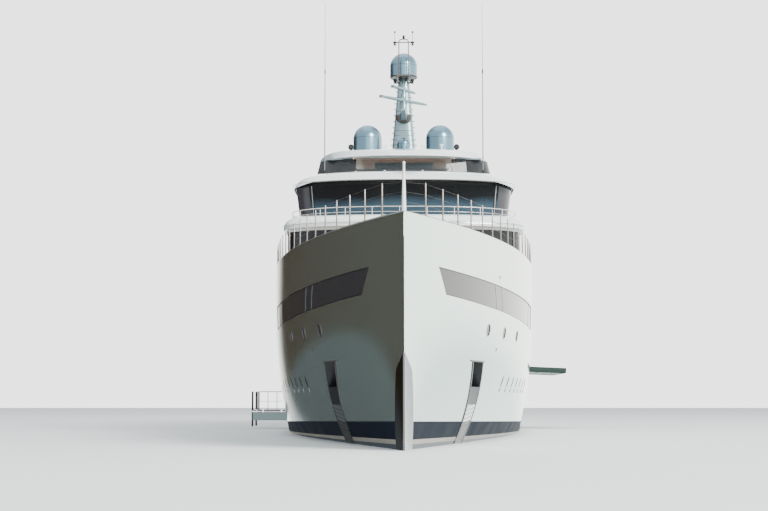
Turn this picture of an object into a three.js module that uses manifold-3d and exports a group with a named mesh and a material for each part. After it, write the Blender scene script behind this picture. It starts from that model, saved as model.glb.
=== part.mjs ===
// Motor yacht, 82 m long, as a 1:10 scale model. Lengths are millimetres of the model.
//
// Inside the group x runs to port, y runs aft from the stem, and z runs up from the
// waterline. The group then moves forward by half the length, so that the origin is
// on the centreline at the waterline, amidships, with the bow towards -Y.

import * as THREE from 'three';
import { mergeVertices } from 'three/addons/utils/BufferGeometryUtils.js';
import Module from 'manifold-3d';

const wasm = await Module();
wasm.setup();

const GAP = 0.3; // between touching pieces that are not face to face on a level
const WIDE = 2000; // cutting blocks reach this far past the yacht's sides
const CUT = 5; // cutting blocks overshoot a face by this much
const OVERLAP = 1; // joined pieces run this far into each other
const SEAM = 5; // gap round a door in its opening

// Hull
const LENGTH = 8200;
const HALF_BEAM = 645;
const WATER_HALF = 640;
const KEEL = - 390;
const SHEER = 785;
const FOREDECK = 700;
const MAIN_DECK = 415;
const PLATFORM_LEVEL = 85;
const TRANSOM = 7700;
const BULKHEAD = 3600; // the main deck's side decks start here
const SHEER_FULL = 3600; // the deck edge reaches its full breadth
const SHEER_TAPER = 5600; // and starts to close in again
const WATER_FULL = 3900;
const WATER_TAPER = 5200;
const STEM_BAR = 1; // half thickness of the stem
const KEEL_BAR = 12; // half thickness of the keel
const FOREFOOT = 350; // how far the stem's foot lies aft of its waterline
const STEM_RAKE = 0.09;
const RAKE_FADE = 1200; // the raked stem's effect on the sections ends here
const RISE_START = 4800; // the keel line rises aft of this
const RISE = 340;

// Bulwarks
const BULWARK = 12;
const SHEER_DROP_START = 3300;
const SHEER_DROP_END = 4200;
const AFT_SHEER = 515;
const STERN_SHEER = 490;
const BULWARK_END = 7690;

// Houses and decks: levels of the faces that meet
const UPPER_DECK = 700;
const UPPER_SLAB = 10;
const BRIDGE_DECK = 995;
const BRIDGE_UNDER = 980;
const SUN_DECK = 1262;
const SUN_UNDER = 1225;
const BROW_TOP = 1320;
const HARDTOP_UNDER = 1410;
const MAST_FOOT = 1522;
const DOME_FOOT = 1512;
const WALL = 6;
const PANE = 2.7;
const GLASS_LAP = 5; // the glass reaches this far past its opening

// Doors in the hull
const BAY = { fore: 4170, aft: 4930, floor: 95, roof: 373, side: 610 };
const TENDER_DOOR = { hinge: 373, low: 48, thick: 31, recess: 606, side: 643.5, droop: 2.5 };
const BOARDING = { hinge: 48, reach: 262, thick: 50, side: 643.5, fore: 4230, aft: 4530, top: 331 };
const BOARDING_RECESS = { side: 588, sill: 45 };
const FENDER_POST = { radius: 6, low: - 36, top: 114, side: 266, places: [ 30, 262 ] };
const FOLDING_RAIL = { side: 250, end: 60, inset: 12, level: 60, bar: 4, bore: 4.4, height: 114, post: 2 };
const TRANSOM_DOOR = { half: 350, low: 100, hinge: 383, thick: 25, seam: 6 };
const BEACH_CLUB = { half: 335, fore: 7150, low: 98, high: 372 };
const HATCH = { fore: 1492, aft: 1648, half: 78, thick: 8, rim: 8, coaming: 6, depth: 60 };
const STAIRS = { inner: 430, outer: 552, start: 7400, tread: 50, steps: 6 };
const ANCHOR_POCKET = { back: 215, fore: 745, aft: 895, low: 232, high: 322 };
const HINGE_PIN = { radius: 5, bore: 5.5, slack: 0.5 };

// Underwater gear
const SHAFT = { side: 280, level: - 265, radius: 8, start: 5850 };
const BORE_SLACK = 0.5;
const BRACKET = { fore: 7110, aft: 7170, radius: 15, strut: 4, chord: 18, top: - 100 };
const SKEG = { fore: 4900, aft: 6900, top: - 180 };
const PROPELLER = { at: 7290, radius: 122, hub: 22, blades: 5 };
const RUDDER = { at: 7470, fore: 60, aft: 130, top: - 108, foot: - 378, thick: 26 };
const STOCK = { radius: 9, top: - 40 };
const RUDDER_TRUNK = { low: - 130, high: - 20 };
const FIN = { at: 3900, level: - 270, span: 180, chord: 130, thick: 18, clear: 7 };
const FIN_STOCK = { radius: 8, inside: 48, pocket: 52 };
const THRUSTER = { at: 700, level: - 230, tunnel: 55, reach: 300, radius: 47, hub: 12, out: 38 };

// Deck gear
const WINDLASS = { side: 92, at: 980 };
const WHIP = { side: 405, at: 2785, length: 885 };
const CONSOLE = { at: 2560, width: 640, depth: 90, bow: 60, fore: 100, aft: 78 };
const CHAIR = { side: 90, at: 2740 };

// Materials
const paint = ( color, roughness, metalness ) =>
	new THREE.MeshStandardMaterial( { color, roughness, metalness, flatShading: true } );
const HULL_PAINT = paint( 0x9fb3b0, 0.25, 0.3 );
const HOUSE_PAINT = paint( 0xdde3e0, 0.3, 0.1 );
const TEAK = paint( 0xb08a5c, 0.7, 0 );
const GLASS = paint( 0x1c262c, 0.08, 0.2 );
const STEEL = paint( 0xc9ccce, 0.2, 1 );
const BRONZE = paint( 0xa8813c, 0.35, 1 );
const DOME_PAINT = paint( 0xc3cecd, 0.3, 0.1 );
const GREY = paint( 0x5c6468, 0.5, 0.1 );
const ANTIFOUL = paint( 0x27343c, 0.8, 0 );

const yacht = new THREE.Group();
yacht.position.y = - LENGTH / 2;

function add( name, shape, material, x = 0, y = 0, z = 0 ) {

	const mesh = new THREE.Mesh( geometryOf( shape ), material );
	mesh.name = name;
	mesh.position.set( x, y, z );
	yacht.add( mesh );
	return mesh;

}

// Solids from geometries, and back

function solid( geometry ) {

	const bare = geometry.clone();
	bare.deleteAttribute( 'normal' );
	bare.deleteAttribute( 'uv' );
	const merged = mergeVertices( bare, 1e-4 );
	const corners = merged.index.array;
	const kept = [];
	for ( let i = 0; i < corners.length; i += 3 ) {

		const [ a, b, c ] = [ corners[ i ], corners[ i + 1 ], corners[ i + 2 ] ];
		if ( a !== b && b !== c && c !== a ) kept.push( a, b, c );

	}

	return new wasm.Manifold( new wasm.Mesh( {
		numProp: 3,
		vertProperties: new Float32Array( merged.attributes.position.array ),
		triVerts: new Uint32Array( kept ),
	} ) );

}

function geometryOf( shape ) {

	const mesh = shape.getMesh();
	const geometry = new THREE.BufferGeometry();
	geometry.setAttribute( 'position', new THREE.BufferAttribute( mesh.vertProperties, mesh.numProp ) );
	geometry.setIndex( new THREE.BufferAttribute( mesh.triVerts, 1 ) );
	geometry.computeVertexNormals();
	return geometry;

}

const join = ( shapes ) => shapes.reduce( ( sum, shape ) => sum.add( shape ) );
const cut = ( shape, holes ) => holes.reduce( ( left, hole ) => left.subtract( hole ), shape );

// Shapes

function block( x0, x1, y0, y1, z0, z1 ) {

	const geometry = new THREE.BoxGeometry( x1 - x0, y1 - y0, z1 - z0 );
	geometry.translate( ( x0 + x1 ) / 2, ( y0 + y1 ) / 2, ( z0 + z1 ) / 2 );
	return solid( geometry );

}

// A box of nu by nv by nw cells whose corners are moved by place( u, v, w ), each 0 to 1
function mapped( nu, nv, nw, place ) {

	const geometry = new THREE.BoxGeometry( 1, 1, 1, nu, nv, nw );
	const position = geometry.attributes.position;
	for ( let i = 0; i < position.count; i ++ ) {

		const [ u, v, w ] = [ position.getX( i ), position.getY( i ), position.getZ( i ) ];
		position.setXYZ( i, ...place( u + 0.5, v + 0.5, w + 0.5 ) );

	}

	return solid( geometry );

}

// A cylinder from one point to another
function rod( from, to, radius, sides = 12, endRadius = radius ) {

	const start = new THREE.Vector3( ...from );
	const run = new THREE.Vector3( ...to ).sub( start );
	const geometry = new THREE.CylinderGeometry( endRadius, radius, run.length(), sides );
	geometry.translate( 0, run.length() / 2, 0 );
	const up = new THREE.Vector3( 0, 1, 0 );
	geometry.applyQuaternion( new THREE.Quaternion().setFromUnitVectors( up, run.normalize() ) );
	geometry.translate( start.x, start.y, start.z );
	return solid( geometry );

}

// A profile of [ radius, height ] pairs turned about z
function turned( profile, sides = 24 ) {

	const points = profile.map( ( [ radius, height ] ) => new THREE.Vector2( radius, height ) );
	const geometry = new THREE.LatheGeometry( points, sides );
	geometry.rotateX( Math.PI / 2 );
	return solid( geometry );

}

// An upright prism over an outline of [ x, y ] pairs; its top may be scaled about ( 0, anchor )
function prism( points, z0, z1, topX = 1, topY = 1, anchor = 0 ) {

	const shape = new THREE.Shape( points.map( ( [ x, y ] ) => new THREE.Vector2( x, y ) ) );
	const geometry = new THREE.ExtrudeGeometry( shape, { depth: z1 - z0, bevelEnabled: false } );
	const position = geometry.attributes.position;
	for ( let i = 0; i < position.count; i ++ ) {

		if ( position.getZ( i ) < ( z1 - z0 ) / 2 ) continue;
		position.setX( i, position.getX( i ) * topX );
		position.setY( i, anchor + ( position.getY( i ) - anchor ) * topY );

	}

	geometry.translate( 0, 0, z0 );
	return solid( geometry );

}

// A wall, coaming or rail along a plan path, from low to high, reaching left and right of the path
function ribbon( path, left, right, low, high ) {

	const last = path.length - 1;
	return mapped( 1, last, 1, ( u, v, w ) => {

		const i = Math.round( v * last );
		const before = path[ Math.max( i - 1, 0 ) ];
		const after = path[ Math.min( i + 1, last ) ];
		const run = new THREE.Vector2( after[ 0 ] - before[ 0 ], after[ 1 ] - before[ 1 ] ).normalize();
		const out = u * ( left + right ) - left;
		return [ path[ i ][ 0 ] + run.y * out, path[ i ][ 1 ] - run.x * out, w ? high : low ];

	} );

}

// A deck or house outline: a rounded front, straight sides and a square back
function outline( { front, corner, back, half }, inset = 0, steps = 9, power = 2.4 ) {

	const points = [];
	for ( let i = - steps; i <= steps; i ++ ) {

		const angle = i / steps * Math.PI / 2;
		const x = Math.sign( i ) * Math.abs( Math.sin( angle ) ) ** ( 2 / power );
		const y = i * i === steps * steps ? 0 : Math.cos( angle ) ** ( 2 / power );
		points.push( [ x * ( half - inset ), corner - y * ( corner - front - inset ) ] );

	}

	return [ ...points, [ half - inset, back - inset ], [ inset - half, back - inset ] ];

}

// Hull form

const smooth = ( t ) => t * t * ( 3 - 2 * t );
const clamp = ( t ) => Math.min( Math.max( t, 0 ), 1 );

function sheerHalf( s ) {

	if ( s < SHEER_FULL ) return HALF_BEAM * ( 1 - ( 1 - s / SHEER_FULL ) ** 2.85 );
	return HALF_BEAM - 60 * ( Math.max( s - SHEER_TAPER, 0 ) / 2150 ) ** 2;

}

function waterHalf( s ) {

	if ( s < WATER_FULL ) return WATER_HALF * Math.sin( Math.PI / 2 * ( s / WATER_FULL ) ** 1.12 );
	return WATER_HALF - 70 * ( Math.max( s - WATER_TAPER, 0 ) / 3000 ) ** 2;

}

const keelLine = ( s ) => KEEL + RISE * ( Math.min( Math.max( s - RISE_START, 0 ), 2900 ) / 2900 ) ** 1.6;

function hullHalf( s, z ) {

	const bar = Math.min( KEEL_BAR, STEM_BAR + s / 50 );
	const water = waterHalf( s );
	const stern = 1 - 0.25 * ( Math.max( s - 8100, 0 ) / 100 ) ** 2;
	if ( z >= 0 ) {

		const flare = 1 - ( 1 - Math.min( z / SHEER, 1 ) ) ** ( 2 + 2 * clamp( s / 2600 ) );
		return Math.max( bar, water + ( sheerHalf( s ) - water ) * flare ) * stern;

	}

	const fullness = s < 3000 ? 1.5 + 1.7 * s / 3000 : 3.2 - 0.8 * clamp( ( s - 5000 ) / 2700 );
	const depth = Math.min( z / keelLine( s ), 1 );
	return Math.max( bar, water * ( 1 - depth ** fullness ) ** ( 1 / fullness ) ) * stern;

}

function stemSet( z ) {

	const above = STEM_RAKE * ( FOREDECK - clamp( z / FOREDECK ) * FOREDECK );
	return above + FOREFOOT * ( Math.max( - z, 0 ) / - KEEL ) ** 2.2;

}

const hullY = ( s, z ) => s + stemSet( z ) * ( 1 - Math.min( s / RAKE_FADE, 1 ) ) ** 2;

function sheerLine( s ) {

	const fall = smooth( clamp( ( s - SHEER_DROP_START ) / ( SHEER_DROP_END - SHEER_DROP_START ) ) );
	const aft = AFT_SHEER - ( AFT_SHEER - STERN_SHEER ) * clamp( ( s - SHEER_DROP_END ) / 3400 );
	return SHEER + ( aft - SHEER ) * fall;

}

const STATIONS = [
	0, 40, 100, 180, 300, 450, 650, 900, 1200, 1550, 1950, 2400, 2900, 3300, 3600,
	3900, 4500, 5200, 5800, 6300, 6800, 7300, 7700, 8000, 8100, 8140, 8175, 8200,
];
const DEPTHS = [ 1, 0.95, 0.85, 0.7, 0.5, 0.25, 0 ]; // parts of the keel's depth
const HEIGHTS = [ 60, 140, 240, 330, 415, 520, 610, 700 ];

function hullBody() {

	const along = STATIONS.length - 1;
	const up = DEPTHS.length + HEIGHTS.length - 1;
	return mapped( 1, along, up, ( u, v, w ) => {

		const s = STATIONS[ Math.round( v * along ) ];
		const row = Math.round( w * up );
		const z = row < DEPTHS.length ? DEPTHS[ row ] * keelLine( s ) : HEIGHTS[ row - DEPTHS.length ];
		return [ ( 2 * u - 1 ) * hullHalf( s, z ), hullY( s, z ), z ];

	} );

}

// Both sides' copies of a shape that is made for side 1 (port) or -1 (starboard)
const pair = ( make ) => [ make( 1 ), make( - 1 ) ];

// A block between two distances from the centreline, on one side
function sideBlock( side, inner, outer, y0, y1, z0, z1 ) {

	return side > 0 ? block( inner, outer, y0, y1, z0, z1 ) : block( - outer, - inner, y0, y1, z0, z1 );

}

function stairs( side ) {

	const { inner, outer, start, tread, steps } = STAIRS;
	const rise = ( MAIN_DECK - PLATFORM_LEVEL ) / steps;
	const treads = [];
	for ( let i = 0; i < steps; i ++ ) {

		const level = MAIN_DECK - ( i + 1 ) * rise;
		treads.push( sideBlock( side, inner, outer, start + i * tread, TRANSOM + CUT, level, MAIN_DECK + CUT ) );

	}

	return join( treads );

}

function shaftBracket( side ) {

	const x = side * SHAFT.side;
	const { fore, aft, radius, strut, chord, top } = BRACKET;
	const middle = ( fore + aft ) / 2;
	const barrel = rod( [ x, fore, SHAFT.level ], [ x, aft, SHAFT.level ], radius, 16 );
	const leg = block( x - strut, x + strut, middle - chord, middle + chord, SHAFT.level + OVERLAP, top );
	return barrel.add( leg );

}

function shaftBore( side ) {

	const x = side * SHAFT.side;
	const from = [ x, SHAFT.start - CUT, SHAFT.level ];
	return rod( from, [ x, BRACKET.aft + CUT, SHAFT.level ], SHAFT.radius + BORE_SLACK, 24 );

}

// Where a fin's stock leaves the bilge: the point and the way out of the hull
function finSeat() {

	const x = hullHalf( FIN.at, FIN.level );
	const slope = ( hullHalf( FIN.at, FIN.level + 1 ) - hullHalf( FIN.at, FIN.level - 1 ) ) / 2;
	const out = new THREE.Vector2( 1, - slope ).normalize();
	return { x, out };

}

function finPocket( side ) {

	const { x, out } = finSeat();
	const end = ( reach ) => [ side * ( x + out.x * reach ), FIN.at, FIN.level + out.y * reach ];
	return rod( end( - FIN_STOCK.pocket ), end( 30 ), FIN_STOCK.radius + BORE_SLACK, 16 );

}

function rudderTrunk( side ) {

	const x = side * SHAFT.side;
	const { low, high } = RUDDER_TRUNK;
	return rod( [ x, RUDDER.at, low ], [ x, RUDDER.at, high ], STOCK.radius + BORE_SLACK, 16 );

}

function transomRecess() {

	const { half, low, hinge, thick, seam } = TRANSOM_DOOR;
	return block( - half - seam, half + seam, TRANSOM - thick - SEAM, TRANSOM + CUT, low - seam, hinge );

}

function hatchWell() {

	const { fore, aft, half, rim, depth } = HATCH;
	return block( rim - half, half - rim, fore + rim, aft - rim, FOREDECK - depth, FOREDECK + 2 * CUT );

}

function thrusterTunnel() {

	const { at, level, tunnel, reach } = THRUSTER;
	return rod( [ - reach, at, level ], [ reach, at, level ], tunnel, 24 );

}

function makeHull() {

	const skeg = block( - KEEL_BAR, KEEL_BAR, SKEG.fore, SKEG.aft, KEEL, SKEG.top );
	const coamingTop = FOREDECK + HATCH.coaming;
	const coaming = block( - HATCH.half, HATCH.half, HATCH.fore, HATCH.aft, FOREDECK - CUT, coamingTop );
	const whole = join( [ hullBody(), skeg, coaming ] );
	const { back, fore, aft, low, high } = ANCHOR_POCKET;
	const shaped = cut( whole, [
		block( - WIDE, WIDE, BULKHEAD, LENGTH + CUT, MAIN_DECK, SHEER ),
		block( - WIDE, WIDE, TRANSOM, LENGTH + CUT, PLATFORM_LEVEL, SHEER ),
		...pair( stairs ),
		...pair( ( side ) => sideBlock( side, back, WIDE, fore, aft, low, high ) ),
	] );
	const held = join( [ shaped, ...pair( shaftBracket ) ] );
	const { side, sill } = BOARDING_RECESS;
	const club = BEACH_CLUB;
	return cut( held, [
		block( BOARDING.thick - BOARDING.side, BAY.side, BAY.fore, BAY.aft, BAY.floor, BAY.roof ),
		block( TENDER_DOOR.recess, WIDE, BAY.fore, BAY.aft, TENDER_DOOR.low - SEAM, BAY.roof ),
		block( - WIDE, - side, BOARDING.fore - SEAM, BOARDING.aft + SEAM, sill, BOARDING.top ),
		block( - club.half, club.half, club.fore, TRANSOM, club.low, club.high ),
		transomRecess(),
		hatchWell(),
		thrusterTunnel(),
		...pair( shaftBore ),
		...pair( finPocket ),
		...pair( rudderTrunk ),
	] );

}

function bulwarkLength( side, stations, base ) {

	const last = stations.length - 1;
	return mapped( 1, last, 2, ( u, v, w ) => {

		const s = stations[ Math.round( v * last ) ];
		const z = base + ( sheerLine( s ) - base ) * w;
		const outer = hullHalf( s, z );
		const inner = Math.max( outer - BULWARK, GAP / 2 );
		const across = side > 0 ? u : 1 - u;
		return [ side * ( inner + ( outer - inner ) * across ), s, z ];

	} );

}

function makeBulwark( side ) {

	const fore = STATIONS.filter( ( s ) => s < BULKHEAD );
	const dropping = [ 3700, 3800, 3900, 4000, 4100, 4200 ];
	const level = STATIONS.filter( ( s ) => s > SHEER_DROP_END && s < TRANSOM );
	const aft = [ BULKHEAD + GAP, ...dropping, ...level, BULWARK_END ];
	const forward = bulwarkLength( side, [ ...fore, BULKHEAD + OVERLAP ], FOREDECK );
	return forward.add( bulwarkLength( side, aft, MAIN_DECK ) );

}

// The stainless plate that wraps the stem from below the waterline upwards
function makeStemPlate() {

	const [ low, high, reach, thick ] = [ - 60, 320, 68, 2.2 ];
	const stations = STATIONS.slice( 0, 4 );
	const rows = [ DEPTHS[ 5 ] * KEEL, 0, ...HEIGHTS.slice( 0, 4 ) ];
	const wrap = ( grow ) => mapped( 1, stations.length - 1, rows.length - 1, ( u, v, w ) => {

		const s = stations[ Math.round( v * ( stations.length - 1 ) ) ];
		const z = rows[ Math.round( w * ( rows.length - 1 ) ) ];
		return [ ( 2 * u - 1 ) * ( hullHalf( s, z ) + grow ), hullY( s, z ) - ( v ? 0 : grow ), z ];

	} );
	const kept = block( - WIDE, WIDE, - CUT, reach, low, high );
	return wrap( GAP + thick ).intersect( kept ).subtract( wrap( GAP ) );

}

function makeAnchor() {

	const shank = block( 2, 16, - 8, 8, - 42, 42 );
	const crown = block( GAP, 26, - 42, 42, - 44, - 26 );
	const fluke = ( side ) => mapped( 1, 1, 1, ( u, v, w ) => [
		18 + 8 * u + 26 * w, side * ( 27 + ( v - 0.5 ) * side * 24 * ( 1 - 0.7 * w ) ), - 30 + 62 * w ] );
	return join( [ shank, crown, fluke( 1 ), fluke( - 1 ) ] );

}

function makeWindlass() {

	const bed = block( - 34, 34, - 40, 40, 0, 8 );
	const drum = [ [ 0, 6 ], [ 22, 6 ], [ 22, 14 ], [ 15, 20 ], [ 15, 30 ], [ 20, 38 ], [ 20, 44 ], [ 0, 46 ] ];
	const gear = block( - 20, 20, 14, 38, 7, 26 );
	return join( [ bed, turned( drum, 20 ), gear ] );

}

// A cap rail with stanchions and one rail on top, along a plan path
function railing( path, base, height, pitch, { cap = 0, post = 1.6, rail = 2.5 } = {} ) {

	const pieces = [ ribbon( path, rail, rail, base + height - 4, base + height ) ];
	if ( cap ) pieces.push( ribbon( path, 7, 7, base, base + cap ) );
	let walked = 0;
	let due = pitch / 2;
	for ( let i = 1; i < path.length; i ++ ) {

		const from = new THREE.Vector2( ...path[ i - 1 ] );
		const to = new THREE.Vector2( ...path[ i ] );
		const leg = from.distanceTo( to );
		while ( due <= walked + leg ) {

			const at = from.clone().lerp( to, ( due - walked ) / leg );
			const [ x, y ] = [ at.x, at.y ];
			pieces.push( block( x - post, x + post, y - post, y + post, base, base + height - 3 ) );
			due += pitch;

		}

		walked += leg;

	}

	return join( pieces );

}

const BOW_RAIL = { end: 2260, pitch: 137, height: 112, staff: 165 };

function bowPath() {

	const stations = [ 25, 60, 110, 180, 270, 380, 520, 700, 900, 1150, 1400, 1700, 2000, BOW_RAIL.end ];
	const port = stations.map( ( s ) => [ Math.max( sheerHalf( s ) - 7, 4 ), s ] );
	return [ ...port.map( ( [ x, y ] ) => [ - x, y ] ).reverse(), ...port ];

}

function makeBowRailing() {

	const rails = railing( bowPath(), SHEER, BOW_RAIL.height, BOW_RAIL.pitch, { cap: 3, rail: 1.2 } );
	const staff = rod( [ 0, 20, SHEER + OVERLAP ], [ 0, 20, SHEER + BOW_RAIL.staff ], 8, 8, 3 );
	return rails.add( staff );

}

// Houses: hollow walls with a band of windows, and a ring of glass behind the band

const HOUSES = {
	upper_deckhouse: {
		plan: { front: 2250, corner: 2480, back: 6100, half: 560 },
		low: UPPER_DECK, high: BRIDGE_UNDER, sill: 752, head: 955, frontPosts: 5, sidePitch: 420, post: 5,
	},
	wheelhouse: {
		plan: { front: 2400, corner: 2640, back: 3100, half: 542 },
		low: BRIDGE_DECK, high: SUN_UNDER, sill: 1045, head: 1218, frontPosts: 8, sidePitch: 230, post: 4,
	},
};

function windowPosts( { plan, low, high, frontPosts, sidePitch, post } ) {

	const { front, corner, back, half } = plan;
	const posts = [];
	for ( let i = 0; i < frontPosts; i ++ ) {

		const x = half * 0.93 * ( 2 * i / ( frontPosts - 1 ) - 1 );
		posts.push( block( x - post, x + post, front - 50, corner + 60, low, high ) );

	}

	for ( let y = corner + sidePitch; y < back - 60; y += sidePitch ) {

		posts.push( block( - WIDE, WIDE, y - post, y + post, low, high ) );

	}

	return join( posts );

}

function makeWalls( house, doorways ) {

	const { plan, low, high, sill, head } = house;
	const outer = prism( outline( plan ), low, high );
	const inner = prism( outline( plan, WALL ), low - CUT, high + CUT );
	const bandPlan = { ...plan, back: plan.back - 50 };
	const band = prism( outline( bandPlan, - CUT ), sill, head ).subtract( windowPosts( house ) );
	return cut( outer, [ inner, band, ...doorways ] );

}

function makeGlassRing( { plan, sill, head }, doorways ) {

	const outer = prism( outline( plan, WALL + GAP ), sill - GLASS_LAP, head + GLASS_LAP );
	const inner = prism( outline( plan, WALL + GAP + PANE ), sill - GLASS_LAP - CUT, head + GLASS_LAP + CUT );
	return cut( outer, [ inner, ...doorways ] );

}

// Houses that stand behind another wall: two sides and a back, with the front open
const BOX_HOUSES = {
	main_deckhouse: {
		fore: BULKHEAD + GAP, back: 6600, half: 490,
		low: MAIN_DECK, high: UPPER_DECK - UPPER_SLAB, sill: 450, head: 655, sidePitch: 430, post: 6,
	},
	sky_lounge: {
		fore: 3100 + GAP, back: 5200, half: 430,
		low: BRIDGE_DECK, high: SUN_UNDER, sill: 1040, head: 1205, sidePitch: 350, post: 5,
	},
};

function makeBoxWalls( { fore, back, half, low, high, sill, head, sidePitch, post }, doorways ) {

	const posts = [];
	for ( let y = fore + sidePitch; y < back - 60; y += sidePitch ) {

		posts.push( block( - WIDE, WIDE, y - post, y + post, low, high ) );

	}

	const band = block( - WIDE, WIDE, fore + 60, back - 50, sill, head ).subtract( join( posts ) );
	const outer = block( - half, half, fore, back, low, high );
	const inner = block( WALL - half, half - WALL, fore - CUT, back - WALL, low - CUT, high + CUT );
	return cut( outer, [ inner, band, ...doorways ] );

}

function makeBoxGlass( { fore, back, half, sill, head }, doorways ) {

	const out = half - WALL - GAP;
	const end = back - WALL - GAP;
	const [ foot, top ] = [ sill - GLASS_LAP, head + GLASS_LAP ];
	const outer = block( - out, out, fore + GAP, end, foot, top );
	const inner = block( PANE - out, out - PANE, fore - CUT, end - PANE, foot - CUT, top + CUT );
	return cut( outer, [ inner, ...doorways ] );

}

// Sliding doors of the saloon, hung on a track on the after wall
const SALOON = { half: 150, low: 420, high: 632, stand: 6, thick: 4, travel: 145, track: 8 };

function saloonTrack() {

	const { half, high, stand, thick, travel, track } = SALOON;
	const end = half + travel + track;
	const { back } = BOX_HOUSES.main_deckhouse;
	return block( - end, end, back - OVERLAP, back + stand + thick + 2, high + GAP, high + track );

}

function makeSaloonDoor( side ) {

	const { half, low, high, stand, thick } = SALOON;
	const y = BOX_HOUSES.main_deckhouse.back + stand; // the leaf's inner face
	const leaf = sideBlock( side, 2.5, half + 4, y, y + thick, low, high );
	const handle = sideBlock( side, 8, 12, y + thick - OVERLAP, y + thick + 4, low + 70, low + 130 );
	return leaf.add( handle );

}

// Hinged doors in the wheelhouse's after wall
const WING_DOOR = { inner: 442, outer: 520, low: 1000, high: 1212, thick: 5, gap: 3 };

function wingDoorway( side, seam = 0 ) {

	const { inner, outer, low, high, gap } = WING_DOOR;
	const { back } = HOUSES.wheelhouse.plan;
	const [ foot, top ] = [ low - gap - seam, high + gap + seam ];
	return sideBlock( side, inner - seam, outer + seam, back - 4 * WALL, back + CUT, foot, top );

}

function makeWingDoor( side ) {

	const { inner, outer, low, high, thick, gap } = WING_DOOR;
	const { back } = HOUSES.wheelhouse.plan;
	const leaf = sideBlock( side, inner + gap, outer - GAP, back - thick, back, low, high );
	const handle = sideBlock( side, inner + 8, inner + 12, back - OVERLAP, back + 4, low + 90, low + 120 );
	return leaf.add( handle );

}

// Decks

function pillars( places, low, high, radius = 6 ) {

	const pillar = ( x, y ) => rod( [ x, y, low ], [ x, y, high ], radius, 10 );
	return places.flatMap( ( [ x, y ] ) => pair( ( side ) => pillar( side * x, y ) ) );

}

const UPPER_DECK_END = 7000;

function makeUpperDeck() {

	const stations = [ BULKHEAD + GAP, 4200, 5000, 5600, 6000, 6400, 6800, 6950, UPPER_DECK_END ];
	const last = stations.length - 1;
	const slab = mapped( 1, last, 1, ( u, v, w ) => {

		const s = stations[ Math.round( v * last ) ];
		const half = ( sheerHalf( s ) - BULWARK - 0.5 ) * ( s < UPPER_DECK_END ? 1 : 0.93 );
		return [ ( 2 * u - 1 ) * half, s, UPPER_DECK - UPPER_SLAB * ( 1 - w ) ];

	} );
	return join( [ slab, ...pillars( [ [ 585, 6900 ], [ 300, 6900 ] ], MAIN_DECK, UPPER_DECK - OVERLAP, 8 ) ] );

}

const BRIDGE_PLAN = { front: 2150, corner: 2400, back: 6600, half: 582 };
const BRIDGE_COAMING = { top: 1040, thick: 8, end: 3300 };

function makeBridgeDeck() {

	const { top, thick, end } = BRIDGE_COAMING;
	const slab = prism( outline( BRIDGE_PLAN ), BRIDGE_UNDER, BRIDGE_DECK );
	const ringPlan = { ...BRIDGE_PLAN, back: end };
	const ring = prism( outline( ringPlan ), BRIDGE_DECK - OVERLAP, top );
	const openPlan = { ...ringPlan, back: end + 2 * thick + CUT };
	const inside = prism( outline( openPlan, thick ), BRIDGE_DECK - 2 * OVERLAP, top + CUT );
	const props = pillars( [ [ 545, 6500 ] ], UPPER_DECK, BRIDGE_UNDER + OVERLAP, 8 );
	return join( [ slab, ring.subtract( inside ), ...props ] );

}

const SUN_PLAN = { front: 2330, corner: 2600, back: 6200, half: 552 };
const BROW = { end: 4800, topHalf: 455, topFront: 2620, lip: 30, side: 15 };
const SCREEN = { front: 2800, corner: 3020, end: 3900, half: 440, thick: 4 };

function makeSunDeck() {

	const slab = prism( outline( SUN_PLAN ), SUN_UNDER, SUN_DECK );
	const browPlan = { ...SUN_PLAN, back: BROW.end };
	const topX = BROW.topHalf / SUN_PLAN.half;
	const topY = ( BROW.end - BROW.topFront ) / ( BROW.end - SUN_PLAN.front );
	const brow = prism( outline( browPlan ), SUN_DECK - OVERLAP, BROW_TOP, topX, topY, BROW.end );
	const { lip } = BROW;
	const wellPlan = { front: SCREEN.front + lip, corner: SCREEN.corner + lip, back: BROW.end + CUT };
	const well = prism( outline( { ...wellPlan, half: SCREEN.half - BROW.side } ), SUN_DECK, BROW_TOP + CUT );
	const props = pillars( [ [ 520, 6100 ] ], BRIDGE_DECK, SUN_UNDER + OVERLAP, 8 );
	return join( [ slab.add( brow ).subtract( well ), ...props ] );

}

function makeWindscreen() {

	const plan = { front: SCREEN.front, corner: SCREEN.corner, back: SCREEN.end, half: SCREEN.half };
	const outer = prism( outline( plan ), BROW_TOP, HARDTOP_UNDER );
	const open = { ...plan, back: SCREEN.end + CUT + SCREEN.thick };
	return outer.subtract( prism( outline( open, SCREEN.thick ), BROW_TOP - CUT, HARDTOP_UNDER + CUT ) );

}

const LIFT_HOUSE = { front: 3950, corner: 4020, back: 4600, half: 240 };
const HARDTOP = { front: 2750, back: 5050, half: 452, edge: 14, crown: 92 };
const DOME = { side: 198, at: 3300, radius: 77.5, height: 152, bed: 70 };
const SEARCHLIGHT = { side: 265, at: 3000, level: 1500, radius: 15, length: 28 };
const MAST_BED = { half: 80, fore: 3570, aft: 3800 };
const MAST = { at: 3650, baseHalf: 72, topHalf: 30, top: 1990, fore: 66, aft: 110 };

function hardtopHeight( x, y ) {

	const along = clamp( ( y - HARDTOP.front ) / ( HARDTOP.back - HARDTOP.front ) );
	const rise = Math.sin( Math.PI * along ** 0.85 ) ** 0.6;
	return HARDTOP_UNDER + HARDTOP.edge + HARDTOP.crown * rise * ( 1 - ( x / HARDTOP.half ) ** 2 );

}

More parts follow.
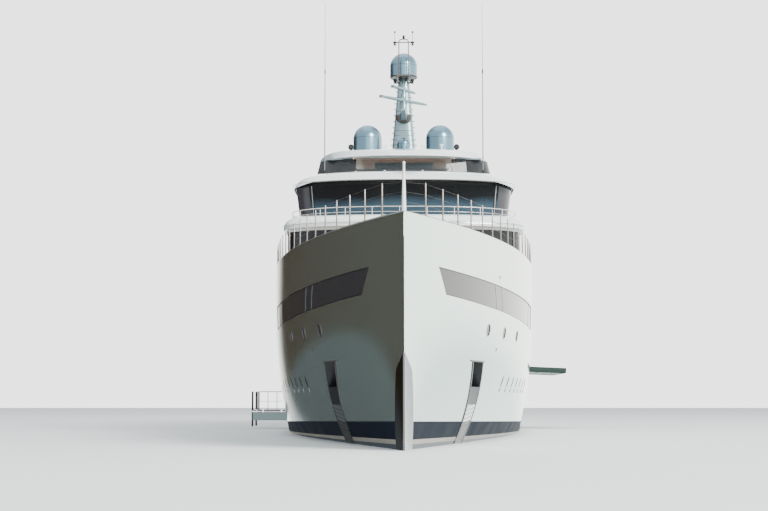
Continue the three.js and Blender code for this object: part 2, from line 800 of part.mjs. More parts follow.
function makeHardtop() {

	const { front, back, half } = HARDTOP;
	const shell = mapped( 8, 14, 1, ( u, v, w ) => {

		const angle = Math.PI * v;
		const y = ( front + back ) / 2 - Math.cos( angle ) * ( back - front ) / 2;
		const width = half * Math.max( 1 - Math.abs( Math.cos( angle ) ) ** 3.2, 0.02 ) ** ( 1 / 2.2 );
		const x = width * ( 2 * u - 1 );
		return [ x, y, w ? hardtopHeight( x, y ) : HARDTOP_UNDER ];

	} );
	const bed = MAST_BED;
	const mastBed = block( - bed.half, bed.half, bed.fore, bed.aft, HARDTOP_UNDER + 20, MAST_FOOT );
	const upright = ( x, y, top, radius ) => rod( [ x, y, HARDTOP_UNDER + 10 ], [ x, y, top ], radius, 16 );
	const domeBeds = pair( ( side ) => upright( side * DOME.side, DOME.at, DOME_FOOT, DOME.bed ) );
	const { side: out, at, level, radius, length } = SEARCHLIGHT;
	const lamps = pair( ( side ) => join( [
		upright( side * out, at, level - 10, 5 ),
		rod( [ side * out, at - 0.43 * length, level ], [ side * out, at + 0.57 * length, level ], radius, 12 ),
	] ) );
	const props = pillars( [ [ 330, 4680 ] ], SUN_DECK, HARDTOP_UNDER + OVERLAP, 9 );
	return join( [ shell, mastBed, ...domeBeds, ...lamps, ...props ] );

}

// A radome: upright sides and a round top
function makeDome( { radius, height } ) {

	const profile = [ [ 0, 0 ], [ radius - 3, 0 ], [ radius, 4 ], [ radius, height - radius ] ];
	const steps = 8;
	for ( let i = 1; i < steps; i ++ ) {

		const angle = Math.PI / 2 * i / steps;
		profile.push( [ radius * Math.cos( angle ), height - radius + radius * Math.sin( angle ) ] );

	}

	profile.push( [ 0, height ] );
	return turned( profile, 24 );

}

// Radar scanners: z of the arm's middle, its length, its axis, how far it is turned at rest, and
// how deep its bracket is at the mast
const RADARS = {
	radar_lower: { level: 1816, length: 366, at: 3374, turn: 45, drop: 34 },
	radar_upper: { level: 1890, length: 244, at: 3440, turn: 58, drop: 11 },
};
const GEARBOX = { radius: 17, height: 34 };
const MAST_DOME = { at: 3640, radius: 78, height: 143 };
const SMALL_DOME = { at: 3536, foot: 1516, radius: 31, height: 88 };
const MAST_BOWL = { at: 3600, radius: 48, foot: 1728, top: 1775 };
const ARCH = { at: 3550, half: 27, top: 2205, bar: 58, barLevel: 2185 };

function mastBody() {

	return mapped( 1, 1, 4, ( u, v, w ) => {

		const half = MAST.baseHalf + ( MAST.topHalf - MAST.baseHalf ) * w;
		const fore = MAST.at - MAST.fore + 30 * w;
		const aft = MAST.at + MAST.aft - 95 * w;
		return [ half * ( 2 * u - 1 ), fore + ( aft - fore ) * v, MAST_FOOT + ( MAST.top - MAST_FOOT ) * w ];

	} );

}

function radarBracket( { level, at, drop } ) {

	const seat = level - 14;
	const gearFoot = seat - GEARBOX.height;
	return join( [
		mapped( 1, 1, 1, ( u, v, w ) => {

			const half = 14 + 10 * v;
			const depth = v ? drop : 10;
			return [ half * ( 2 * u - 1 ), at - 16 + ( MAST.at - at ) * v, gearFoot - depth * ( 1 - w ) ];

		} ),
		rod( [ 0, at, gearFoot - OVERLAP ], [ 0, at, seat - GAP ], GEARBOX.radius, 12 ),
	] );

}

// The small radome at the mast's foot, held by an arm, and the round platform half way up
function smallDome() {

	const { at, foot } = SMALL_DOME;
	const dome = turnedTo( makeDome( SMALL_DOME ), ( geometry ) => geometry.translate( 0, at, foot ) );
	return dome.add( block( - 8, 8, at + 20, MAST.at - MAST.fore + 16, foot + 14, foot + 30 ) );

}

function mastBowl() {

	const { at, radius, foot, top } = MAST_BOWL;
	const bowl = turned( [
		[ 0, foot ], [ 0.4 * radius, foot + 3 ], [ 0.8 * radius, foot + 20 ], [ radius, foot + 38 ],
		[ radius, top ], [ 0, top ],
	] );
	return turnedTo( bowl, ( geometry ) => geometry.translate( 0, at, 0 ) );

}

function makeMast() {

	const { at, half, top, bar, barLevel } = ARCH;
	const table = block( - 44, 44, at - 12, MAST.at + 60, MAST.top - OVERLAP, MAST.top + 8 );
	const upright = ( x, low, high, radius ) => rod( [ x, at, low ], [ x, at, high ], radius, 8 );
	const lights = pair( ( side ) => upright( side * bar, barLevel - 8, barLevel + 6, 5 ) );
	const whips = pair( ( side ) => upright( side * bar, barLevel, barLevel + 65, 1.5 ) );
	const legs = pair( ( side ) => upright( side * half, MAST.top, top, 3 ) );
	const bars = [ barLevel, top - 3 ].map( ( z, i ) =>
		rod( [ i ? - half : - bar, at, z ], [ i ? half : bar, at, z ], 2.5, 8 ) );
	const masthead = rod( [ 0, at, top - 4 ], [ 0, at, top + 22 ], 5, 8 );
	const yard = block( - 52, 52, 3600, 3640, 1962, 1970 );
	return join( [
		mastBody(), smallDome(), mastBowl(), table, ...legs, ...lights, ...whips, ...bars, masthead, yard,
		...Object.values( RADARS ).map( radarBracket ),
	] );

}

function makeScanner( { length } ) {

	const arm = mapped( 6, 1, 1, ( u, v, w ) => {

		const x = 2 * u - 1;
		const taper = 1 - 0.5 * Math.abs( x ) ** 4;
		return [ x * length / 2, ( v - 0.5 ) * 22 * taper, ( w - 0.5 ) * 16 * taper ];

	} );
	return arm.add( rod( [ 0, 0, - 14 ], [ 0, 0, 0 ], 9, 12 ) );

}

function makeWhip( length ) {

	return join( [
		rod( [ 0, 0, 0 ], [ 0, 0, 26 ], 6, 8, 5 ),
		rod( [ 0, 0, 20 ], [ 0, 0, 0.6 * length ], 3, 8, 2 ),
		rod( [ 0, 0, 0.6 * length - OVERLAP ], [ 0, 0, length ], 1.6, 6, 0.8 ),
	] );

}

// Bridge equipment behind the glass

function makeHelmConsole() {

	const { at, width, depth, bow, fore, aft } = CONSOLE;
	return mapped( 8, 2, 1, ( u, v, w ) => {

		const y = at + bow * ( 2 * u - 1 ) ** 2 + depth * v;
		return [ width * ( u - 0.5 ), y, BRIDGE_DECK + w * ( v > 0.7 ? aft : fore ) ];

	} );

}

function makeChair() {

	return join( [
		rod( [ 0, 0, 0 ], [ 0, 0, 44 ], 7, 10 ),
		turned( [ [ 0, 0 ], [ 24, 0 ], [ 20, 4 ], [ 0, 5 ] ], 12 ),
		block( - 27, 27, - 27, 24, 42, 54 ),
		block( - 25, 25, 18, 30, 50, 128 ),
	] );

}

// Doors and the platform in the hull's sides

// A hinge pin along x or y, and the socket that it turns in
function hingePin( from, to ) {

	return rod( from, to, HINGE_PIN.radius, 16 );

}

function hingeSocket( from, to ) {

	const { bore, slack } = HINGE_PIN;
	const run = new THREE.Vector3( ...to ).sub( new THREE.Vector3( ...from ) ).setLength( slack );
	const start = new THREE.Vector3( ...from ).sub( run );
	const end = new THREE.Vector3( ...to ).add( run );
	return rod( start.toArray(), end.toArray(), bore, 24 );

}

const TENDER_HINGES = [ BAY.fore + 120, ( BAY.fore + BAY.aft ) / 2, BAY.aft - 120 ];
const BOARDING_HINGES = [ BOARDING.fore + 50, BOARDING.aft - 50 ];
const TRANSOM_HINGES = [ - 240, 0, 240 ];

// The platform's guard rails fold about the bar at their foot; all places are along that bar
const OUTER_RAIL = {
	bar: [ 22, 292 ], rail: [ 138, 292 ], posts: [ 140, 190, 240, 290 ], lugs: [ 60, 165, 276 ],
};
const SIDE_RAIL = {
	bar: [ 0, 172 ], rail: [ 2, 166 ], posts: [ 4, 58, 112, 164 ], lugs: [ 30, 140 ],
};

function makeTenderDoor() {

	const { hinge, low, thick } = TENDER_DOOR;
	const height = hinge - low - 3;
	const panel = block( 3, height, BAY.fore + SEAM, BAY.aft - SEAM, - thick, 0 );
	const knuckle = ( y ) => {

		const strap = block( 0, 12, y - 20, y + 20, - 4, 0 );
		return strap.add( hingePin( [ 0, y - 20, 0 ], [ 0, y + 20, 0 ] ) );

	};

	return join( [ panel, ...TENDER_HINGES.map( knuckle ) ] );

}

function makeBoardingPlatform() {

	const { reach, thick, fore, aft } = BOARDING;
	const { radius, low, side, places } = FENDER_POST;
	const deck = block( - reach, - 3, fore + GAP, aft - GAP, 0, thick );
	const knuckle = ( y ) => {

		const strap = block( - 12, 0, y - 15, y + 15, 0, 4 );
		return strap.add( hingePin( [ 0, y - 15, 0 ], [ 0, y + 15, 0 ] ) );

	};

	const post = ( y ) => rod( [ - side, fore + y, low ], [ - side, fore + y, thick ], radius, 10 );
	const { level, bore } = FOLDING_RAIL;
	const lug = ( x, y ) => block( x - 5, x + 5, y - 5, y + 5, thick - OVERLAP, level + 7 );
	const outer = - FOLDING_RAIL.side;
	const edge = fore + FOLDING_RAIL.inset;
	const lugs = [
		...OUTER_RAIL.lugs.map( ( y ) => lug( outer, fore + y ) ),
		...SIDE_RAIL.lugs.map( ( y ) => lug( - FOLDING_RAIL.end - y, edge ) ),
	];
	return cut( join( [ deck, ...BOARDING_HINGES.map( knuckle ), ...places.map( post ), ...lugs ] ), [
		rod( [ outer, fore, level ], [ outer, aft, level ], bore, 24 ),
		rod( [ - side, edge, level ], [ 0, edge, level ], bore, 24 ),
	] );

}

function makeFoldingRail( { bar, rail, posts } ) {

	const { height, post } = FOLDING_RAIL;
	return join( [
		rod( [ 0, bar[ 0 ], 0 ], [ 0, bar[ 1 ], 0 ], FOLDING_RAIL.bar, 16 ),
		...posts.map( ( y ) => block( - post, post, y - post, y + post, 0, height ) ),
		...[ height / 2, height ].map( ( z ) => block( - post, post, ...rail, z - 3, z ) ),
	] );

}

// The upper ends of the fender posts fold down with the outer rail
function makeOuterRail() {

	const { radius, top, side, places } = FENDER_POST;
	const out = side - FOLDING_RAIL.side;
	const post = ( y ) => rod( [ - out, y, - 2 ], [ - out, y, top ], radius, 10 );
	const arm = ( y ) => block( - out, 0, y - 4, y + 4, - 2, 4 );
	return join( [ makeFoldingRail( OUTER_RAIL ), ...places.map( post ), ...places.map( arm ) ] );

}

function makeTransomDoor() {

	const { half, low, hinge, thick } = TRANSOM_DOOR;
	const panel = block( - half, half, - thick, 0, low - hinge, - 3 );
	const knuckle = ( x ) => {

		const strap = block( x - 20, x + 20, - 4, 0, - 12, 0 );
		return strap.add( hingePin( [ x - 20, 0, 0 ], [ x + 20, 0, 0 ] ) );

	};

	return join( [ panel, ...TRANSOM_HINGES.map( knuckle ) ] );

}

function hullHingeSockets() {

	const tender = TENDER_DOOR;
	return [
		...TENDER_HINGES.map( ( y ) => hingeSocket(
			[ tender.side, y - 20, tender.hinge ], [ tender.side, y + 20, tender.hinge ] ) ),
		...BOARDING_HINGES.map( ( y ) => hingeSocket(
			[ - BOARDING.side, y - 15, BOARDING.hinge ], [ - BOARDING.side, y + 15, BOARDING.hinge ] ) ),
		...TRANSOM_HINGES.map( ( x ) => hingeSocket(
			[ x - 20, TRANSOM, TRANSOM_DOOR.hinge ], [ x + 20, TRANSOM, TRANSOM_DOOR.hinge ] ) ),
	];

}

// Underwater gear

function blade( inner, outer, chord, thick, pitch ) {

	return mapped( 2, 3, 1, ( u, v, w ) => {

		const r = inner + ( outer - inner ) * v;
		const wide = chord * ( 0.55 + 0.9 * v - 0.95 * v ** 3 );
		const across = ( u - 0.5 ) * wide;
		const lean = pitch * ( 1 - 0.55 * v );
		const bulk = ( w - 0.5 ) * thick * ( 1.1 - 0.7 * v ) * ( 1 - 0.6 * Math.abs( 2 * u - 1 ) );
		return [
			across * Math.cos( lean ) - bulk * Math.sin( lean ), r,
			across * Math.sin( lean ) + bulk * Math.cos( lean ) ];

	} );

}

// A screw of several blades about the z axis; turned copies of one blade
function screw( blades, inner, outer, chord, thick, pitch ) {

	const one = geometryOf( blade( inner, outer, chord, thick, pitch ) );
	const copies = [];
	for ( let i = 0; i < blades; i ++ ) {

		copies.push( solid( one.clone().rotateZ( 2 * Math.PI * i / blades ) ) );

	}

	return join( copies );

}

function turnedTo( shape, rotate ) {

	return solid( rotate( geometryOf( shape ) ) );

}

function makePropeller( side ) {

	const { at, radius, hub, blades } = PROPELLER;
	const profile = [ [ 0, - 36 ], [ 10, - 34 ], [ hub, - 8 ], [ hub, 26 ], [ hub - 6, 30 ], [ 0, 30 ] ];
	const wheel = turned( profile, 16 ).add( screw( blades, hub - 4, radius, 92, 10, side ) );
	const facing = turnedTo( wheel, ( geometry ) => geometry.rotateX( Math.PI / 2 ) );
	return facing.add( rod( [ 0, SHAFT.start - at, 0 ], [ 0, 0, 0 ], SHAFT.radius, 20 ) );

}

function makeRudder() {

	const { fore, aft, top, foot, thick } = RUDDER;
	const plate = mapped( 1, 8, 1, ( u, v, w ) => {

		const y = - fore + ( fore + aft ) * v;
		const half = Math.max( thick / 2 * ( 2.6 * Math.sqrt( v ) * ( 1 - v ) ** 0.9 ), 1 );
		const rake = w ? 0 : 12 * ( v - 0.3 );
		return [ half * ( 2 * u - 1 ), y, w ? top : foot + rake ];

	} );
	return plate.add( rod( [ 0, 0, top - OVERLAP ], [ 0, 0, STOCK.top ], STOCK.radius, 16 ) );

}

function makeFin() {

	const { span, chord, thick, clear } = FIN;
	const { radius, inside } = FIN_STOCK;
	const wing = mapped( 1, 6, 1, ( u, v, w ) => {

		const reach = clear + span * w;
		const wide = chord * ( 1 - 0.22 * w );
		const half = Math.max( thick * ( 1 - 0.4 * w ) * 1.3 * Math.sqrt( v ) * ( 1 - v ) ** 0.9, 0.8 );
		return [ half * ( 2 * u - 1 ), ( v - 0.35 ) * wide + 10 * w, reach ];

	} );
	return wing.add( rod( [ 0, 0, - inside ], [ 0, 0, clear + OVERLAP ], radius, 16 ) );

}

function makeThrusterPod() {

	const { tunnel, hub, out } = THRUSTER;
	const pod = rod( [ - out + 8, 0, 0 ], [ out - 8 - GAP, 0, 0 ], hub, 14 );
	const leg = block( - 7, 7, - 5, 5, 0, tunnel * 0.985 );
	return pod.add( leg );

}

function makeThrusterScrew() {

	const { radius, hub } = THRUSTER;
	const boss = rod( [ 0, 0, - 8 ], [ 0, 0, 12 ], hub, 14 );
	const wheel = boss.add( screw( 4, hub - 3, radius, 34, 5, 0.8 ) );
	return turnedTo( wheel, ( geometry ) => geometry.rotateY( Math.PI / 2 ) );

}

// The yacht

add( 'hull', cut( makeHull(), hullHingeSockets() ), HULL_PAINT );
add( 'bulwark_port', makeBulwark( 1 ), HULL_PAINT );
add( 'bulwark_starboard', makeBulwark( - 1 ), HULL_PAINT );
add( 'stem_plate', makeStemPlate(), STEEL );
add( 'bow_railing', makeBowRailing(), STEEL );

for ( const [ name, side ] of [ [ 'port', 1 ], [ 'starboard', - 1 ] ] ) {

	const { back, fore, aft, low, high } = ANCHOR_POCKET;
	const anchorAt = [ side * back, ( fore + aft ) / 2, ( low + high ) / 2 ];
	add( `anchor_${ name }`, makeAnchor(), STEEL, ...anchorAt ).rotation.z = side > 0 ? 0 : Math.PI;
	add( `windlass_${ name }`, makeWindlass(), STEEL, side * WINDLASS.side, WINDLASS.at, FOREDECK );

}

const saloonWall = BOX_HOUSES.main_deckhouse.back;
const [ doorFore, doorAft, doorHead ] = [ saloonWall - 4 * WALL, saloonWall + CUT, SALOON.high - 4 ];
const saloonDoorway = block( - SALOON.half, SALOON.half, doorFore, doorAft, MAIN_DECK - CUT, doorHead );
const mainWalls = makeBoxWalls( BOX_HOUSES.main_deckhouse, [ saloonDoorway ] );
add( 'main_deckhouse', mainWalls.add( saloonTrack() ), HOUSE_PAINT );
add( 'main_deckhouse_glass', makeBoxGlass( BOX_HOUSES.main_deckhouse, [ saloonDoorway ] ), GLASS );
add( 'upper_deck', makeUpperDeck(), TEAK );
add( 'upper_deckhouse', makeWalls( HOUSES.upper_deckhouse, [] ), HOUSE_PAINT );
add( 'upper_deckhouse_glass', makeGlassRing( HOUSES.upper_deckhouse, [] ), GLASS );
add( 'bridge_deck', makeBridgeDeck(), HOUSE_PAINT );
add( 'wheelhouse', makeWalls( HOUSES.wheelhouse, pair( wingDoorway ) ), HOUSE_PAINT );
const glassDoorways = pair( ( side ) => wingDoorway( side, SEAM ) );
add( 'wheelhouse_glass', makeGlassRing( HOUSES.wheelhouse, glassDoorways ), GLASS );
add( 'sky_lounge', makeBoxWalls( BOX_HOUSES.sky_lounge, [] ), HOUSE_PAINT );
add( 'sky_lounge_glass', makeBoxGlass( BOX_HOUSES.sky_lounge, [] ), GLASS );
add( 'helm_console', makeHelmConsole(), GREY );
add( 'helm_chair_port', makeChair(), GREY, CHAIR.side, CHAIR.at, BRIDGE_DECK );
add( 'helm_chair_starboard', makeChair(), GREY, - CHAIR.side, CHAIR.at, BRIDGE_DECK );
add( 'sun_deck', makeSunDeck(), HOUSE_PAINT );
add( 'windscreen', makeWindscreen(), GLASS );
add( 'lift_house', prism( outline( LIFT_HOUSE ), SUN_DECK, HARDTOP_UNDER ), HOUSE_PAINT );
add( 'hardtop', makeHardtop(), HOUSE_PAINT );
add( 'mast', makeMast(), HOUSE_PAINT );
add( 'mast_dome', makeDome( MAST_DOME ), DOME_PAINT, 0, MAST_DOME.at, MAST.top + 8 );

for ( const [ name, side ] of [ [ 'port', 1 ], [ 'starboard', - 1 ] ] ) {

	add( `satcom_dome_${ name }`, makeDome( DOME ), DOME_PAINT, side * DOME.side, DOME.at, DOME_FOOT );
	add( `whip_antenna_${ name }`, makeWhip( WHIP.length ), DOME_PAINT, side * WHIP.side, WHIP.at, BROW_TOP );

}

// Railings: a path around each deck's open end, and the rail in front of the wheelhouse
const frontRail = outline( BRIDGE_PLAN, 4 ).slice( 0, - 2 );
frontRail.unshift( [ 4 - BRIDGE_PLAN.half, BRIDGE_COAMING.end - 20 ] );
frontRail.push( [ BRIDGE_PLAN.half - 4, BRIDGE_COAMING.end - 20 ] );
add( 'wheelhouse_railing', railing( frontRail, BRIDGE_COAMING.top, 48, 150 ), STEEL );

const around = ( half, fore, back, round = 40 ) => [
	[ half, fore ], [ half, back - round ], [ half - round * 0.3, back - round * 0.3 ],
	[ half - round, back ], [ round - half, back ],
	[ round * 0.3 - half, back - round * 0.3 ], [ - half, back - round ], [ - half, fore ],
];
const acrossTransom = [ [ - 400, TRANSOM - 15 ], [ 400, TRANSOM - 15 ] ];
add( 'upper_deck_railing', railing( around( 590, 4300, 6940 ), UPPER_DECK, 100, 330 ), STEEL );
add( 'bridge_deck_railing', railing( around( 574, 3340, 6590 ), BRIDGE_DECK, 100, 330 ), STEEL );
add( 'sun_deck_railing', railing( around( 544, 4830, 6190 ), SUN_DECK, 100, 330 ), STEEL );
add( 'transom_railing', railing( acrossTransom, MAIN_DECK, 100, 200 ), STEEL );

for ( const [ name, radar ] of Object.entries( RADARS ) ) {

	const scanner = add( name, makeScanner( radar ), DOME_PAINT, 0, radar.at, radar.level );
	scanner.rotation.z = radar.turn * Math.PI / 180;

}

for ( const [ name, side ] of [ [ 'port', 1 ], [ 'starboard', - 1 ] ] ) {

	add( `wheelhouse_door_${ name }`, makeWingDoor( side ), HOUSE_PAINT );
	add( `saloon_door_${ name }`, makeSaloonDoor( side ), GLASS );
	add( `propeller_${ name }`, makePropeller( side ), BRONZE, side * SHAFT.side, PROPELLER.at, SHAFT.level );
	add( `rudder_${ name }`, makeRudder(), ANTIFOUL, side * SHAFT.side, RUDDER.at, 0 );
	const { x, out } = finSeat();
	const fin = add( `stabiliser_fin_${ name }`, makeFin(), ANTIFOUL, side * x, FIN.at, FIN.level );
	fin.rotation.y = side * Math.atan2( out.x, out.y );

}

const tenderDoor = add( 'tender_door', makeTenderDoor(), HULL_PAINT, TENDER_DOOR.side, 0, TENDER_DOOR.hinge );
tenderDoor.rotation.y = TENDER_DOOR.droop * Math.PI / 180;
add( 'boarding_platform', makeBoardingPlatform(), HULL_PAINT, - BOARDING.side, 0, BOARDING.hinge );
const railLevel = BOARDING.hinge + FOLDING_RAIL.level;
const outerRailAt = [ - BOARDING.side - FOLDING_RAIL.side, BOARDING.fore, railLevel ];
const sideRailAt = [ - BOARDING.side - FOLDING_RAIL.end, BOARDING.fore + FOLDING_RAIL.inset, railLevel ];
add( 'boarding_rail_outer', makeOuterRail(), STEEL, ...outerRailAt );
add( 'boarding_rail_side', makeFoldingRail( SIDE_RAIL ), STEEL, ...sideRailAt ).rotation.z = Math.PI / 2;
add( 'transom_door', makeTransomDoor(), HULL_PAINT, 0, TRANSOM, TRANSOM_DOOR.hinge );
const { fore: lidFore, aft: lidAft, half: lidHalf } = HATCH;
const lidFoot = FOREDECK + HATCH.coaming;
const lid = block( - lidHalf, lidHalf, lidFore, lidAft, lidFoot + GAP, lidFoot + HATCH.thick );
add( 'foredeck_hatch', lid, HULL_PAINT );
add( 'bow_thruster_pod', makeThrusterPod(), ANTIFOUL, 0, THRUSTER.at, THRUSTER.level );
add( 'bow_thruster_propeller', makeThrusterScrew(), BRONZE, THRUSTER.out, THRUSTER.at, THRUSTER.level );

export default yacht;
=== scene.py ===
from math import atan, cos, hypot, pi, radians, sin, sqrt

import bmesh
import bpy
import numpy as np
from mathutils import Matrix, Vector


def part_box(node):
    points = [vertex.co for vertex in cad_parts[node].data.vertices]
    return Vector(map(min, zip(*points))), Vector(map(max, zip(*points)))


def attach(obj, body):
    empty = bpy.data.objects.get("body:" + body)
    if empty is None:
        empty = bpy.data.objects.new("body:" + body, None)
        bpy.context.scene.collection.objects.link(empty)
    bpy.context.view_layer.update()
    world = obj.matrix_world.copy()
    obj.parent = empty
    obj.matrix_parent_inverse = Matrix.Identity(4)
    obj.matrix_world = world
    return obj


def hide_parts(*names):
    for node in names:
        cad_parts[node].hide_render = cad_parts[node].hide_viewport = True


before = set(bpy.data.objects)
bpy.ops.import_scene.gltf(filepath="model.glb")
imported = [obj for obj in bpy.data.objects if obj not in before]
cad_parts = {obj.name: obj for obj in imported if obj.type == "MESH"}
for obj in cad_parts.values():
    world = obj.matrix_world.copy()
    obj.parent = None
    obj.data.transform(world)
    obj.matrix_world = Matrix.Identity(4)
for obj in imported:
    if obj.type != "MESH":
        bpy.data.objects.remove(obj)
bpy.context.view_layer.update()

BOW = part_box("hull")[0].y
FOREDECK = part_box("bulwark_port")[0].z + 0.285  # the side decks are lower than the foredeck
MAIN_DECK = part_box("main_deckhouse")[0].z
UPPER_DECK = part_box("upper_deck")[1].z
BRIDGE_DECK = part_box("wheelhouse")[0].z
BRIDGE_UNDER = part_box("upper_deckhouse")[1].z
SUN_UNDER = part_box("wheelhouse")[1].z
SUN_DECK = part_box("lift_house")[0].z
BROW_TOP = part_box("windscreen")[0].z
HARDTOP_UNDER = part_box("windscreen")[1].z
PLATFORM_LEVEL = 0.085
TRANSOM = 7.7
BULKHEAD = 3.6
GAP = 0.0003

# Hull form
HALF_BEAM = 0.645
WATER_HALF = 0.640
KEEL = -0.390
SHEER = 0.785
SHEER_FULL = 3.6
SHEER_TAPER = 5.6
WATER_FULL = 3.9
WATER_TAPER = 5.2
STEM_BAR = 0.001
KEEL_BAR = 0.012
FOREFOOT = 0.350
STEM_RAKE = 0.09
RAKE_FADE = 1.2
RISE_START = 4.8
RISE = 0.340
BULWARK = 0.012
BULWARK_END = 7.69
HULL_END = 8.2
STERN_ROUND = 0.1  # the stern's plan is rounded over this length
SKIN_TOP = 0.7  # the stem rakes up to here, and the solid hull ends
SHEER_BREAK = 3.3  # where the bulwark's top starts to come down
BREAK_LENGTH = 0.9
AFT_SHEER = 0.515
AFT_SHEER_FALL = 0.025
FALL = 0.034  # the painted bands stand this much higher at the stem
FALL_LENGTH = 2.8
SAND_FALL = 0.45


def sheer_half(s):
    fore = HALF_BEAM * (1 - (1 - np.minimum(s / SHEER_FULL, 1)) ** 2.85)
    return fore - 0.060 * (np.maximum(s - SHEER_TAPER, 0) / 2.15) ** 2


def water_half(s):
    fore = WATER_HALF * np.sin(pi / 2 * np.minimum(s / WATER_FULL, 1) ** 1.12)
    return fore - 0.070 * (np.maximum(s - WATER_TAPER, 0) / 3.0) ** 2


def keel_line(s):
    return KEEL + RISE * (np.clip(s - RISE_START, 0, 2.9) / 2.9) ** 1.6


def hull_half(s, z):
    """Half the hull's width, s aft of the stem at height z."""
    bar = np.minimum(KEEL_BAR, STEM_BAR + s / 50)
    water = water_half(s)
    stern = 1 - 0.25 * (np.maximum(s - HULL_END + STERN_ROUND, 0) / STERN_ROUND) ** 2
    flare = 1 - (1 - np.clip(z / SHEER, 0, 1)) ** (2 + 2 * np.clip(s / 2.6, 0, 1))
    topside = water + (sheer_half(s) - water) * flare
    fullness = np.where(s < 3, 1.5 + 1.7 * s / 3, 3.2 - 0.8 * np.clip((s - 5) / 2.7, 0, 1))
    depth = np.clip(z / keel_line(s), 0, 1)
    bottom = water * (1 - depth ** fullness) ** (1 / fullness)
    return np.maximum(bar, np.where(z >= 0, topside, bottom)) * stern


def rake_shift(s, z):
    """How far aft the raked stem sets a point of the section at s."""
    above = STEM_RAKE * (SKIN_TOP - np.clip(z, 0, SKIN_TOP))
    below = FOREFOOT * (np.maximum(-z, 0) / -KEEL) ** 2.2
    return (above + below) * (1 - np.minimum(s / RAKE_FADE, 1)) ** 2


def sheer_line(s):
    """How high the bulwark's top stands: level at the bow, and lower along the side decks."""
    t = np.clip((s - SHEER_BREAK) / BREAK_LENGTH, 0, 1)
    aft = AFT_SHEER - AFT_SHEER_FALL * np.clip((s - SHEER_BREAK - BREAK_LENGTH) / 3.4, 0, 1)
    return SHEER + (aft - SHEER) * t * t * (3 - 2 * t)


def skin_normal(s, z):
    """The way out of the hull's port side at the section s."""
    step = 1e-4
    half_s = (hull_half(s + step, z) - hull_half(np.maximum(s - step, 0), z)) / (2 * step)
    half_z = (hull_half(s, z + step) - hull_half(s, z - step)) / (2 * step)
    shift_s = (rake_shift(s + step, z) - rake_shift(s - step, z)) / (2 * step)
    shift_z = (rake_shift(s, z + step) - rake_shift(s, z - step)) / (2 * step)
    normal = np.stack([1 + shift_s, -half_s, half_s * shift_z - (1 + shift_s) * half_z], axis=-1)
    return normal / np.linalg.norm(normal, axis=-1, keepdims=True)


def section_of(y, z):
    """The section s that a point of the hull's side belongs to."""
    s = y - BOW
    for _ in range(12):
        slope = (rake_shift(s + 1e-4, z) - rake_shift(s - 1e-4, z)) / 2e-4
        s = np.clip(s - (s + rake_shift(s, z) - (y - BOW)) / (1 + slope), 0, HULL_END)
    return s


def on_hull(side, s, z, out=0.0):
    """A point on the hull's side, or out metres off it."""
    normal = skin_normal(s, z)
    x = hull_half(s, z) + out * normal[0]
    return (side * x, BOW + s + rake_shift(s, z) + out * normal[1], z + out * normal[2])


# Shapes

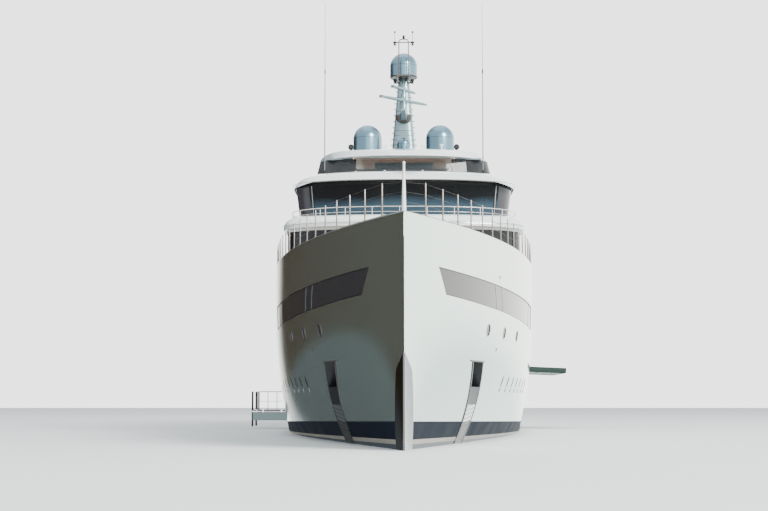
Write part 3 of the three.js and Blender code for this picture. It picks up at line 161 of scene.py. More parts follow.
class Shape:
    """Closed parts that become one mesh."""

    def __init__(self):
        self.points = []
        self.faces = []

    def bridge(self, a, size_a, b, size_b):
        """Faces between two rings of points, or between a ring and a tip."""
        size = max(size_a, size_b)
        for i in range(size):
            j = (i + 1) % size
            if size_a == 1:
                self.faces.append((a, b + j, b + i))
            elif size_b == 1:
                self.faces.append((a + i, a + j, b))
            else:
                self.faces.append((a + i, a + j, b + j, b + i))

    def loft(self, rings, closed=False):
        """Skins a row of rings; a ring of one point is a tip; closed joins the last to the first."""
        starts = []
        for ring in rings:
            starts.append(len(self.points))
            self.points += [tuple(float(value) for value in point) for point in ring]
        for i in range(len(rings) if closed else len(rings) - 1):
            j = (i + 1) % len(rings)
            self.bridge(starts[i], len(rings[i]), starts[j], len(rings[j]))
        if not closed:
            for i in (0, -1):
                if len(rings[i]) > 2:
                    self.faces.append(range(starts[i], starts[i] + len(rings[i])))
        return self

    def box(self, x, y, z):
        corners = [(x[0], y[0]), (x[1], y[0]), (x[1], y[1]), (x[0], y[1])]
        return self.prism(corners, z[0], z[1])

    def side_box(self, side, x, y, z):
        """A box between two distances from the middle line, on one side."""
        return self.box(sorted((side * x[0], side * x[1])), y, z)

    def prism(self, outline, low, high):
        return self.loft([[(x, y, z) for x, y in outline] for z in (low, high)])

    def turned(self, profile, at, sides=32, axis="z"):
        """A profile of (radius, height) pairs turned about an axis through at."""
        rings = []
        for radius, height in profile:
            count = sides if radius > 1e-7 else 1
            ring = []
            for i in range(count):
                a, b = radius * cos(2 * pi * i / sides), radius * sin(2 * pi * i / sides)
                if radius <= 1e-7:
                    a, b = 0, 0
                offset = {"z": (a, b, height), "y": (a, height, b), "x": (height, a, b)}[axis]
                ring.append(tuple(base + move for base, move in zip(at, offset)))
            rings.append(ring)
        return self.loft(rings)

    def rod(self, at, radius, low, high, sides, axis="z"):
        """A round bar or disc from low to high on an axis through at."""
        return self.turned([(0, low), (radius, low), (radius, high), (0, high)], at, sides, axis)

    def tube(self, path, radius, sides, closed=False):
        """A round bar along a path; radius is one number, or one for each point."""
        path = [Vector(point) for point in path]
        count = len(path)
        radii = radius if isinstance(radius, (list, tuple)) else [radius] * count
        rings = []
        across = None
        for i, point in enumerate(path):
            before = path[i - 1] if (i or closed) else point
            after = path[(i + 1) % count] if (i < count - 1 or closed) else point
            run = (after - before).normalized()
            if across is None:
                across = run.orthogonal()
            across = (across - across.dot(run) * run).normalized()
            other = run.cross(across)
            ring = []
            for k in range(sides):
                angle = 2 * pi * k / sides
                ring.append(point + radii[i] * (cos(angle) * across + sin(angle) * other))
            rings.append(ring)
        return self.loft(rings, closed)

    def ribbon(self, path, section, closed=False):
        """A section of (outward, z) pairs carried along a plan path of (x, y) points."""
        count = len(path)
        rings = []
        for i, (x, y) in enumerate(path):
            before = path[i - 1] if (i or closed) else path[i]
            after = path[(i + 1) % count] if (i < count - 1 or closed) else path[i]
            run_x, run_y = after[0] - before[0], after[1] - before[1]
            length = hypot(run_x, run_y)
            out_x, out_y = run_y / length, -run_x / length
            rings.append([(x + out * out_x, y + out * out_y, z) for out, z in section])
        return self.loft(rings, closed)

    def patch(self, side, place, across, up, inner, outer):
        """A slab on the hull's side: place(u, v) gives s and z for u and v from 0 to 1."""
        rings = []
        for i in range(across + 1):
            spots = [place(i / across, j / up) for j in range(up + 1)]
            outside = [on_hull(side, s, z, outer) for s, z in spots]
            inside = [on_hull(side, s, z, inner) for s, z in reversed(spots)]
            rings.append(outside + inside)
        return self.loft(rings)

    def disc(self, side, s, z, radius, inner, outer, tall=1.0):
        """A round or oval slab on the hull's side."""
        def ring(size, out):
            spots = []
            for i in range(24):
                angle = 2 * pi * i / 24
                spots.append(on_hull(side, s + size * cos(angle), z + tall * size * sin(angle), out))
            return spots
        middle = [[on_hull(side, s, z, out)] for out in (outer, inner)]
        rim = [ring(radius, outer), ring(radius, inner)]
        return self.loft([middle[0], *rim, middle[1]])

    def moved(self, start, change):
        """Moves the points made since the point number start."""
        self.points[start:] = [tuple(change(Vector(point))) for point in self.points[start:]]
        return self


def mesh_of(shape, name="part", bevel=0.0):
    """A mesh with its faces pointing out; its sharp edges are rounded by bevel."""
    mesh = bpy.data.meshes.new(name)
    mesh.from_pydata(shape.points, [], shape.faces)
    work = bmesh.new()
    work.from_mesh(mesh)
    bmesh.ops.recalc_face_normals(work, faces=work.faces)
    if bevel:
        edges = [edge for edge in work.edges if edge.calc_face_angle(0) > radians(35)]
        bmesh.ops.bevel(work, geom=edges, offset=bevel, segments=2, profile=0.5, affect="EDGES")
    work.to_mesh(mesh)
    work.free()
    return mesh


def combine(mesh, tool, operation):
    """The mesh with tool joined to it or cut from it."""
    holders = [bpy.data.objects.new("holder", mesh), bpy.data.objects.new("tool", mesh_of(tool))]
    for holder in holders:
        bpy.context.scene.collection.objects.link(holder)
    work = holders[0].modifiers.new("combine", "BOOLEAN")
    work.operation = operation
    work.solver = "MANIFOLD"
    work.object = holders[1]
    shown = holders[0].evaluated_get(bpy.context.evaluated_depsgraph_get())
    result = bpy.data.meshes.new_from_object(shown)
    for holder in holders:
        old = holder.data
        bpy.data.objects.remove(holder)
        bpy.data.meshes.remove(old)
    return result


def cut(mesh, tools):
    for tool in tools:
        mesh = combine(mesh, tool, "DIFFERENCE")
    return mesh


def shade(mesh, angle, hull_skin):
    """Smooth shading up to an angle; the hull's skin takes its normals from the hull's form."""
    mesh.shade_smooth()
    mesh.set_sharp_from_angle(angle=radians(angle))
    if not hull_skin:
        return
    count = len(mesh.loops)
    corner = np.zeros(count, dtype=np.int32)
    mesh.loops.foreach_get("vertex_index", corner)
    spots = np.zeros(len(mesh.vertices) * 3)
    mesh.vertices.foreach_get("co", spots)
    spots = spots.reshape(-1, 3)
    s = section_of(spots[:, 1], spots[:, 2])
    off = np.abs(np.abs(spots[:, 0]) - hull_half(s, spots[:, 2]))
    normals = skin_normal(s, spots[:, 2])
    normals[:, 0] *= np.sign(spots[:, 0])
    loop_normals = np.zeros((count, 3))
    for face in mesh.polygons:
        loops = list(face.loop_indices)
        corners = corner[loops]
        facing = normals[corners].mean(axis=0) @ np.array(face.normal)
        if off[corners].max() < 4e-4 and facing > 0.9:
            loop_normals[loops] = normals[corners]
    mesh.normals_split_custom_set(loop_normals.tolist())


def piece(name, shape, finishes, body="yacht", slot=None, replaces=(), bevel=0.0, angle=32,
          hull_skin=False):
    """One piece of the yacht from a shape or a ready mesh, riding on a body of the frame."""
    mesh = mesh_of(shape, name, bevel) if isinstance(shape, Shape) else shape
    mesh.name = name
    for i, finish in enumerate(finishes):
        if i < len(mesh.materials):
            mesh.materials[i] = finish
        else:
            mesh.materials.append(finish)
    shade(mesh, angle, hull_skin)
    thing = bpy.data.objects.new(name, mesh)
    bpy.context.scene.collection.objects.link(thing)
    if bevel:
        thing.modifiers.new("even_normals", "WEIGHTED_NORMAL").keep_sharp = True
    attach(thing, body)
    slot or SLOT_OF[finishes[0].name]
    if replaces:
        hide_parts(*replaces)
    return thing


def paint_faces(mesh, rule):
    """Gives each face the number that rule(centre, normal) says."""
    for face in mesh.polygons:
        face.material_index = rule(face.center, face.normal)


SIDES = (1, -1)  # port, starboard
NAMED_SIDES = ((1, "port"), (-1, "starboard"))


def spread(first, last, count):
    return [first + (last - first) * i / (count - 1) for i in range(count)]


def turns(count):
    """Angles that share out a full turn."""
    return spread(0, 2 * pi, count + 1)[:-1]


# Materials

class Finish:
    """A material and short ways to add nodes to it."""

    def __init__(self, name, colour, roughness, metallic=0.0, coat=0.0, specular=0.5):
        self.material = bpy.data.materials.new(name)
        self.material.use_nodes = True
        self.tree = self.material.node_tree
        self.shader = self.tree.nodes["Principled BSDF"]
        self.shader.inputs["Base Color"].default_value = (*colour, 1)
        self.shader.inputs["Roughness"].default_value = roughness
        self.shader.inputs["Metallic"].default_value = metallic
        self.shader.inputs["Coat Weight"].default_value = coat
        self.shader.inputs["Coat Roughness"].default_value = 0.03
        self.shader.inputs["Specular IOR Level"].default_value = specular
        self.material.diffuse_color = (*colour, 1)
        self.place = self.node("ShaderNodeTexCoord").outputs["Object"]

    def node(self, kind, links=None, **settings):
        """A node; links maps its inputs to outputs of other nodes or to values."""
        made = self.tree.nodes.new(kind)
        for key, value in settings.items():
            setattr(made, key, value)
        for key, value in (links or {}).items():
            if isinstance(value, bpy.types.NodeSocket):
                self.tree.links.new(value, made.inputs[key])
            else:
                made.inputs[key].default_value = value
        return made

    def math(self, operation, a, b):
        return self.node("ShaderNodeMath", {0: a, 1: b}, operation=operation).outputs[0]

    def stretched(self, scale):
        return self.node("ShaderNodeMapping", {"Vector": self.place, "Scale": scale}).outputs[0]

    def noise(self, scale, detail=3.0, stretch=(1, 1, 1)):
        where = self.stretched(stretch)
        links = {"Vector": where, "Scale": scale, "Detail": detail}
        return self.node("ShaderNodeTexNoise", links).outputs["Fac"]

    def mix(self, factor, a, b):
        a = a if isinstance(a, bpy.types.NodeSocket) else (*a, 1)
        b = b if isinstance(b, bpy.types.NodeSocket) else (*b, 1)
        return self.node("ShaderNodeMixRGB", {"Fac": factor, "Color1": a, "Color2": b}).outputs[0]

    def ramp(self, value, low, high, to_low=0.0, to_high=1.0):
        links = {"Value": value, "From Min": low, "From Max": high, "To Min": to_low, "To Max": to_high}
        return self.node("ShaderNodeMapRange", links).outputs["Result"]

    def set(self, name, value):
        if isinstance(value, bpy.types.NodeSocket):
            self.tree.links.new(value, self.shader.inputs[name])
        else:
            self.shader.inputs[name].default_value = value

    def bump(self, height, strength, distance):
        links = {"Height": height, "Strength": strength, "Distance": distance}
        self.set("Normal", self.node("ShaderNodeBump", links).outputs["Normal"])


def worn(finish, colour, other, scale, rough, bump=0.0, stretch=(1, 1, 1)):
    """Colour and roughness that drift a little over the surface, and a fine unevenness."""
    drift = finish.noise(scale, 4.0, stretch)
    finish.set("Base Color", finish.mix(finish.ramp(drift, 0.3, 0.7), colour, other))
    finish.set("Roughness", finish.ramp(finish.noise(scale * 3), 0.25, 0.75, rough[0], rough[1]))
    if bump:
        finish.bump(finish.noise(scale * 6, 3.0), 0.25, bump)
    return finish


def paint(name, colour, rough=(0.12, 0.2), metallic=0.0, coat=0.6, drift=0.96, bump=0.00006,
          specular=0.5):
    """A paint; rough is the range of its roughness, and drift darkens its other colour."""
    finish = Finish(name, colour, rough[0], metallic, coat, specular)
    other = tuple(value * drift for value in colour)
    return worn(finish, colour, other, 2.5, rough, bump).material


def hull_paint():
    """Glossy metallic pale green above the waterline and antifouling under it."""
    finish = Finish("hull_paint", SEA_FOAM, 0.1, HULL_METALLIC, 0.3)
    split = finish.node("ShaderNodeSeparateXYZ", {"Vector": finish.place})
    fall = finish.ramp(split.outputs["Y"], BOW, BOW + FALL_LENGTH, SAND_FALL * FALL, 0.0)
    above = step_at(finish, finish.math("SUBTRACT", split.outputs["Z"], fall), 0.004)
    drift = finish.ramp(finish.noise(1.1), 0.3, 0.7)
    foam = finish.mix(drift, SEA_FOAM, tuple(value * 0.95 for value in SEA_FOAM))
    finish.set("Base Color", finish.mix(above, ANTIFOUL_BLUE, foam))
    finish.set("Metallic", finish.math("MULTIPLY", above, HULL_METALLIC))
    gloss = finish.ramp(finish.noise(3.5), 0.3, 0.7, 0.08, 0.13)
    rough = finish.node("ShaderNodeMix", {0: above, 2: 0.7, 3: gloss}, data_type="FLOAT")
    finish.set("Roughness", rough.outputs[0])
    finish.bump(finish.noise(4.0, 1.0, (1, 1, 2)), 0.2, 0.0006)
    return finish.material


def step_at(finish, value, level):
    """0 below the level and 1 above it."""
    return finish.ramp(value, level - 0.0004, level + 0.0004)


def teak():
    """Planks laid fore and aft, with dark seams and grain along them."""
    plank, length = 0.0062, 0.42
    finish = Finish("teak", TEAK_LIGHT, 0.55, specular=0.3)
    split = finish.node("ShaderNodeSeparateXYZ", {"Vector": finish.place})
    laid = finish.node("ShaderNodeCombineXYZ", {"X": split.outputs["Y"], "Y": split.outputs["X"]})
    links = {
        "Vector": laid.outputs[0], "Color1": (*TEAK_LIGHT, 1), "Color2": (*TEAK_DARK, 1),
        "Mortar": (*CAULK, 1), "Scale": 1.0, "Mortar Size": plank * 0.07, "Mortar Smooth": 0.2,
        "Bias": 0.0, "Brick Width": length, "Row Height": plank,
    }
    planks = finish.node("ShaderNodeTexBrick", links, offset=0.37, offset_frequency=2)
    grain = finish.ramp(finish.noise(260, 4.0, (1, 0.04, 1)), 0.3, 0.75)
    grain_colour = finish.mix(finish.math("MULTIPLY", grain, 0.35), planks.outputs["Color"], TEAK_DARK)
    finish.set("Base Color", grain_colour)
    finish.set("Roughness", finish.ramp(grain, 0, 1, 0.5, 0.68))
    height = finish.math("SUBTRACT", 1.0, planks.outputs["Fac"])
    finish.bump(height, 0.5, 0.0004)
    return finish.material


def varnished_wood():
    """Red-brown wood with grain along it, under clear varnish."""
    finish = Finish("varnished_wood", (0.45, 0.2, 0.09), 0.15, coat=1.0)
    grain = finish.noise(40, 6.0, (1, 0.05, 1))
    finish.set("Base Color", finish.mix(finish.ramp(grain, 0.3, 0.7), (0.55, 0.27, 0.13),
                                        (0.34, 0.14, 0.06)))
    finish.bump(grain, 0.1, 0.0002)
    return finish.material


def glowing_ceiling_wood():
    """Pale varnished veneer under the hardtop; it glows a little, painted light that brightens it in the
    hardtop's shade.
    """
    finish = Finish("glowing_ceiling_wood", (0.8, 0.52, 0.36), 0.2, coat=0.5)
    grain = finish.noise(30, 5.0, (0.05, 1, 1))
    colour = finish.mix(finish.ramp(grain, 0.3, 0.7), (0.85, 0.58, 0.42), (0.6, 0.34, 0.2))
    finish.set("Base Color", colour)
    # painted light: the veneer glows though it is no lamp
    finish.set("Emission Color", colour)
    finish.set("Emission Strength", 0.5)
    return finish.material


def glass(name, colour, alpha):
    """Tinted glass; a little dirt shows as rougher patches."""
    finish = Finish(name, colour, 0.03, specular=0.3)
    finish.set("Alpha", alpha)
    finish.set("Roughness", finish.ramp(finish.noise(6.0), 0.3, 0.8, 0.03, 0.08))
    return finish.material


def bridge_glass():
    """The wheelhouse's glass: nearly black above, and blue lower down, a painted reflection of the sea.
    """
    finish = Finish("bridge_glass", GLASS_BLACK, 0.03, specular=0.12)
    height = finish.node("ShaderNodeSeparateXYZ", {"Vector": finish.place}).outputs["Z"]
    drift = finish.math("MULTIPLY", finish.noise(5.0, 3.0, (1, 1, 0.3)), 0.05)
    # painted reflection: the base colour turns blue towards the bottom of the glass
    low = finish.ramp(finish.math("ADD", height, drift), 1.135, 1.185, 1.0, 0.0)
    finish.set("Base Color", finish.mix(low, GLASS_BLACK, GLASS_REFLECTION_BLUE))
    finish.set("Alpha", 0.88)
    finish.set("Roughness", finish.ramp(finish.noise(6.0), 0.3, 0.8, 0.03, 0.08))
    return finish.material


def metal(name, colour, rough, bump=0.0, stretch=(1, 1, 1)):
    """Bare metal; rough is the range of its roughness."""
    finish = Finish(name, colour, rough[0], metallic=1.0)
    other = tuple(value * 0.9 for value in colour)
    return worn(finish, colour, other, 14.0, rough, bump, stretch).material


def antifouling():
    """Dull dark paint below the waterline, patchy with growth."""
    finish = Finish("antifouling", ANTIFOUL_BLUE, 0.7)
    patches = finish.ramp(finish.noise(9.0, 6.0), 0.45, 0.75)
    finish.set("Base Color", finish.mix(patches, ANTIFOUL_BLUE, (0.05, 0.075, 0.07)))
    finish.set("Roughness", finish.ramp(finish.noise(20.0), 0.3, 0.7, 0.55, 0.85))
    finish.bump(finish.noise(80.0), 0.3, 0.0006)
    return finish.material


def lamp(name, colour, strength):
    """A lamp's lens that glows a little."""
    finish = Finish(name, colour, 0.15, coat=1.0)
    finish.set("Emission Color", (*colour, 1))
    finish.set("Emission Strength", strength)
    finish.set("Roughness", finish.ramp(finish.noise(60.0), 0.3, 0.7, 0.1, 0.25))
    return finish.material


SEA_FOAM = (0.60, 0.715, 0.665)
HULL_METALLIC = 0.92
BOOT_TOP = (0.014, 0.018, 0.028)
SAND = (0.36, 0.33, 0.28)
ANTIFOUL_BLUE = (0.022, 0.034, 0.045)
TEAK_LIGHT = (0.50, 0.34, 0.20)
TEAK_DARK = (0.36, 0.22, 0.12)
CAULK = (0.012, 0.011, 0.01)
HOUSE_WHITE = (0.78, 0.83, 0.82)
DOME_SILVER = (0.11, 0.20, 0.25)
MAST_SILVER = (0.19, 0.28, 0.31)
GLASS_BLACK = (0.006, 0.007, 0.009)
# the blue of the painted reflection low in the wheelhouse glass
GLASS_REFLECTION_BLUE = (0.045, 0.085, 0.12)

HULL = hull_paint()
BOOT = paint("boot_top_paint", BOOT_TOP, rough=(0.4, 0.55), coat=0.0, drift=0.7, bump=0.0002,
             specular=0.12)
BOOT.node_tree.nodes["Principled BSDF"].inputs["IOR"].default_value = 1.12  # a dull paint
WATERLINE_SAND = paint("waterline_paint", SAND, rough=(0.4, 0.6), coat=0.0, drift=0.75, bump=0.0002,
                       specular=0.2)
HOUSE = paint("house_paint", HOUSE_WHITE, rough=(0.10, 0.18), metallic=0.12)
SOFFIT = paint("soffit_paint", (0.62, 0.66, 0.65), rough=(0.3, 0.4), coat=0.1)
INSIDE = paint("recess_paint", (0.34, 0.38, 0.38), rough=(0.3, 0.45), coat=0.2)
DARK = paint("dark_trim", (0.014, 0.016, 0.019), rough=(0.25, 0.4), coat=0.0, drift=0.9, specular=0.2)
RUBBER = paint("black_rubber", (0.012, 0.012, 0.013), rough=(0.55, 0.75), coat=0.0, drift=0.7,
               bump=0.0002, specular=0.2)
SLATE = paint("slate_paint", (0.14, 0.18, 0.20), rough=(0.25, 0.35), metallic=0.2, coat=0.4)
TEAK = teak()
WOOD = varnished_wood()
GLOWING_CEILING_WOOD = glowing_ceiling_wood()
DARK_GLASS = glass("dark_glass", (0.010, 0.014, 0.018), 0.97)
BRIDGE_GLASS = bridge_glass()
CHEEK_GLASS = glass("cheek_glass", (0.05, 0.05, 0.06), 1.0)
SCREEN_GLASS = glass("screen_glass", (0.04, 0.05, 0.055), 0.45)
# darker, less clear side panes of the windscreen: painted shade
SHADED_SIDE_SCREEN_GLASS = glass("side_screen_glass_painted_shade", (0.02, 0.022, 0.024), 0.86)
HULL_GLASS = glass("hull_glass", (0.03, 0.03, 0.034), 1.0)
STEEL = metal("polished_steel", (0.72, 0.73, 0.74), (0.06, 0.14))
MIRROR = metal("mirror_steel", (0.19, 0.19, 0.21), (0.04, 0.09), 0.0008, (1, 1, 3))
RAIL = paint("rail_white", (0.74, 0.74, 0.73), rough=(0.18, 0.28), metallic=0.6, coat=0.3)
POST = paint("rail_post", (0.20, 0.175, 0.16), rough=(0.2, 0.3), metallic=0.6, coat=0.2)
WHIP_GREY = paint("whip_grey", (0.16, 0.17, 0.18), rough=(0.4, 0.5), coat=0.0, drift=0.9, bump=0.0,
                  specular=0.2)
CAP = paint("rail_cap", (0.085, 0.078, 0.072), rough=(0.3, 0.4), metallic=0.3, coat=0.0, drift=0.9,
            specular=0.3)
BRONZE = metal("bronze", (0.62, 0.40, 0.16), (0.18, 0.38), 0.0003)
DOME = paint("dome_paint", DOME_SILVER, rough=(0.2, 0.28), metallic=0.8, coat=0.3, drift=0.93)
MAST = paint("mast_paint", MAST_SILVER, rough=(0.25, 0.35), metallic=0.6, coat=0.2, drift=0.92)
ANTIFOULING = antifouling()
LAMP = lamp("lamp_lens", (0.85, 0.86, 0.8), 0.15)
RED_LAMP = lamp("red_lens", (0.6, 0.02, 0.02), 0.1)
GREEN_LAMP = lamp("green_lens", (0.02, 0.4, 0.12), 0.1)
SCREEN_GLOW = lamp("console_screen", (0.05, 0.16, 0.2), 0.4)
# near black green on the tender door's underside and edges: painted shade
DOOR_UNDERSIDE_SHADE = paint("door_underside_shade_paint", (0.012, 0.030, 0.024), rough=(0.15, 0.25), coat=0.0, drift=0.9,
                   specular=0.25)
PLATFORM_GREEN = paint("platform_green", (0.13, 0.19, 0.20), rough=(0.25, 0.35), metallic=0.2, coat=0.2)
FABRIC = paint("cushion_fabric", (0.66, 0.66, 0.62), rough=(0.8, 0.95), coat=0.0, drift=0.9,
               bump=0.0004)
WATER = glass("pool_water", (0.05, 0.22, 0.26), 1.0)
FLOOR = paint("floor_finish", (0.70, 0.71, 0.71), rough=(0.85, 0.95), coat=0.0, drift=0.98, bump=0.0)

USUAL_SLOTS = {
    "hull_paint": (HULL, WATERLINE_SAND, DOOR_UNDERSIDE_SHADE, PLATFORM_GREEN),
    "house_paint": (HOUSE, SOFFIT, FABRIC),
    "teak": (TEAK, WOOD, GLOWING_CEILING_WOOD),
    "tinted_glass": (DARK_GLASS, BRIDGE_GLASS, CHEEK_GLASS, SCREEN_GLASS, SHADED_SIDE_SCREEN_GLASS, HULL_GLASS,
                     WATER),
    "stainless": (STEEL, MIRROR, RAIL, POST, CAP),
    "dome_paint": (DOME, MAST, WHIP_GREY),
    "bronze": (BRONZE,),
    "antifouling": (ANTIFOULING,),
    "dark_trim": (DARK, BOOT, RUBBER, SLATE, LAMP, RED_LAMP, GREEN_LAMP, SCREEN_GLOW),
}
SLOT_OF = {finish.name: slot for slot, group in USUAL_SLOTS.items() for finish in group}

# Plans

def plan(front, corner, back, half, inset=0.0, steps=30, power=2.4):
    """A house or deck in plan: from the starboard after corner round the bow to the port one."""
    path = [(inset - half, BOW + back - inset)]
    for angle in spread(-pi / 2, pi / 2, steps + 1):
        wide = (half - inset) * abs(sin(angle)) ** (2 / power)
        deep = (corner - front - inset) * max(cos(angle), 0) ** (2 / power)
        path.append((wide if angle > 0 else -wide, BOW + corner - deep))
    return path + [(half - inset, BOW + back - inset)]


def box_plan(fore, back, half):
    """The two sides and the back of a house whose front is another wall."""
    return [(half, BOW + fore), (half, BOW + back), (-half, BOW + back), (-half, BOW + fore)]


def hull_plan(first, last, inset, step=0.05):
    """Along both sheers, from starboard aft round the bow, or one side if first is above 0.1."""
    count = max(int((last - first) / step), 2)
    port = [(max(float(sheer_half(s)) - inset, 0.002), BOW + s) for s in spread(first, last, count)]
    return [(-x, y) for x, y in reversed(port)] + port


def walk(path, pitch):
    """Places along a path, pitch apart."""
    places = []
    due = pitch / 2
    walked = 0.0
    for (x0, y0), (x1, y1) in zip(path, path[1:]):
        leg = hypot(x1 - x0, y1 - y0)
        while leg and due <= walked + leg:
            t = (due - walked) / leg
            places.append((x0 + (x1 - x0) * t, y0 + (y1 - y0) * t))
            due += pitch
        walked += leg
    return places


def front_spot(path, x):
    """Where a plan path's front crosses x."""
    for (x0, y0), (x1, y1) in zip(path, path[1:]):
        if x0 <= x <= x1 and x1 > x0:
            t = (x - x0) / (x1 - x0)
            run = hypot(x1 - x0, y1 - y0)
            return x, y0 + (y1 - y0) * t, (y1 - y0) / run, (x0 - x1) / run
    raise ValueError("the path has no such place")


def band(shape, path, out0, out1, z0, z1, closed=False):
    return shape.ribbon(path, [(out0, z0), (out1, z0), (out1, z1), (out0, z1)], closed)


# Hull

# BLACK is near black dark trim on the recesses forward: painted shade
PAINT, DECKS, WHITE, BLACK = 0, 1, 2, 3
STATIONS = [0.9 * (i / 56) ** 1.6 for i in range(56)] + spread(0.9, 3.6, 64) + spread(3.66, 8.0, 54)
STATIONS += spread(8.02, HULL_END, 10)
BAY = {"fore": 4.170, "aft": 4.930, "floor": 0.095, "roof": 0.373, "side": 0.610, "far": 0.593,
       "door_side": 0.606, "door_foot": 0.043}
PASSAGE = {"fore": 4.225, "aft": 4.535, "side": 0.588, "foot": 0.045, "head": 0.331}
CLUB = {"half": 0.335, "fore": 7.15, "floor": 0.098, "roof": 0.372}  # the beach club's room
SKEG = {"fore": 4.9, "aft": 6.9, "top": -0.18}
STAIRS = {"inner": 0.430, "outer": 0.552, "start": 7.4, "tread": 0.05, "steps": 6}
HATCH = {"fore": 1.492, "aft": 1.648, "half": 0.078, "rim": 0.008, "depth": 0.06, "coaming": 0.006}
POCKET = {"back": 0.215, "fore": 0.745, "aft": 0.895, "low": 0.216, "high": 0.309}
BAND_FOOT = {"fore": 0.327, "high": 0.533, "fall": 0.0292}  # the long window's lower and
BAND_HEAD = {"fore": 0.258, "high": 0.619, "fall": 0.0215}  # upper edges, which fall going aft
BAND_END = 1.97
CHUTE = {"fore": 0.882, "slant": 0.58, "wide": 0.136, "low": -0.03, "edge": 0.0026}
BANDS = {"top": 0.062, "under_doors": 0.041, "sand_top": 0.0125, "sand_rise": 0.22, "foot": 0.003}
PORTHOLES = [(s, 0.430) for s in (0.836, 1.10, 1.385)] + [(s, 0.26) for s in spread(5.15, 6.55, 7)]
PORTHOLE_RADIUS = 0.021
LOW_PORTS = spread(1.27, 2.08, 7)
LOW_PORT_LEVEL = 0.241
LOW_PORT_RADIUS = 0.016
LOW_PORT_TALL = 1.4  # its height over its width
REVEAL = (-0.004, 0.006)  # from the bottom of a window's recess to outside the skin
SHAFT_SIDE = 0.280
SHAFT_LEVEL = -0.265
BRACKET_AT = 7.14
THRUSTER = {"at": 0.7, "level": -0.23, "tunnel": 0.055}
STERN_DOOR = {"half": 0.35, "low": 0.10, "high": 0.38, "hinge": 0.383}


def hull_rings():
    """The hull's sections, from the port side's keel up, over and down to starboard."""
    depths = (1, 0.985, 0.95, 0.9, 0.83, 0.74, 0.64, 0.53, 0.41, 0.28, 0.14)
    heights = [SKIN_TOP * i / 30 for i in range(31)]
    rings = []
    for s in STATIONS:
        levels = [depth * float(keel_line(s)) for depth in depths] + heights
        port = [(float(hull_half(s, z)), BOW + s + float(rake_shift(s, z)), z) for z in levels]
        rings.append(port + [(-x, y, z) for x, y, z in reversed(port)])
    return rings


def band_place(u, v, grow=0.0):
    """Places in the long window of the hull's side; u runs aft and v up."""
    foot_at, head_at = BAND_FOOT["fore"] - grow, BAND_HEAD["fore"] - grow
    fore = foot_at + (head_at - foot_at) * v
    s = fore + (BAND_END + grow - fore) * u
    foot = BAND_FOOT["high"] - BAND_FOOT["fall"] * (s - BAND_FOOT["fore"]) - grow
    head = BAND_HEAD["high"] - BAND_HEAD["fall"] * (s - BAND_HEAD["fore"]) + grow
    return s, foot + (head - foot) * v


def block(side, inner, outer, y0, y1, z0, z1):
    return Shape().side_box(side, (inner, outer), (BOW + y0, BOW + y1), (z0, z1))


def hull_cutters():
    """What is cut from the hull: decks, bays, wells, stairs, pockets and windows."""
    wide, behind, above, clear = 2.0, BOW + HULL_END + 0.1, 0.9, 0.005
    door = STERN_DOOR["half"]
    cutters = [
        Shape().box((-wide, wide), (BOW + BULKHEAD, behind), (MAIN_DECK, above)),
        Shape().box((-wide, wide), (BOW + TRANSOM, behind), (PLATFORM_LEVEL, above)),
        Shape().box((-BAY["far"], BAY["side"]), (BOW + BAY["fore"], BOW + BAY["aft"]),
                    (BAY["floor"], BAY["roof"])),
        block(1, BAY["door_side"], wide, BAY["fore"], BAY["aft"], BAY["door_foot"], BAY["roof"]),
        block(-1, PASSAGE["side"], wide, PASSAGE["fore"], PASSAGE["aft"],
              PASSAGE["foot"], PASSAGE["head"]),
        Shape().box((-CLUB["half"], CLUB["half"]), (BOW + CLUB["fore"], BOW + TRANSOM),
                    (CLUB["floor"], CLUB["roof"])),
        Shape().box((-door - 0.006, door + 0.006), (BOW + TRANSOM - 0.03, BOW + TRANSOM + 0.01),
                    (STERN_DOOR["low"] - 0.005, STERN_DOOR["hinge"])),
    ]
    rise = (MAIN_DECK - PLATFORM_LEVEL) / STAIRS["steps"]
    inner = HATCH["half"] - HATCH["rim"]
    fore, aft = BOW + HATCH["fore"] + HATCH["rim"], BOW + HATCH["aft"] - HATCH["rim"]
    cutters.append(Shape().box((-inner, inner), (fore, aft), (FOREDECK - HATCH["depth"], 0.8)))
    thruster = (0, BOW + THRUSTER["at"], THRUSTER["level"])
    cutters.append(Shape().rod(thruster, THRUSTER["tunnel"], -0.3, 0.3, 40, "x"))
    for side in SIDES:
        for i in range(STAIRS["steps"]):
            level = MAIN_DECK - (i + 1) * rise
            start = STAIRS["start"] + i * STAIRS["tread"]
            cutters.append(block(side, STAIRS["inner"], STAIRS["outer"], start, TRANSOM + clear,
                                 level, 0.5))
        cutters.append(pocket_cutter(side))
        windows = Shape().patch(side, band_place, 70, 4, *REVEAL)
        for s, z in PORTHOLES:
            windows.disc(side, s, z, PORTHOLE_RADIUS, *REVEAL)
        for s in LOW_PORTS:
            windows.disc(side, s, LOW_PORT_LEVEL, LOW_PORT_RADIUS, *REVEAL, LOW_PORT_TALL)
        cutters.append(windows)
    return cutters


def hull_finish(centre, normal):
    """Which of the hull's finishes a face has: its paint, that of a room or a deck, or near black dark
    trim as painted shade in the recesses forward.
    """
    x, y, z = centre
    s = float(section_of(np.array(y), np.array(z)))
    on_skin = abs(abs(x) - float(hull_half(s, z))) < 6e-4
    if on_skin and abs(normal.z) < 0.97:
        return PAINT
    if z < 0:
        return PAINT
    if normal.z > 0.95 and (abs(z - FOREDECK) < 0.002 or z > 0.08 and y > BOW + BULKHEAD):
        in_bay = BOW + BAY["fore"] < y < BOW + BAY["aft"] and z < MAIN_DECK - 0.01
        return WHITE if in_bay and abs(x) < BAY["side"] else DECKS
    # painted shade: recess faces forward, such as the anchor pockets and window reveals, are near black
    if s < 3 and z < 0.69:
        return BLACK
    return WHITE


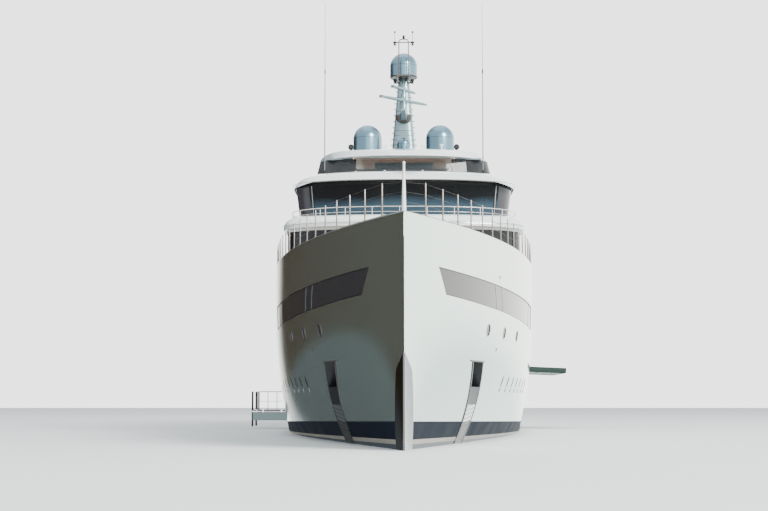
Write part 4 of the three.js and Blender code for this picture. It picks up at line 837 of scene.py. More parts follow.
def make_hull():
    """The hull with its skeg, hatch coaming and shaft brackets, and all that is cut in it."""
    mesh = mesh_of(Shape().loft(hull_rings()))
    skeg = Shape().box((-KEEL_BAR, KEEL_BAR), (BOW + SKEG["fore"], BOW + SKEG["aft"]),
                       (KEEL, SKEG["top"]))
    mesh = combine(mesh, skeg, "UNION")
    coaming = Shape().box((-HATCH["half"], HATCH["half"]), (BOW + HATCH["fore"], BOW + HATCH["aft"]),
                          (FOREDECK - 0.01, FOREDECK + HATCH["coaming"]))
    mesh = combine(mesh, coaming, "UNION")
    for side in SIDES:
        rings = []
        for level in (SHAFT_LEVEL, -0.06):
            rings.append([(side * SHAFT_SIDE + 0.0045 * sin(a) * (1 + 0.3 * cos(a)),
                           BOW + BRACKET_AT - 0.02 * cos(a), level) for a in turns(16)])
        strut = Shape().loft(rings)
        front, back = BRACKET_AT - 0.03, BRACKET_AT + 0.03
        profile = [(0, front), (0.012, front), (0.015, front + 0.012), (0.015, back - 0.012),
                   (0.012, back), (0, back)]
        barrel = Shape().turned(profile, (side * SHAFT_SIDE, BOW, SHAFT_LEVEL), 24, "y")
        mesh = combine(combine(mesh, strut, "UNION"), barrel, "UNION")
    mesh = cut(mesh, hull_cutters())
    paint_faces(mesh, hull_finish)
    piece("yacht_hull", mesh, [HULL, TEAK, INSIDE, DARK], replaces=["hull"], hull_skin=True)


def make_bulwarks():
    """The bulwarks: high round the foredeck, lower along the side decks, with knees."""
    shape = Shape()
    inner_frames = Shape()
    for side in SIDES:
        for first, last, base in ((0.0, BULKHEAD + 0.001, FOREDECK),
                                  (BULKHEAD + GAP, BULWARK_END, MAIN_DECK)):
            stations = [s for s in STATIONS if first < s < last]
            rings = []
            for s in [first, *stations, last]:
                top = float(sheer_line(s)) - 0.0015
                levels = [base + (top - base) * t for t in (0, 0.2, 0.4, 0.6, 0.8, 0.97)]
                outer = [(float(hull_half(s, z)), z) for z in levels]
                thick = [(max(x - BULWARK, 0.0002), z) for x, z in outer]
                crest = [(outer[-1][0] - 0.001, top), (thick[-1][0] + 0.0005, top)]
                ring = outer + crest + thick[::-1]
                rings.append([(side * x, BOW + s, z) for x, z in ring])
            shape.loft(rings)
        for places, deck in ((spread(0.35, 3.45, 16), FOREDECK), (spread(4.4, 7.2, 9), MAIN_DECK)):
            for s in places:
                knee(inner_frames, side, s, deck, 0.06)
    piece("bulwarks", shape, [HULL], replaces=["bulwark_port", "bulwark_starboard"], hull_skin=True)
    piece("bulwark_knees", inner_frames, [HOUSE], bevel=0.0006)


def put(shape, start, x, s, level, turn):
    """Turns the points made since start about z, and sets them at x, s and level."""
    spin = Matrix.Translation((x, BOW + s, level)) @ Matrix.Rotation(turn, 4, "Z")
    shape.moved(start, lambda point: spin @ point)


def rect(x, s, wide, deep):
    """A rectangle in plan, from its middle and its half sizes."""
    return [(x + a * wide, BOW + s + b * deep) for a, b in ((-1, -1), (1, -1), (1, 1), (-1, 1))]


def span_plan(x0, x1, s0, s1):
    """A rectangle in plan, from its ends."""
    return [(x0, BOW + s0), (x1, BOW + s0), (x1, BOW + s1), (x0, BOW + s1)]


def knee(shape, side, s, base, height):
    """A small bracket that stiffens the bulwark from inside."""
    x = float(hull_half(s, base + height)) - BULWARK
    foot = float(hull_half(s, base + 0.002)) - BULWARK
    points = [(foot + 0.001, base), (foot - 0.022, base), (x - 0.005, base + height),
              (x + 0.001, base + height)]
    rings = [[(side * a, BOW + s + y, z) for a, z in points] for y in (-0.0015, 0.0015)]
    shape.loft(rings)


def make_cap_rails():
    """A dark cap rail on the bulwarks, with rounded edges."""
    shape = Shape()
    section = [(-0.0075, 0.0), (0.0015, 0.0), (0.003, 0.0012), (0.0022, 0.0030), (-0.0068, 0.0030),
               (-0.0085, 0.0015)]
    forward = hull_plan(0.03, SHEER_BREAK, 0.004, 0.03)
    shape.ribbon(forward, [(out - 0.0015, SHEER - 0.0018 + z) for out, z in section])
    for side in SIDES:
        rings = []
        for s in spread(SHEER_BREAK, BULWARK_END, 90):
            level = float(sheer_line(s)) - 0.0018
            x = float(sheer_half(s)) - 0.0055
            rings.append([(side * (x + out), BOW + s, level + z) for out, z in section])
        shape.loft(rings)
    piece("cap_rails", shape, [CAP])


def make_stem_plate():
    """Polished plate that wraps the stem, widest from the waterline up to its shoulder."""
    shape = Shape()
    rings = []
    shoulder, reach_there = 0.265, 0.070
    for z in [-0.06 + 0.38 * i / 38 for i in range(39)]:
        below = reach_there + 0.27 * (shoulder - z)
        reach = below if z < shoulder else max(reach_there - 1.2 * (z - shoulder), 0.004)
        port = [on_hull(1, reach * (1 - i / 10) ** 1.5 + 0.0005, z, 0.0022) for i in range(11)]
        backing = [on_hull(1, reach * (1 - i / 10) ** 1.5 + 0.0005, z, 0.0003) for i in range(11)]
        nose = (0.0, port[-1][1] - 0.0012, z)
        outer = port + [nose] + [(-x, y, level) for x, y, level in reversed(port)]
        inner = [(-x, y, level) for x, y, level in backing]
        inner += [(x, y, level) for x, y, level in reversed(backing)]
        rings.append(outer + inner)
    shape.loft(rings)
    piece("stem_plating", shape, [MIRROR], replaces=["stem_plate"])
    edge = Shape()
    path = [(0, BOW + 0.0014 + float(rake_shift(0, z)), z) for z in spread(0.3, 0.78, 30)]
    edge.tube(path, 0.0014, 8)
    piece("stem_bar", edge, [STEEL])


def make_hull_windows():
    """Panes, edges and bars of the long window, and the portholes, in both sides."""
    glass_part, frames, edges, bars = Shape(), Shape(), Shape(), Shape()
    for side in SIDES:
        glass_part.patch(side, lambda u, v: band_place(u, v, 0.0015), 70, 4, -0.0036, -0.0016)
        for low, high in ((-0.03, 0.0), (1.0, 1.03)):
            edges.patch(side, lambda u, v, low=low, high=high: band_place(u, low + (high - low) * v),
                        70, 1, -0.002, 0.0007)
        for centre in (0.911, 1.014, 1.78):
            u = (centre - 0.3) / (BAND_END - 0.3)
            width = 0.004 if centre < 1.5 else 0.012
            bars.patch(side, lambda a, v, u=u, width=width: band_place(u + (a - 0.5) * width, v), 1, 4,
                       -0.002, -0.0006)
        for s, z in PORTHOLES:
            port_light(glass_part, frames, side, s, z, PORTHOLE_RADIUS, 1.0)
        for s in LOW_PORTS:
            glass_part.disc(side, s, LOW_PORT_LEVEL, LOW_PORT_RADIUS + 0.0008, -0.0034, -0.0012,
                            LOW_PORT_TALL)
            frames.disc(side, s + 0.012, LOW_PORT_LEVEL - 0.034, 0.008, -0.001, 0.0012)
    piece("hull_window_glass", glass_part, [HULL_GLASS])
    piece("port_light_rims", frames, [MIRROR])
    piece("hull_window_frames", edges, [DARK])
    piece("hull_window_bars", bars, [SLATE])


def port_light(glass_part, frames, side, s, z, radius, tall):
    """A round or oval port: its pane, and a polished rim around it."""
    glass_part.disc(side, s, z, radius + 0.0008, -0.0034, -0.0018, tall)
    rings = []
    for angle in turns(28):
        ring = []
        for reach, out in ((radius - 0.001, 0.0), (radius, 0.001), (radius + 0.0035, 0.001),
                           (radius + 0.005, -0.0005), (radius, -0.0022)):
            ring.append(on_hull(side, s + reach * cos(angle), z + tall * reach * sin(angle), out))
        rings.append(ring)
    frames.loft(rings, True)


def chute_at(fore, width, low, high, rise=0.0):
    """A function for places in the anchor chute: u runs aft across it, v up. Fore and width are
    parts of its width, and rise is how much higher the after edge stands."""
    def place(u, v):
        z = low + (high - low) * v + rise * u
        return CHUTE["fore"] - CHUTE["slant"] * z + CHUTE["wide"] * (fore + width * u), z
    return place


def make_anchor_chutes():
    """Steel troughs that guard the bow from the anchor pockets down to the waterline. Their brighter
    middle plates are a painted highlight, the darker lower plates a painted dark reflection, and the
    black patch under each pocket painted shade.
    """
    plates, ribbed, edges, dark, bright = Shape(), Shape(), Shape(), Shape(), Shape()
    low, seam, step = CHUTE["low"], 0.085, 0.15
    for side in SIDES:
        plates.patch(side, chute_at(0, 1, seam - 0.001, 0.2), 8, 14, -0.001, 0.0010)
        # darker lower plates: a painted dark reflection on the polished trough
        ribbed.patch(side, chute_at(0, 1, low, seam), 8, 14, -0.001, 0.0012)
        # a brighter band of steel: a painted highlight on the polished trough
        bright.patch(side, chute_at(0.05, 0.9, seam, step), 6, 8, -0.001, 0.0016)
        # a near black patch under the pocket: painted shade
        dark.patch(side, chute_at(0.03, 0.94, step, POCKET["low"]), 6, 8, -0.001, 0.0018)
        for fore in (-0.035, 0.975):
            edges.patch(side, chute_at(fore, 0.06, low, POCKET["high"]), 1, 30, -0.001, CHUTE["edge"])
        edges.patch(side, chute_at(-0.2, 1.35, 0.3085, 0.3135), 6, 1, -0.001, 0.003)
        for first, pitch, count, tall, out in ((0.004, 0.014, 6, 0.0055, 0.0019),
                                               (0.094, 0.016, 4, 0.0016, 0.0021)):
            for i in range(count):
                groove = first + pitch * i
                dark.patch(side, chute_at(0.04, 0.92, groove, groove + tall, 0.012), 12, 1, -0.0005, out)
    piece("anchor_chutes", plates, [MIRROR])
    piece("chute_ribbed_plates", ribbed, [CAP])
    piece("chute_painted_highlight_plates", bright, [STEEL])
    piece("chute_edges", edges, [CAP])
    piece("chute_slats_and_painted_shade", dark, [DARK])


def pocket_cutter(side):
    """The anchor's pocket, slanting like the chute under it."""
    rings = []
    for z in (POCKET["low"], POCKET["high"]):
        fore, aft = [chute_at(0, 1, z, z)(u, 0)[0] for u in (0, 1)]
        corners = ((POCKET["back"], fore), (2, fore), (2, aft), (POCKET["back"], aft))
        rings.append([(side * x, BOW + s, z) for x, s in corners])
    return Shape().loft(rings)


def boot_fall(s):
    """How much higher the painted bands stand at the stem than amidships."""
    return FALL * max(1 - s / FALL_LENGTH, 0)


def make_boot_top():
    """The dark band above the waterline and the pale line under it, clear of the side doors."""
    boot, sand = Shape(), Shape()
    for side in SIDES:
        door = (4.166, 4.934) if side > 0 else (4.221, 4.539)
        for first, last, top in ((0.003, door[0], BANDS["top"]), (*door, BANDS["under_doors"]),
                                 (door[1], 8.12, BANDS["top"])):
            count = int((last - first) / 0.06) + 2

            def band_of(low, low_share, high, high_share):
                def place(u, v):
                    s = first + (last - first) * u ** 1.3
                    start = low + low_share * boot_fall(s)
                    return s, start + (high + high_share * boot_fall(s) - start) * v
                return place
            seam_fall = SAND_FALL + BANDS["sand_rise"]
            boot.patch(side, band_of(BANDS["sand_top"] - 0.0005, seam_fall, top, 1), count, 3, -0.0012,
                       0.0007)
            sand.patch(side, band_of(BANDS["foot"], SAND_FALL, BANDS["sand_top"], seam_fall), count, 3,
                       -0.0012, 0.0005)
    piece("boot_top_band", boot, [BOOT])
    piece("waterline_band", sand, [WATERLINE_SAND])


def make_hull_trim():
    """Rubbing strake, fairleads, outlets and the seams of closed shell doors."""
    strake, hole_shade, rims, seams = Shape(), Shape(), Shape(), Shape()
    for side in SIDES:
        strake.patch(side, lambda u, v: (2.9 + 4.75 * u, 0.404 + 0.012 * v), 60, 3, -0.001, 0.003)
        # the holes of the fairleads, outlets and small ports are dark discs on the skin: painted shade in
        # place of openings
        for s in (2.42, 7.2):
            z = 0.735 if s < 3 else 0.455
            fairlead(hole_shade, rims, side, s, z)
        for s in (2.9, 3.35, 5.5, 6.0, 6.9, 7.3):
            port_light(hole_shade, rims, side, s, 0.115, 0.007, 0.8)
        for fore, aft, low, high in ((3.0, 3.16, 0.12, 0.34), (6.7, 6.95, 0.1, 0.33)):
            door_seam(seams, side, fore, aft, low, high)
        for s in (0.947, 1.004):
            z = 0.640 if s < 1 else 0.362
            hole_shade.disc(side, s, z, 0.006, -0.001, 0.0008)
    piece("rubbing_strake", strake, [STEEL])
    piece("fairlead_hole_shade", hole_shade, [DARK])
    piece("fairlead_rims", rims, [STEEL])
    piece("shell_door_seams", seams, [DARK])


def fairlead(hole_shade, rims, side, s, z):
    """A mooring hole in the bulwark, drawn as a dark disc of painted shade, and its polished rim."""
    rings = []
    for angle in turns(24):
        ring = []
        for reach, out in ((0.0, 0.0006), (0.0018, 0.003), (0.0045, 0.003), (0.006, 0.0),
                           (0.003, -0.002)):
            across, up = (0.018 + reach) * cos(angle), (0.008 + reach) * sin(angle)
            ring.append(on_hull(side, s + across, z + up, out))
        rings.append(ring)
    rims.loft(rings, True)
    hole_shade.disc(side, s, z, 0.0185, -0.0015, 0.0005, 0.46)


def door_seam(shape, side, fore, aft, low, high):
    """The dark joint round a door that is shut in the hull's side."""
    wide = 0.0008
    spans = ((fore, aft, low, low + wide), (fore, aft, high, high + wide),
             (fore, fore + wide, low, high), (aft, aft + wide, low, high))
    for s0, s1, z0, z1 in spans:
        shape.patch(side,
                    lambda u, v, s0=s0, s1=s1, z0=z0, z1=z1: (s0 + (s1 - s0) * u, z0 + (z1 - z0) * v),
                    6, 4, -0.0008, 0.0003)


# Railings

def railing(name, path, base, pitch, node):
    """Round posts on small feet, a top rail and three thinner rails under it."""
    shape = Shape()
    height, post, rail = 0.1, 0.0018, 0.0024
    for x, y in walk(path, pitch):
        shape.turned([(0, 0), (post * 2.2, 0), (post * 2.2, 0.001), (post, 0.0025), (post, height),
                      (0, height)],
                     (x, y, base), 10)
    for level in (1.0, 0.75, 0.5, 0.25):
        thin = rail if level == 1.0 else rail * 0.45
        shape.tube([(x, y, base + height * level - rail) for x, y in path], thin, 8)
    piece(name, shape, [RAIL], replaces=[node])


def rounded(half, fore, back):
    """A rail's plan round a deck's after end."""
    corner, steps = 0.04, 6
    path = [(half, BOW + fore)]
    for angle in spread(0, pi / 2, steps):
        path.append((half - corner + corner * cos(angle), BOW + back - corner + corner * sin(angle)))
    for angle in spread(pi / 2, 0, steps):
        path.append((corner - half - corner * cos(angle), BOW + back - corner + corner * sin(angle)))
    return path + [(-half, BOW + fore)]


def make_bow_rails():
    """Stout posts along the bulwark's cap and thin wires between them."""
    shape, wires = Shape(), Shape()
    stations = [0.165 + 0.137 * i for i in range(16)]
    tops = []
    for s in stations:
        x, high = float(sheer_half(s)) - 0.007, 0.114 - 0.009 * s
        tops.append((x, BOW + s, SHEER + high))
        for side in SIDES:
            shape.turned([(0, 0), (0.006, 0), (0.006, 0.0015), (0.0027, 0.004), (0.0025, high - 0.002),
                          (0.0015, high), (0, high)],
                         (side * x, BOW + s, SHEER), 12)
    for part in (0.97, 0.64, 0.32):
        row = [(x, y, SHEER + (z - SHEER) * part) for x, y, z in tops]
        path = [(-x, y, z) for x, y, z in reversed(row)] + [(0, BOW + 0.024, SHEER + 0.1 * part)] + row
        wires.tube(path, 0.0003, 6)
    piece("bow_posts", shape, [POST], replaces=["bow_railing"])
    piece("bow_wires", wires, [CAP])


def make_bridge_rail():
    """Two round rails on short posts along the coaming; their ends bend down to it."""
    shape = Shape()
    path = plan(2.20, 2.52, 2.80, 0.548, steps=40)
    for part in (1.0, 0.45):
        row = []
        for x, y in path:
            drop = min(max((y - BOW - 2.50) / 0.3, 0), 1) ** 2
            row.append((x, y, 1.034 + 0.044 * part * (1 - drop) + 0.020 * drop))
        shape.tube(row, 0.0021 if part == 1.0 else 0.0013, 8)
    for x, y in walk(path, 0.130):
        if y < BOW + 2.55:
            shape.turned([(0, 0), (0.004, 0), (0.004, 0.001), (0.0016, 0.003), (0.0016, 0.045),
                          (0, 0.045)], (x, y, 1.033), 10)
    piece("bridge_front_rail", shape, [RAIL], replaces=["wheelhouse_railing"])


def make_railings():
    """The railings on all decks, and the jackstaff at the stem."""
    make_bow_rails()
    staff = Shape().tube([(0, BOW + 0.02, SHEER), (0, BOW + 0.02, 0.87), (0, BOW + 0.02, 0.942)],
                         [0.0078, 0.0058, 0.0036], 16)
    staff.turned([(0, 0.94), (0.0036, 0.94), (0.005, 0.944), (0.004, 0.949), (0, 0.95)],
                 (0, BOW + 0.02, 0), 16)
    piece("jackstaff", staff, [RAIL], bevel=0.0002)
    make_bridge_rail()
    for name, half, fore, back, base in (
            ("upper_deck", 0.590, 4.3, 6.94, UPPER_DECK), ("bridge_deck", 0.574, 3.34, 6.59, BRIDGE_DECK),
            ("sun_deck", 0.544, 4.83, 6.19, SUN_DECK)):
        path = rounded(half, fore, back)
        railing(name + "_rails", path, base, 0.12, name + "_railing")
    across = [(-0.4, BOW + 7.685), (0.4, BOW + 7.685)]
    railing("transom_rails", across, MAIN_DECK, 0.1, "transom_railing")


# Decks and houses

WALL = 0.006  # thick
PANE = (-0.0092, -0.0064)  # a pane's inner and outer faces, from the wall's outside
PANE_LAP = 0.004  # past the sill and the head
PILLAR = 0.0078
BRIDGE = {"front": 2.15, "corner": 2.40, "back": 6.6, "half": 0.582}
BROW_CREST = BROW_TOP - 0.020
BROW_BACK = 4.8
SUN = {"front": 2.33, "corner": 2.60, "back": 6.2, "half": 0.552}
LOUNGE = {"front": 2.22, "corner": 2.46, "back": 6.1, "half": 0.572}
HELM = {"front": 2.40, "corner": 2.64, "back": 3.1, "half": 0.542}
SCREEN = {"front": 2.79, "corner": 3.00, "back": 3.9, "half": 0.468}


def slab(shape, path, low, high, round_edge=0.002):
    """A deck with rounded edges, from a closed plan."""
    def ring(inset, z):
        count = len(path)
        spots = []
        for i, (x, y) in enumerate(path):
            x0, y0 = path[i - 1]
            x1, y1 = path[(i + 1) % count]
            run = max(hypot(x1 - x0, y1 - y0), 1e-9)
            spots.append((x - inset * (y1 - y0) / run, y + inset * (x1 - x0) / run, z))
        return spots
    levels = ((round_edge, low), (0, low + round_edge), (0, high - round_edge), (round_edge, high))
    return shape.loft([ring(inset, z) for inset, z in levels])


def teak_sheet(name, path, level, thick=0.001):
    """Planking laid on a deck, with a lower margin plank around it."""
    sheet = Shape().prism(path, level - 0.0006, level + thick - 0.0003)
    middle_y = (min(y for _, y in path) + max(y for _, y in path)) / 2
    length = max(y for _, y in path) - middle_y
    inner = [(x * 0.965, middle_y + (y - middle_y) * (1 - 0.018 / length)) for x, y in path]
    sheet.prism(inner, level, level + thick)
    piece(name, sheet, [TEAK])


def make_upper_deck():
    """The deck over the main house, out to the hull's sides, on pillars aft."""
    shape = Shape()
    stations = spread(BULKHEAD + GAP, 6.9, 50)
    port = [(float(sheer_half(s)) - BULWARK - 0.0005, BOW + s) for s in stations]
    end = port[-1][0]
    for angle in spread(0, pi / 2, 8)[1:]:
        port.append((end - 0.08 + 0.08 * cos(angle), BOW + 6.9 + 0.1 * sin(angle)))
    ring = [(-x, y) for x, y in port] + [(x, y) for x, y in reversed(port)]
    slab(shape, ring[::-1], UPPER_DECK - 0.0098, UPPER_DECK - 0.0008)
    for side in SIDES:
        for x, s in ((0.585, 6.9), (0.3, 6.9)):
            pillar(shape, side * x, s, MAIN_DECK, UPPER_DECK - 0.001, PILLAR)
    piece("upper_deck_slab", shape, [HOUSE], replaces=["upper_deck"])
    inner = [(x * 0.97, min(y, BOW + 6.975)) for x, y in ring]
    teak_sheet("upper_deck_teak", inner, UPPER_DECK - 0.0008, 0.0008)


def pillar(shape, x, s, low, high, radius):
    """A round pillar that is wider at its foot and head."""
    foot = radius * 1.5
    profile = [(0, low), (foot, low), (foot, low + 0.002), (radius, low + 0.006),
               (radius, high - 0.006), (foot, high - 0.002), (foot, high), (0, high)]
    shape.turned(profile, (x, BOW + s, 0), 20)


COAMING_FOOT = 0.994


def coaming_ring(x, y):
    """The section of the bridge deck's front coaming: it leans in, most at the corners."""
    s = y - BOW
    aft = min(max((s - 2.62) / 0.43, 0), 1)
    corner = min(max((abs(x) - 0.40) / 0.12, 0), 1) * (1 - aft)
    top = 1.0395 + 0.006 * corner
    lean = 0.006 + (0.039 + 0.012 * corner) * (1 - aft)
    length = hypot(x, s - 3.1)
    in_x, in_y = (-x / length, (3.1 - s) / length) if aft == 0 else (-1 if x > 0 else 1, 0)
    ring = []
    for t in (0, 0.25, 0.5, 0.72, 0.88, 0.97, 1):
        inward = lean * t ** 2.2
        ring.append((x + in_x * inward, y + in_y * inward, COAMING_FOOT + (top - COAMING_FOOT) * t))
    for z in (top - 0.001, COAMING_FOOT):
        ring.append((x + in_x * (lean + 0.007), y + in_y * (lean + 0.007), z))
    return ring


def make_bridge_deck():
    """The bridge deck, its coaming forward with a groove, and its pillars."""
    shape = Shape()
    path = plan(**BRIDGE, steps=44)
    slab(shape, path, BRIDGE_UNDER, BRIDGE_DECK, 0.004)
    coaming = plan(BRIDGE["front"], BRIDGE["corner"], 3.3, BRIDGE["half"], steps=44)
    shape.loft([coaming_ring(x, y) for x, y in coaming])
    for side in SIDES:
        pillar(shape, side * 0.545, 6.5, UPPER_DECK, BRIDGE_UNDER + 0.001, PILLAR)
    piece("bridge_deck_slab", shape, [HOUSE], replaces=["bridge_deck"])
    groove = Shape()
    band(groove, coaming, 0.0, 0.0007, 0.9985, 1.0005)
    piece("coaming_groove", groove, [SLATE])
    teak_path = plan(BRIDGE["front"] + 0.02, BRIDGE["corner"], 6.585, 0.582)
    teak_path = [(x * 0.975, y) for x, y in teak_path]
    teak_sheet("bridge_deck_teak", teak_path, BRIDGE_DECK, 0.0008)


def brow_height(part, x=0.0):
    """How high the brow stands at part of the way in from its edge; the edge droops at the corners."""
    low = SUN_UNDER + 0.002 - 0.020 * (1 - part) ** 3 * min(max((abs(x) - 0.44) / 0.1, 0), 1)
    return low + (BROW_CREST - low) * (1 - (1 - part) ** 2.5)


def brow_ring(part):
    path = plan(SUN["front"] + 0.29 * part, SUN["corner"] + 0.29 * part, BROW_BACK,
                SUN["half"] - 0.092 * part - 0.005, steps=44)
    return [(x, y, brow_height(part, x)) for x, y in path]


def make_sun_deck():
    """The sun deck and the deep rounded brow over the wheelhouse windows."""
    shape = Shape()
    aft_deck = [(-0.552, BOW + 4.79), (-0.552, BOW + 6.2), (0.552, BOW + 6.2), (0.552, BOW + 4.79)]
    slab(shape, aft_deck[::-1], SUN_UNDER, SUN_DECK, 0.003)
    brow = [[(x, y, SUN_UNDER) for x, y in plan(2.345, 2.6, BROW_BACK, 0.54, steps=44)]]
    for part in (0.0, 0.012, 0.04, 0.09, 0.16, 0.25, 0.36, 0.48, 0.61, 0.75, 0.88, 1.0):
        brow.append(brow_ring(part))
    well_top = plan(2.83, 3.05, 4.79, 0.425, steps=44)
    brow.append([(x, y, BROW_CREST) for x, y in well_top])
    brow.append([(x, y, SUN_DECK + 0.001) for x, y in well_top])
    shape.loft(brow)
    for side in SIDES:
        pillar(shape, side * 0.52, 6.1, BRIDGE_DECK, SUN_UNDER + 0.001, PILLAR)
    piece("sun_deck_and_brow", shape, [HOUSE], replaces=["sun_deck"], angle=40)
    aft = span_plan(-0.53, 0.53, 4.83, 6.18)
    teak_sheet("sun_deck_teak", aft, SUN_DECK, 0.0008)
    line = Shape()
    edge = plan(SUN["front"], SUN["corner"], BROW_BACK, SUN["half"], steps=44)
    band(line, edge, -0.002, 0.0004, SUN_UNDER + 0.0005, SUN_UNDER + 0.0025)
    piece("brow_drip_edge", line, [SLATE])
    soffit = Shape()
    rings = []
    for grow, z in ((0.0, SUN_UNDER - 0.0008), (0.04, SUN_UNDER - 0.0008), (0.04, SUN_UNDER + 0.0005),
                    (0.0, SUN_UNDER + 0.0005)):
        around = plan(2.35 + grow, 2.61 + grow, 3.09, 0.535 - grow * 0.2, steps=44)
        rings.append([(x, y, z) for x, y in around])
    soffit.loft([list(row) for row in zip(*rings)])
    piece("brow_soffit", soffit, [DARK])
    make_brow_knobs()


def make_brow_knobs():
    """Small cameras and nozzles that stand along the brow's upper edge."""
    knobs, feet = Shape(), Shape()
    path = plan(2.61, 2.88, BROW_BACK, 0.455)
    for x in (-0.242, -0.096, 0.094, 0.235):
        spot_x, spot_y = front_spot(path, x)[:2]
        y = spot_y + 0.02
        knobs.turned([(0, 0), (0.0045, 0.001), (0.006, 0.006), (0.0045, 0.011), (0, 0.012)],
                     (spot_x, y, BROW_CREST + 0.004))
        feet.turned([(0, 0), (0.0055, 0), (0.0045, 0.005), (0, 0.005)], (spot_x, y, BROW_CREST - 0.001),
                    16)
        feet.rod((spot_x, y, BROW_CREST + 0.01), 0.0025, -0.0062, 0.002, 12, "y")
    piece("brow_knobs", knobs, [HOUSE])
    piece("brow_knob_feet", feet, [DARK])


def posts_along(shape, spots, foot_out, head_out, low, high, wide, thick):
    """Upright window bars at places on a path; they may lean between foot and head."""
    for x, y, out_x, out_y in spots:
        rings = []
        for out, z in ((foot_out, low), (head_out, high)):
            ring = []
            for a, b in ((-wide, 0), (wide, 0), (wide, -thick), (-wide, -thick)):
                ring.append((x + out_x * (out + b) - out_y * a, y + out_y * (out + b) + out_x * a, z))
            rings.append(ring)
        shape.loft(rings)


def make_upper_deckhouse():
    """The long house below the bridge; its dark windows run round the front."""
    path = plan(**LOUNGE, steps=44)
    walls, panes, bars = Shape(), Shape(), Shape()
    low, sill, head, high = UPPER_DECK, 0.752, 0.974, BRIDGE_UNDER
    band(walls, path, -WALL, 0, low, sill, True)
    band(walls, path, -WALL, 0, head, high, True)
    band(panes, path, *PANE, sill - PANE_LAP, head + PANE_LAP, True)
    spots = [front_spot(path, LOUNGE["half"] * 0.93 * part) for part in (-1, -0.5, 0, 0.5, 1)]
    posts_along(bars, spots, -0.001, -0.001, sill, head, 0.004, 0.005)
    for side in SIDES:
        sill_spots = [(side * LOUNGE["half"], BOW + s, side, 0) for s in spread(2.9, 5.84, 8)]
        posts_along(bars, sill_spots, -0.001, -0.001, sill, head, 0.003, 0.005)
        posts_along(walls, [(side * LOUNGE["half"], BOW + s, side, 0) for s in (5.98, 6.06)], 0, 0,
                    sill, head, 0.012, WALL)
    back = [(x, BOW + LOUNGE["back"], 0, 1) for x in spread(-0.5, 0.5, 7)]
    posts_along(walls, back, 0, 0, sill, head, 0.006, WALL)
    frames = Shape()
    for z in (sill, head - 0.002):
        band(frames, path, -0.004, 0.0008, z, z + 0.002, True)
    piece("upper_house_walls", walls, [HOUSE], replaces=["upper_deckhouse"])
    piece("upper_house_panes", panes, [DARK_GLASS], replaces=["upper_deckhouse_glass"])
    piece("upper_house_bars", bars, [DARK])
    piece("upper_house_frames", frames, [SLATE])


def make_wheelhouse():
    """The wheelhouse: its windows lean out towards the top, with slim black bars behind them."""
    path = plan(**HELM, steps=44)
    back = BOW + HELM["back"]
    walls, panes, bars, strips = Shape(), Shape(), Shape(), Shape()
    sill, head, lean = 1.045, 1.216, 0.026
    ring = [(-0.520, back), *path, (0.520, back)]
    band(walls, ring, -lean - WALL, -lean, BRIDGE_DECK, sill)
    band(walls, [(0.4418, back), (-0.4418, back)], -WALL, 0, BRIDGE_DECK, SUN_UNDER)
    band(bars, path, -WALL, 0, head, SUN_UNDER, True)
    for side in SIDES:
        for x in (0.523, 0.534):
            posts_along(walls, [(side * x, back, 0, 1)], 0, 0, BRIDGE_DECK, head, 0.003, WALL)
    around = path[1:-1] + [(HELM["half"], back - 0.012)]
    around = [(-HELM["half"], back - 0.012)] + around
    lower, upper = -lean, -0.003
    panes.ribbon(around, [(lower - 0.0028, sill - PANE_LAP), (lower, sill - PANE_LAP),
                          (upper, head + PANE_LAP), (upper - 0.0028, head + PANE_LAP)])
    spots = [front_spot(path, x) for x in (-0.387, -0.25, -0.082, 0.082, 0.25, 0.387)]
    posts_along(bars, spots, lower - 0.003, upper - 0.003, sill, head, 0.0035, 0.004)
    corners = [front_spot(path, x) for x in (-0.455, 0.455)]
    posts_along(bars, corners, lower + 0.001, upper + 0.001, sill, head, 0.0075, 0.008)
    posts_along(strips, corners, lower + 0.0018, upper + 0.0018, sill, head, 0.0008, 0.003)
    for side in SIDES:
        wing = [(side * HELM["half"], BOW + s, side, 0) for s in (2.79, 2.94, 3.08)]
        posts_along(bars, wing, lower + 0.0005, upper + 0.0005, sill, head, 0.004, 0.006)
    trim = Shape()
    trim.ribbon(around, [(lower - 0.004, sill - 0.001), (lower + 0.002, sill - 0.001),
                         (lower + 0.002, sill + 0.002), (lower - 0.004, sill + 0.002)])
    band(trim, around, -0.006, 0.0008, head - 0.0015, head + 0.0008)
    piece("wheelhouse_walls", walls, [HOUSE], replaces=["wheelhouse"])
    cheeks = mesh_of(panes)
    paint_faces(cheeks, lambda centre, normal: int(abs(centre.x) > 0.458))
    piece("wheelhouse_panes", cheeks, [BRIDGE_GLASS, CHEEK_GLASS], replaces=["wheelhouse_glass"])
    piece("wheelhouse_bars", bars, [DARK])
    piece("wheelhouse_strips", strips, [HOUSE])
    piece("wheelhouse_trim", trim, [DARK])


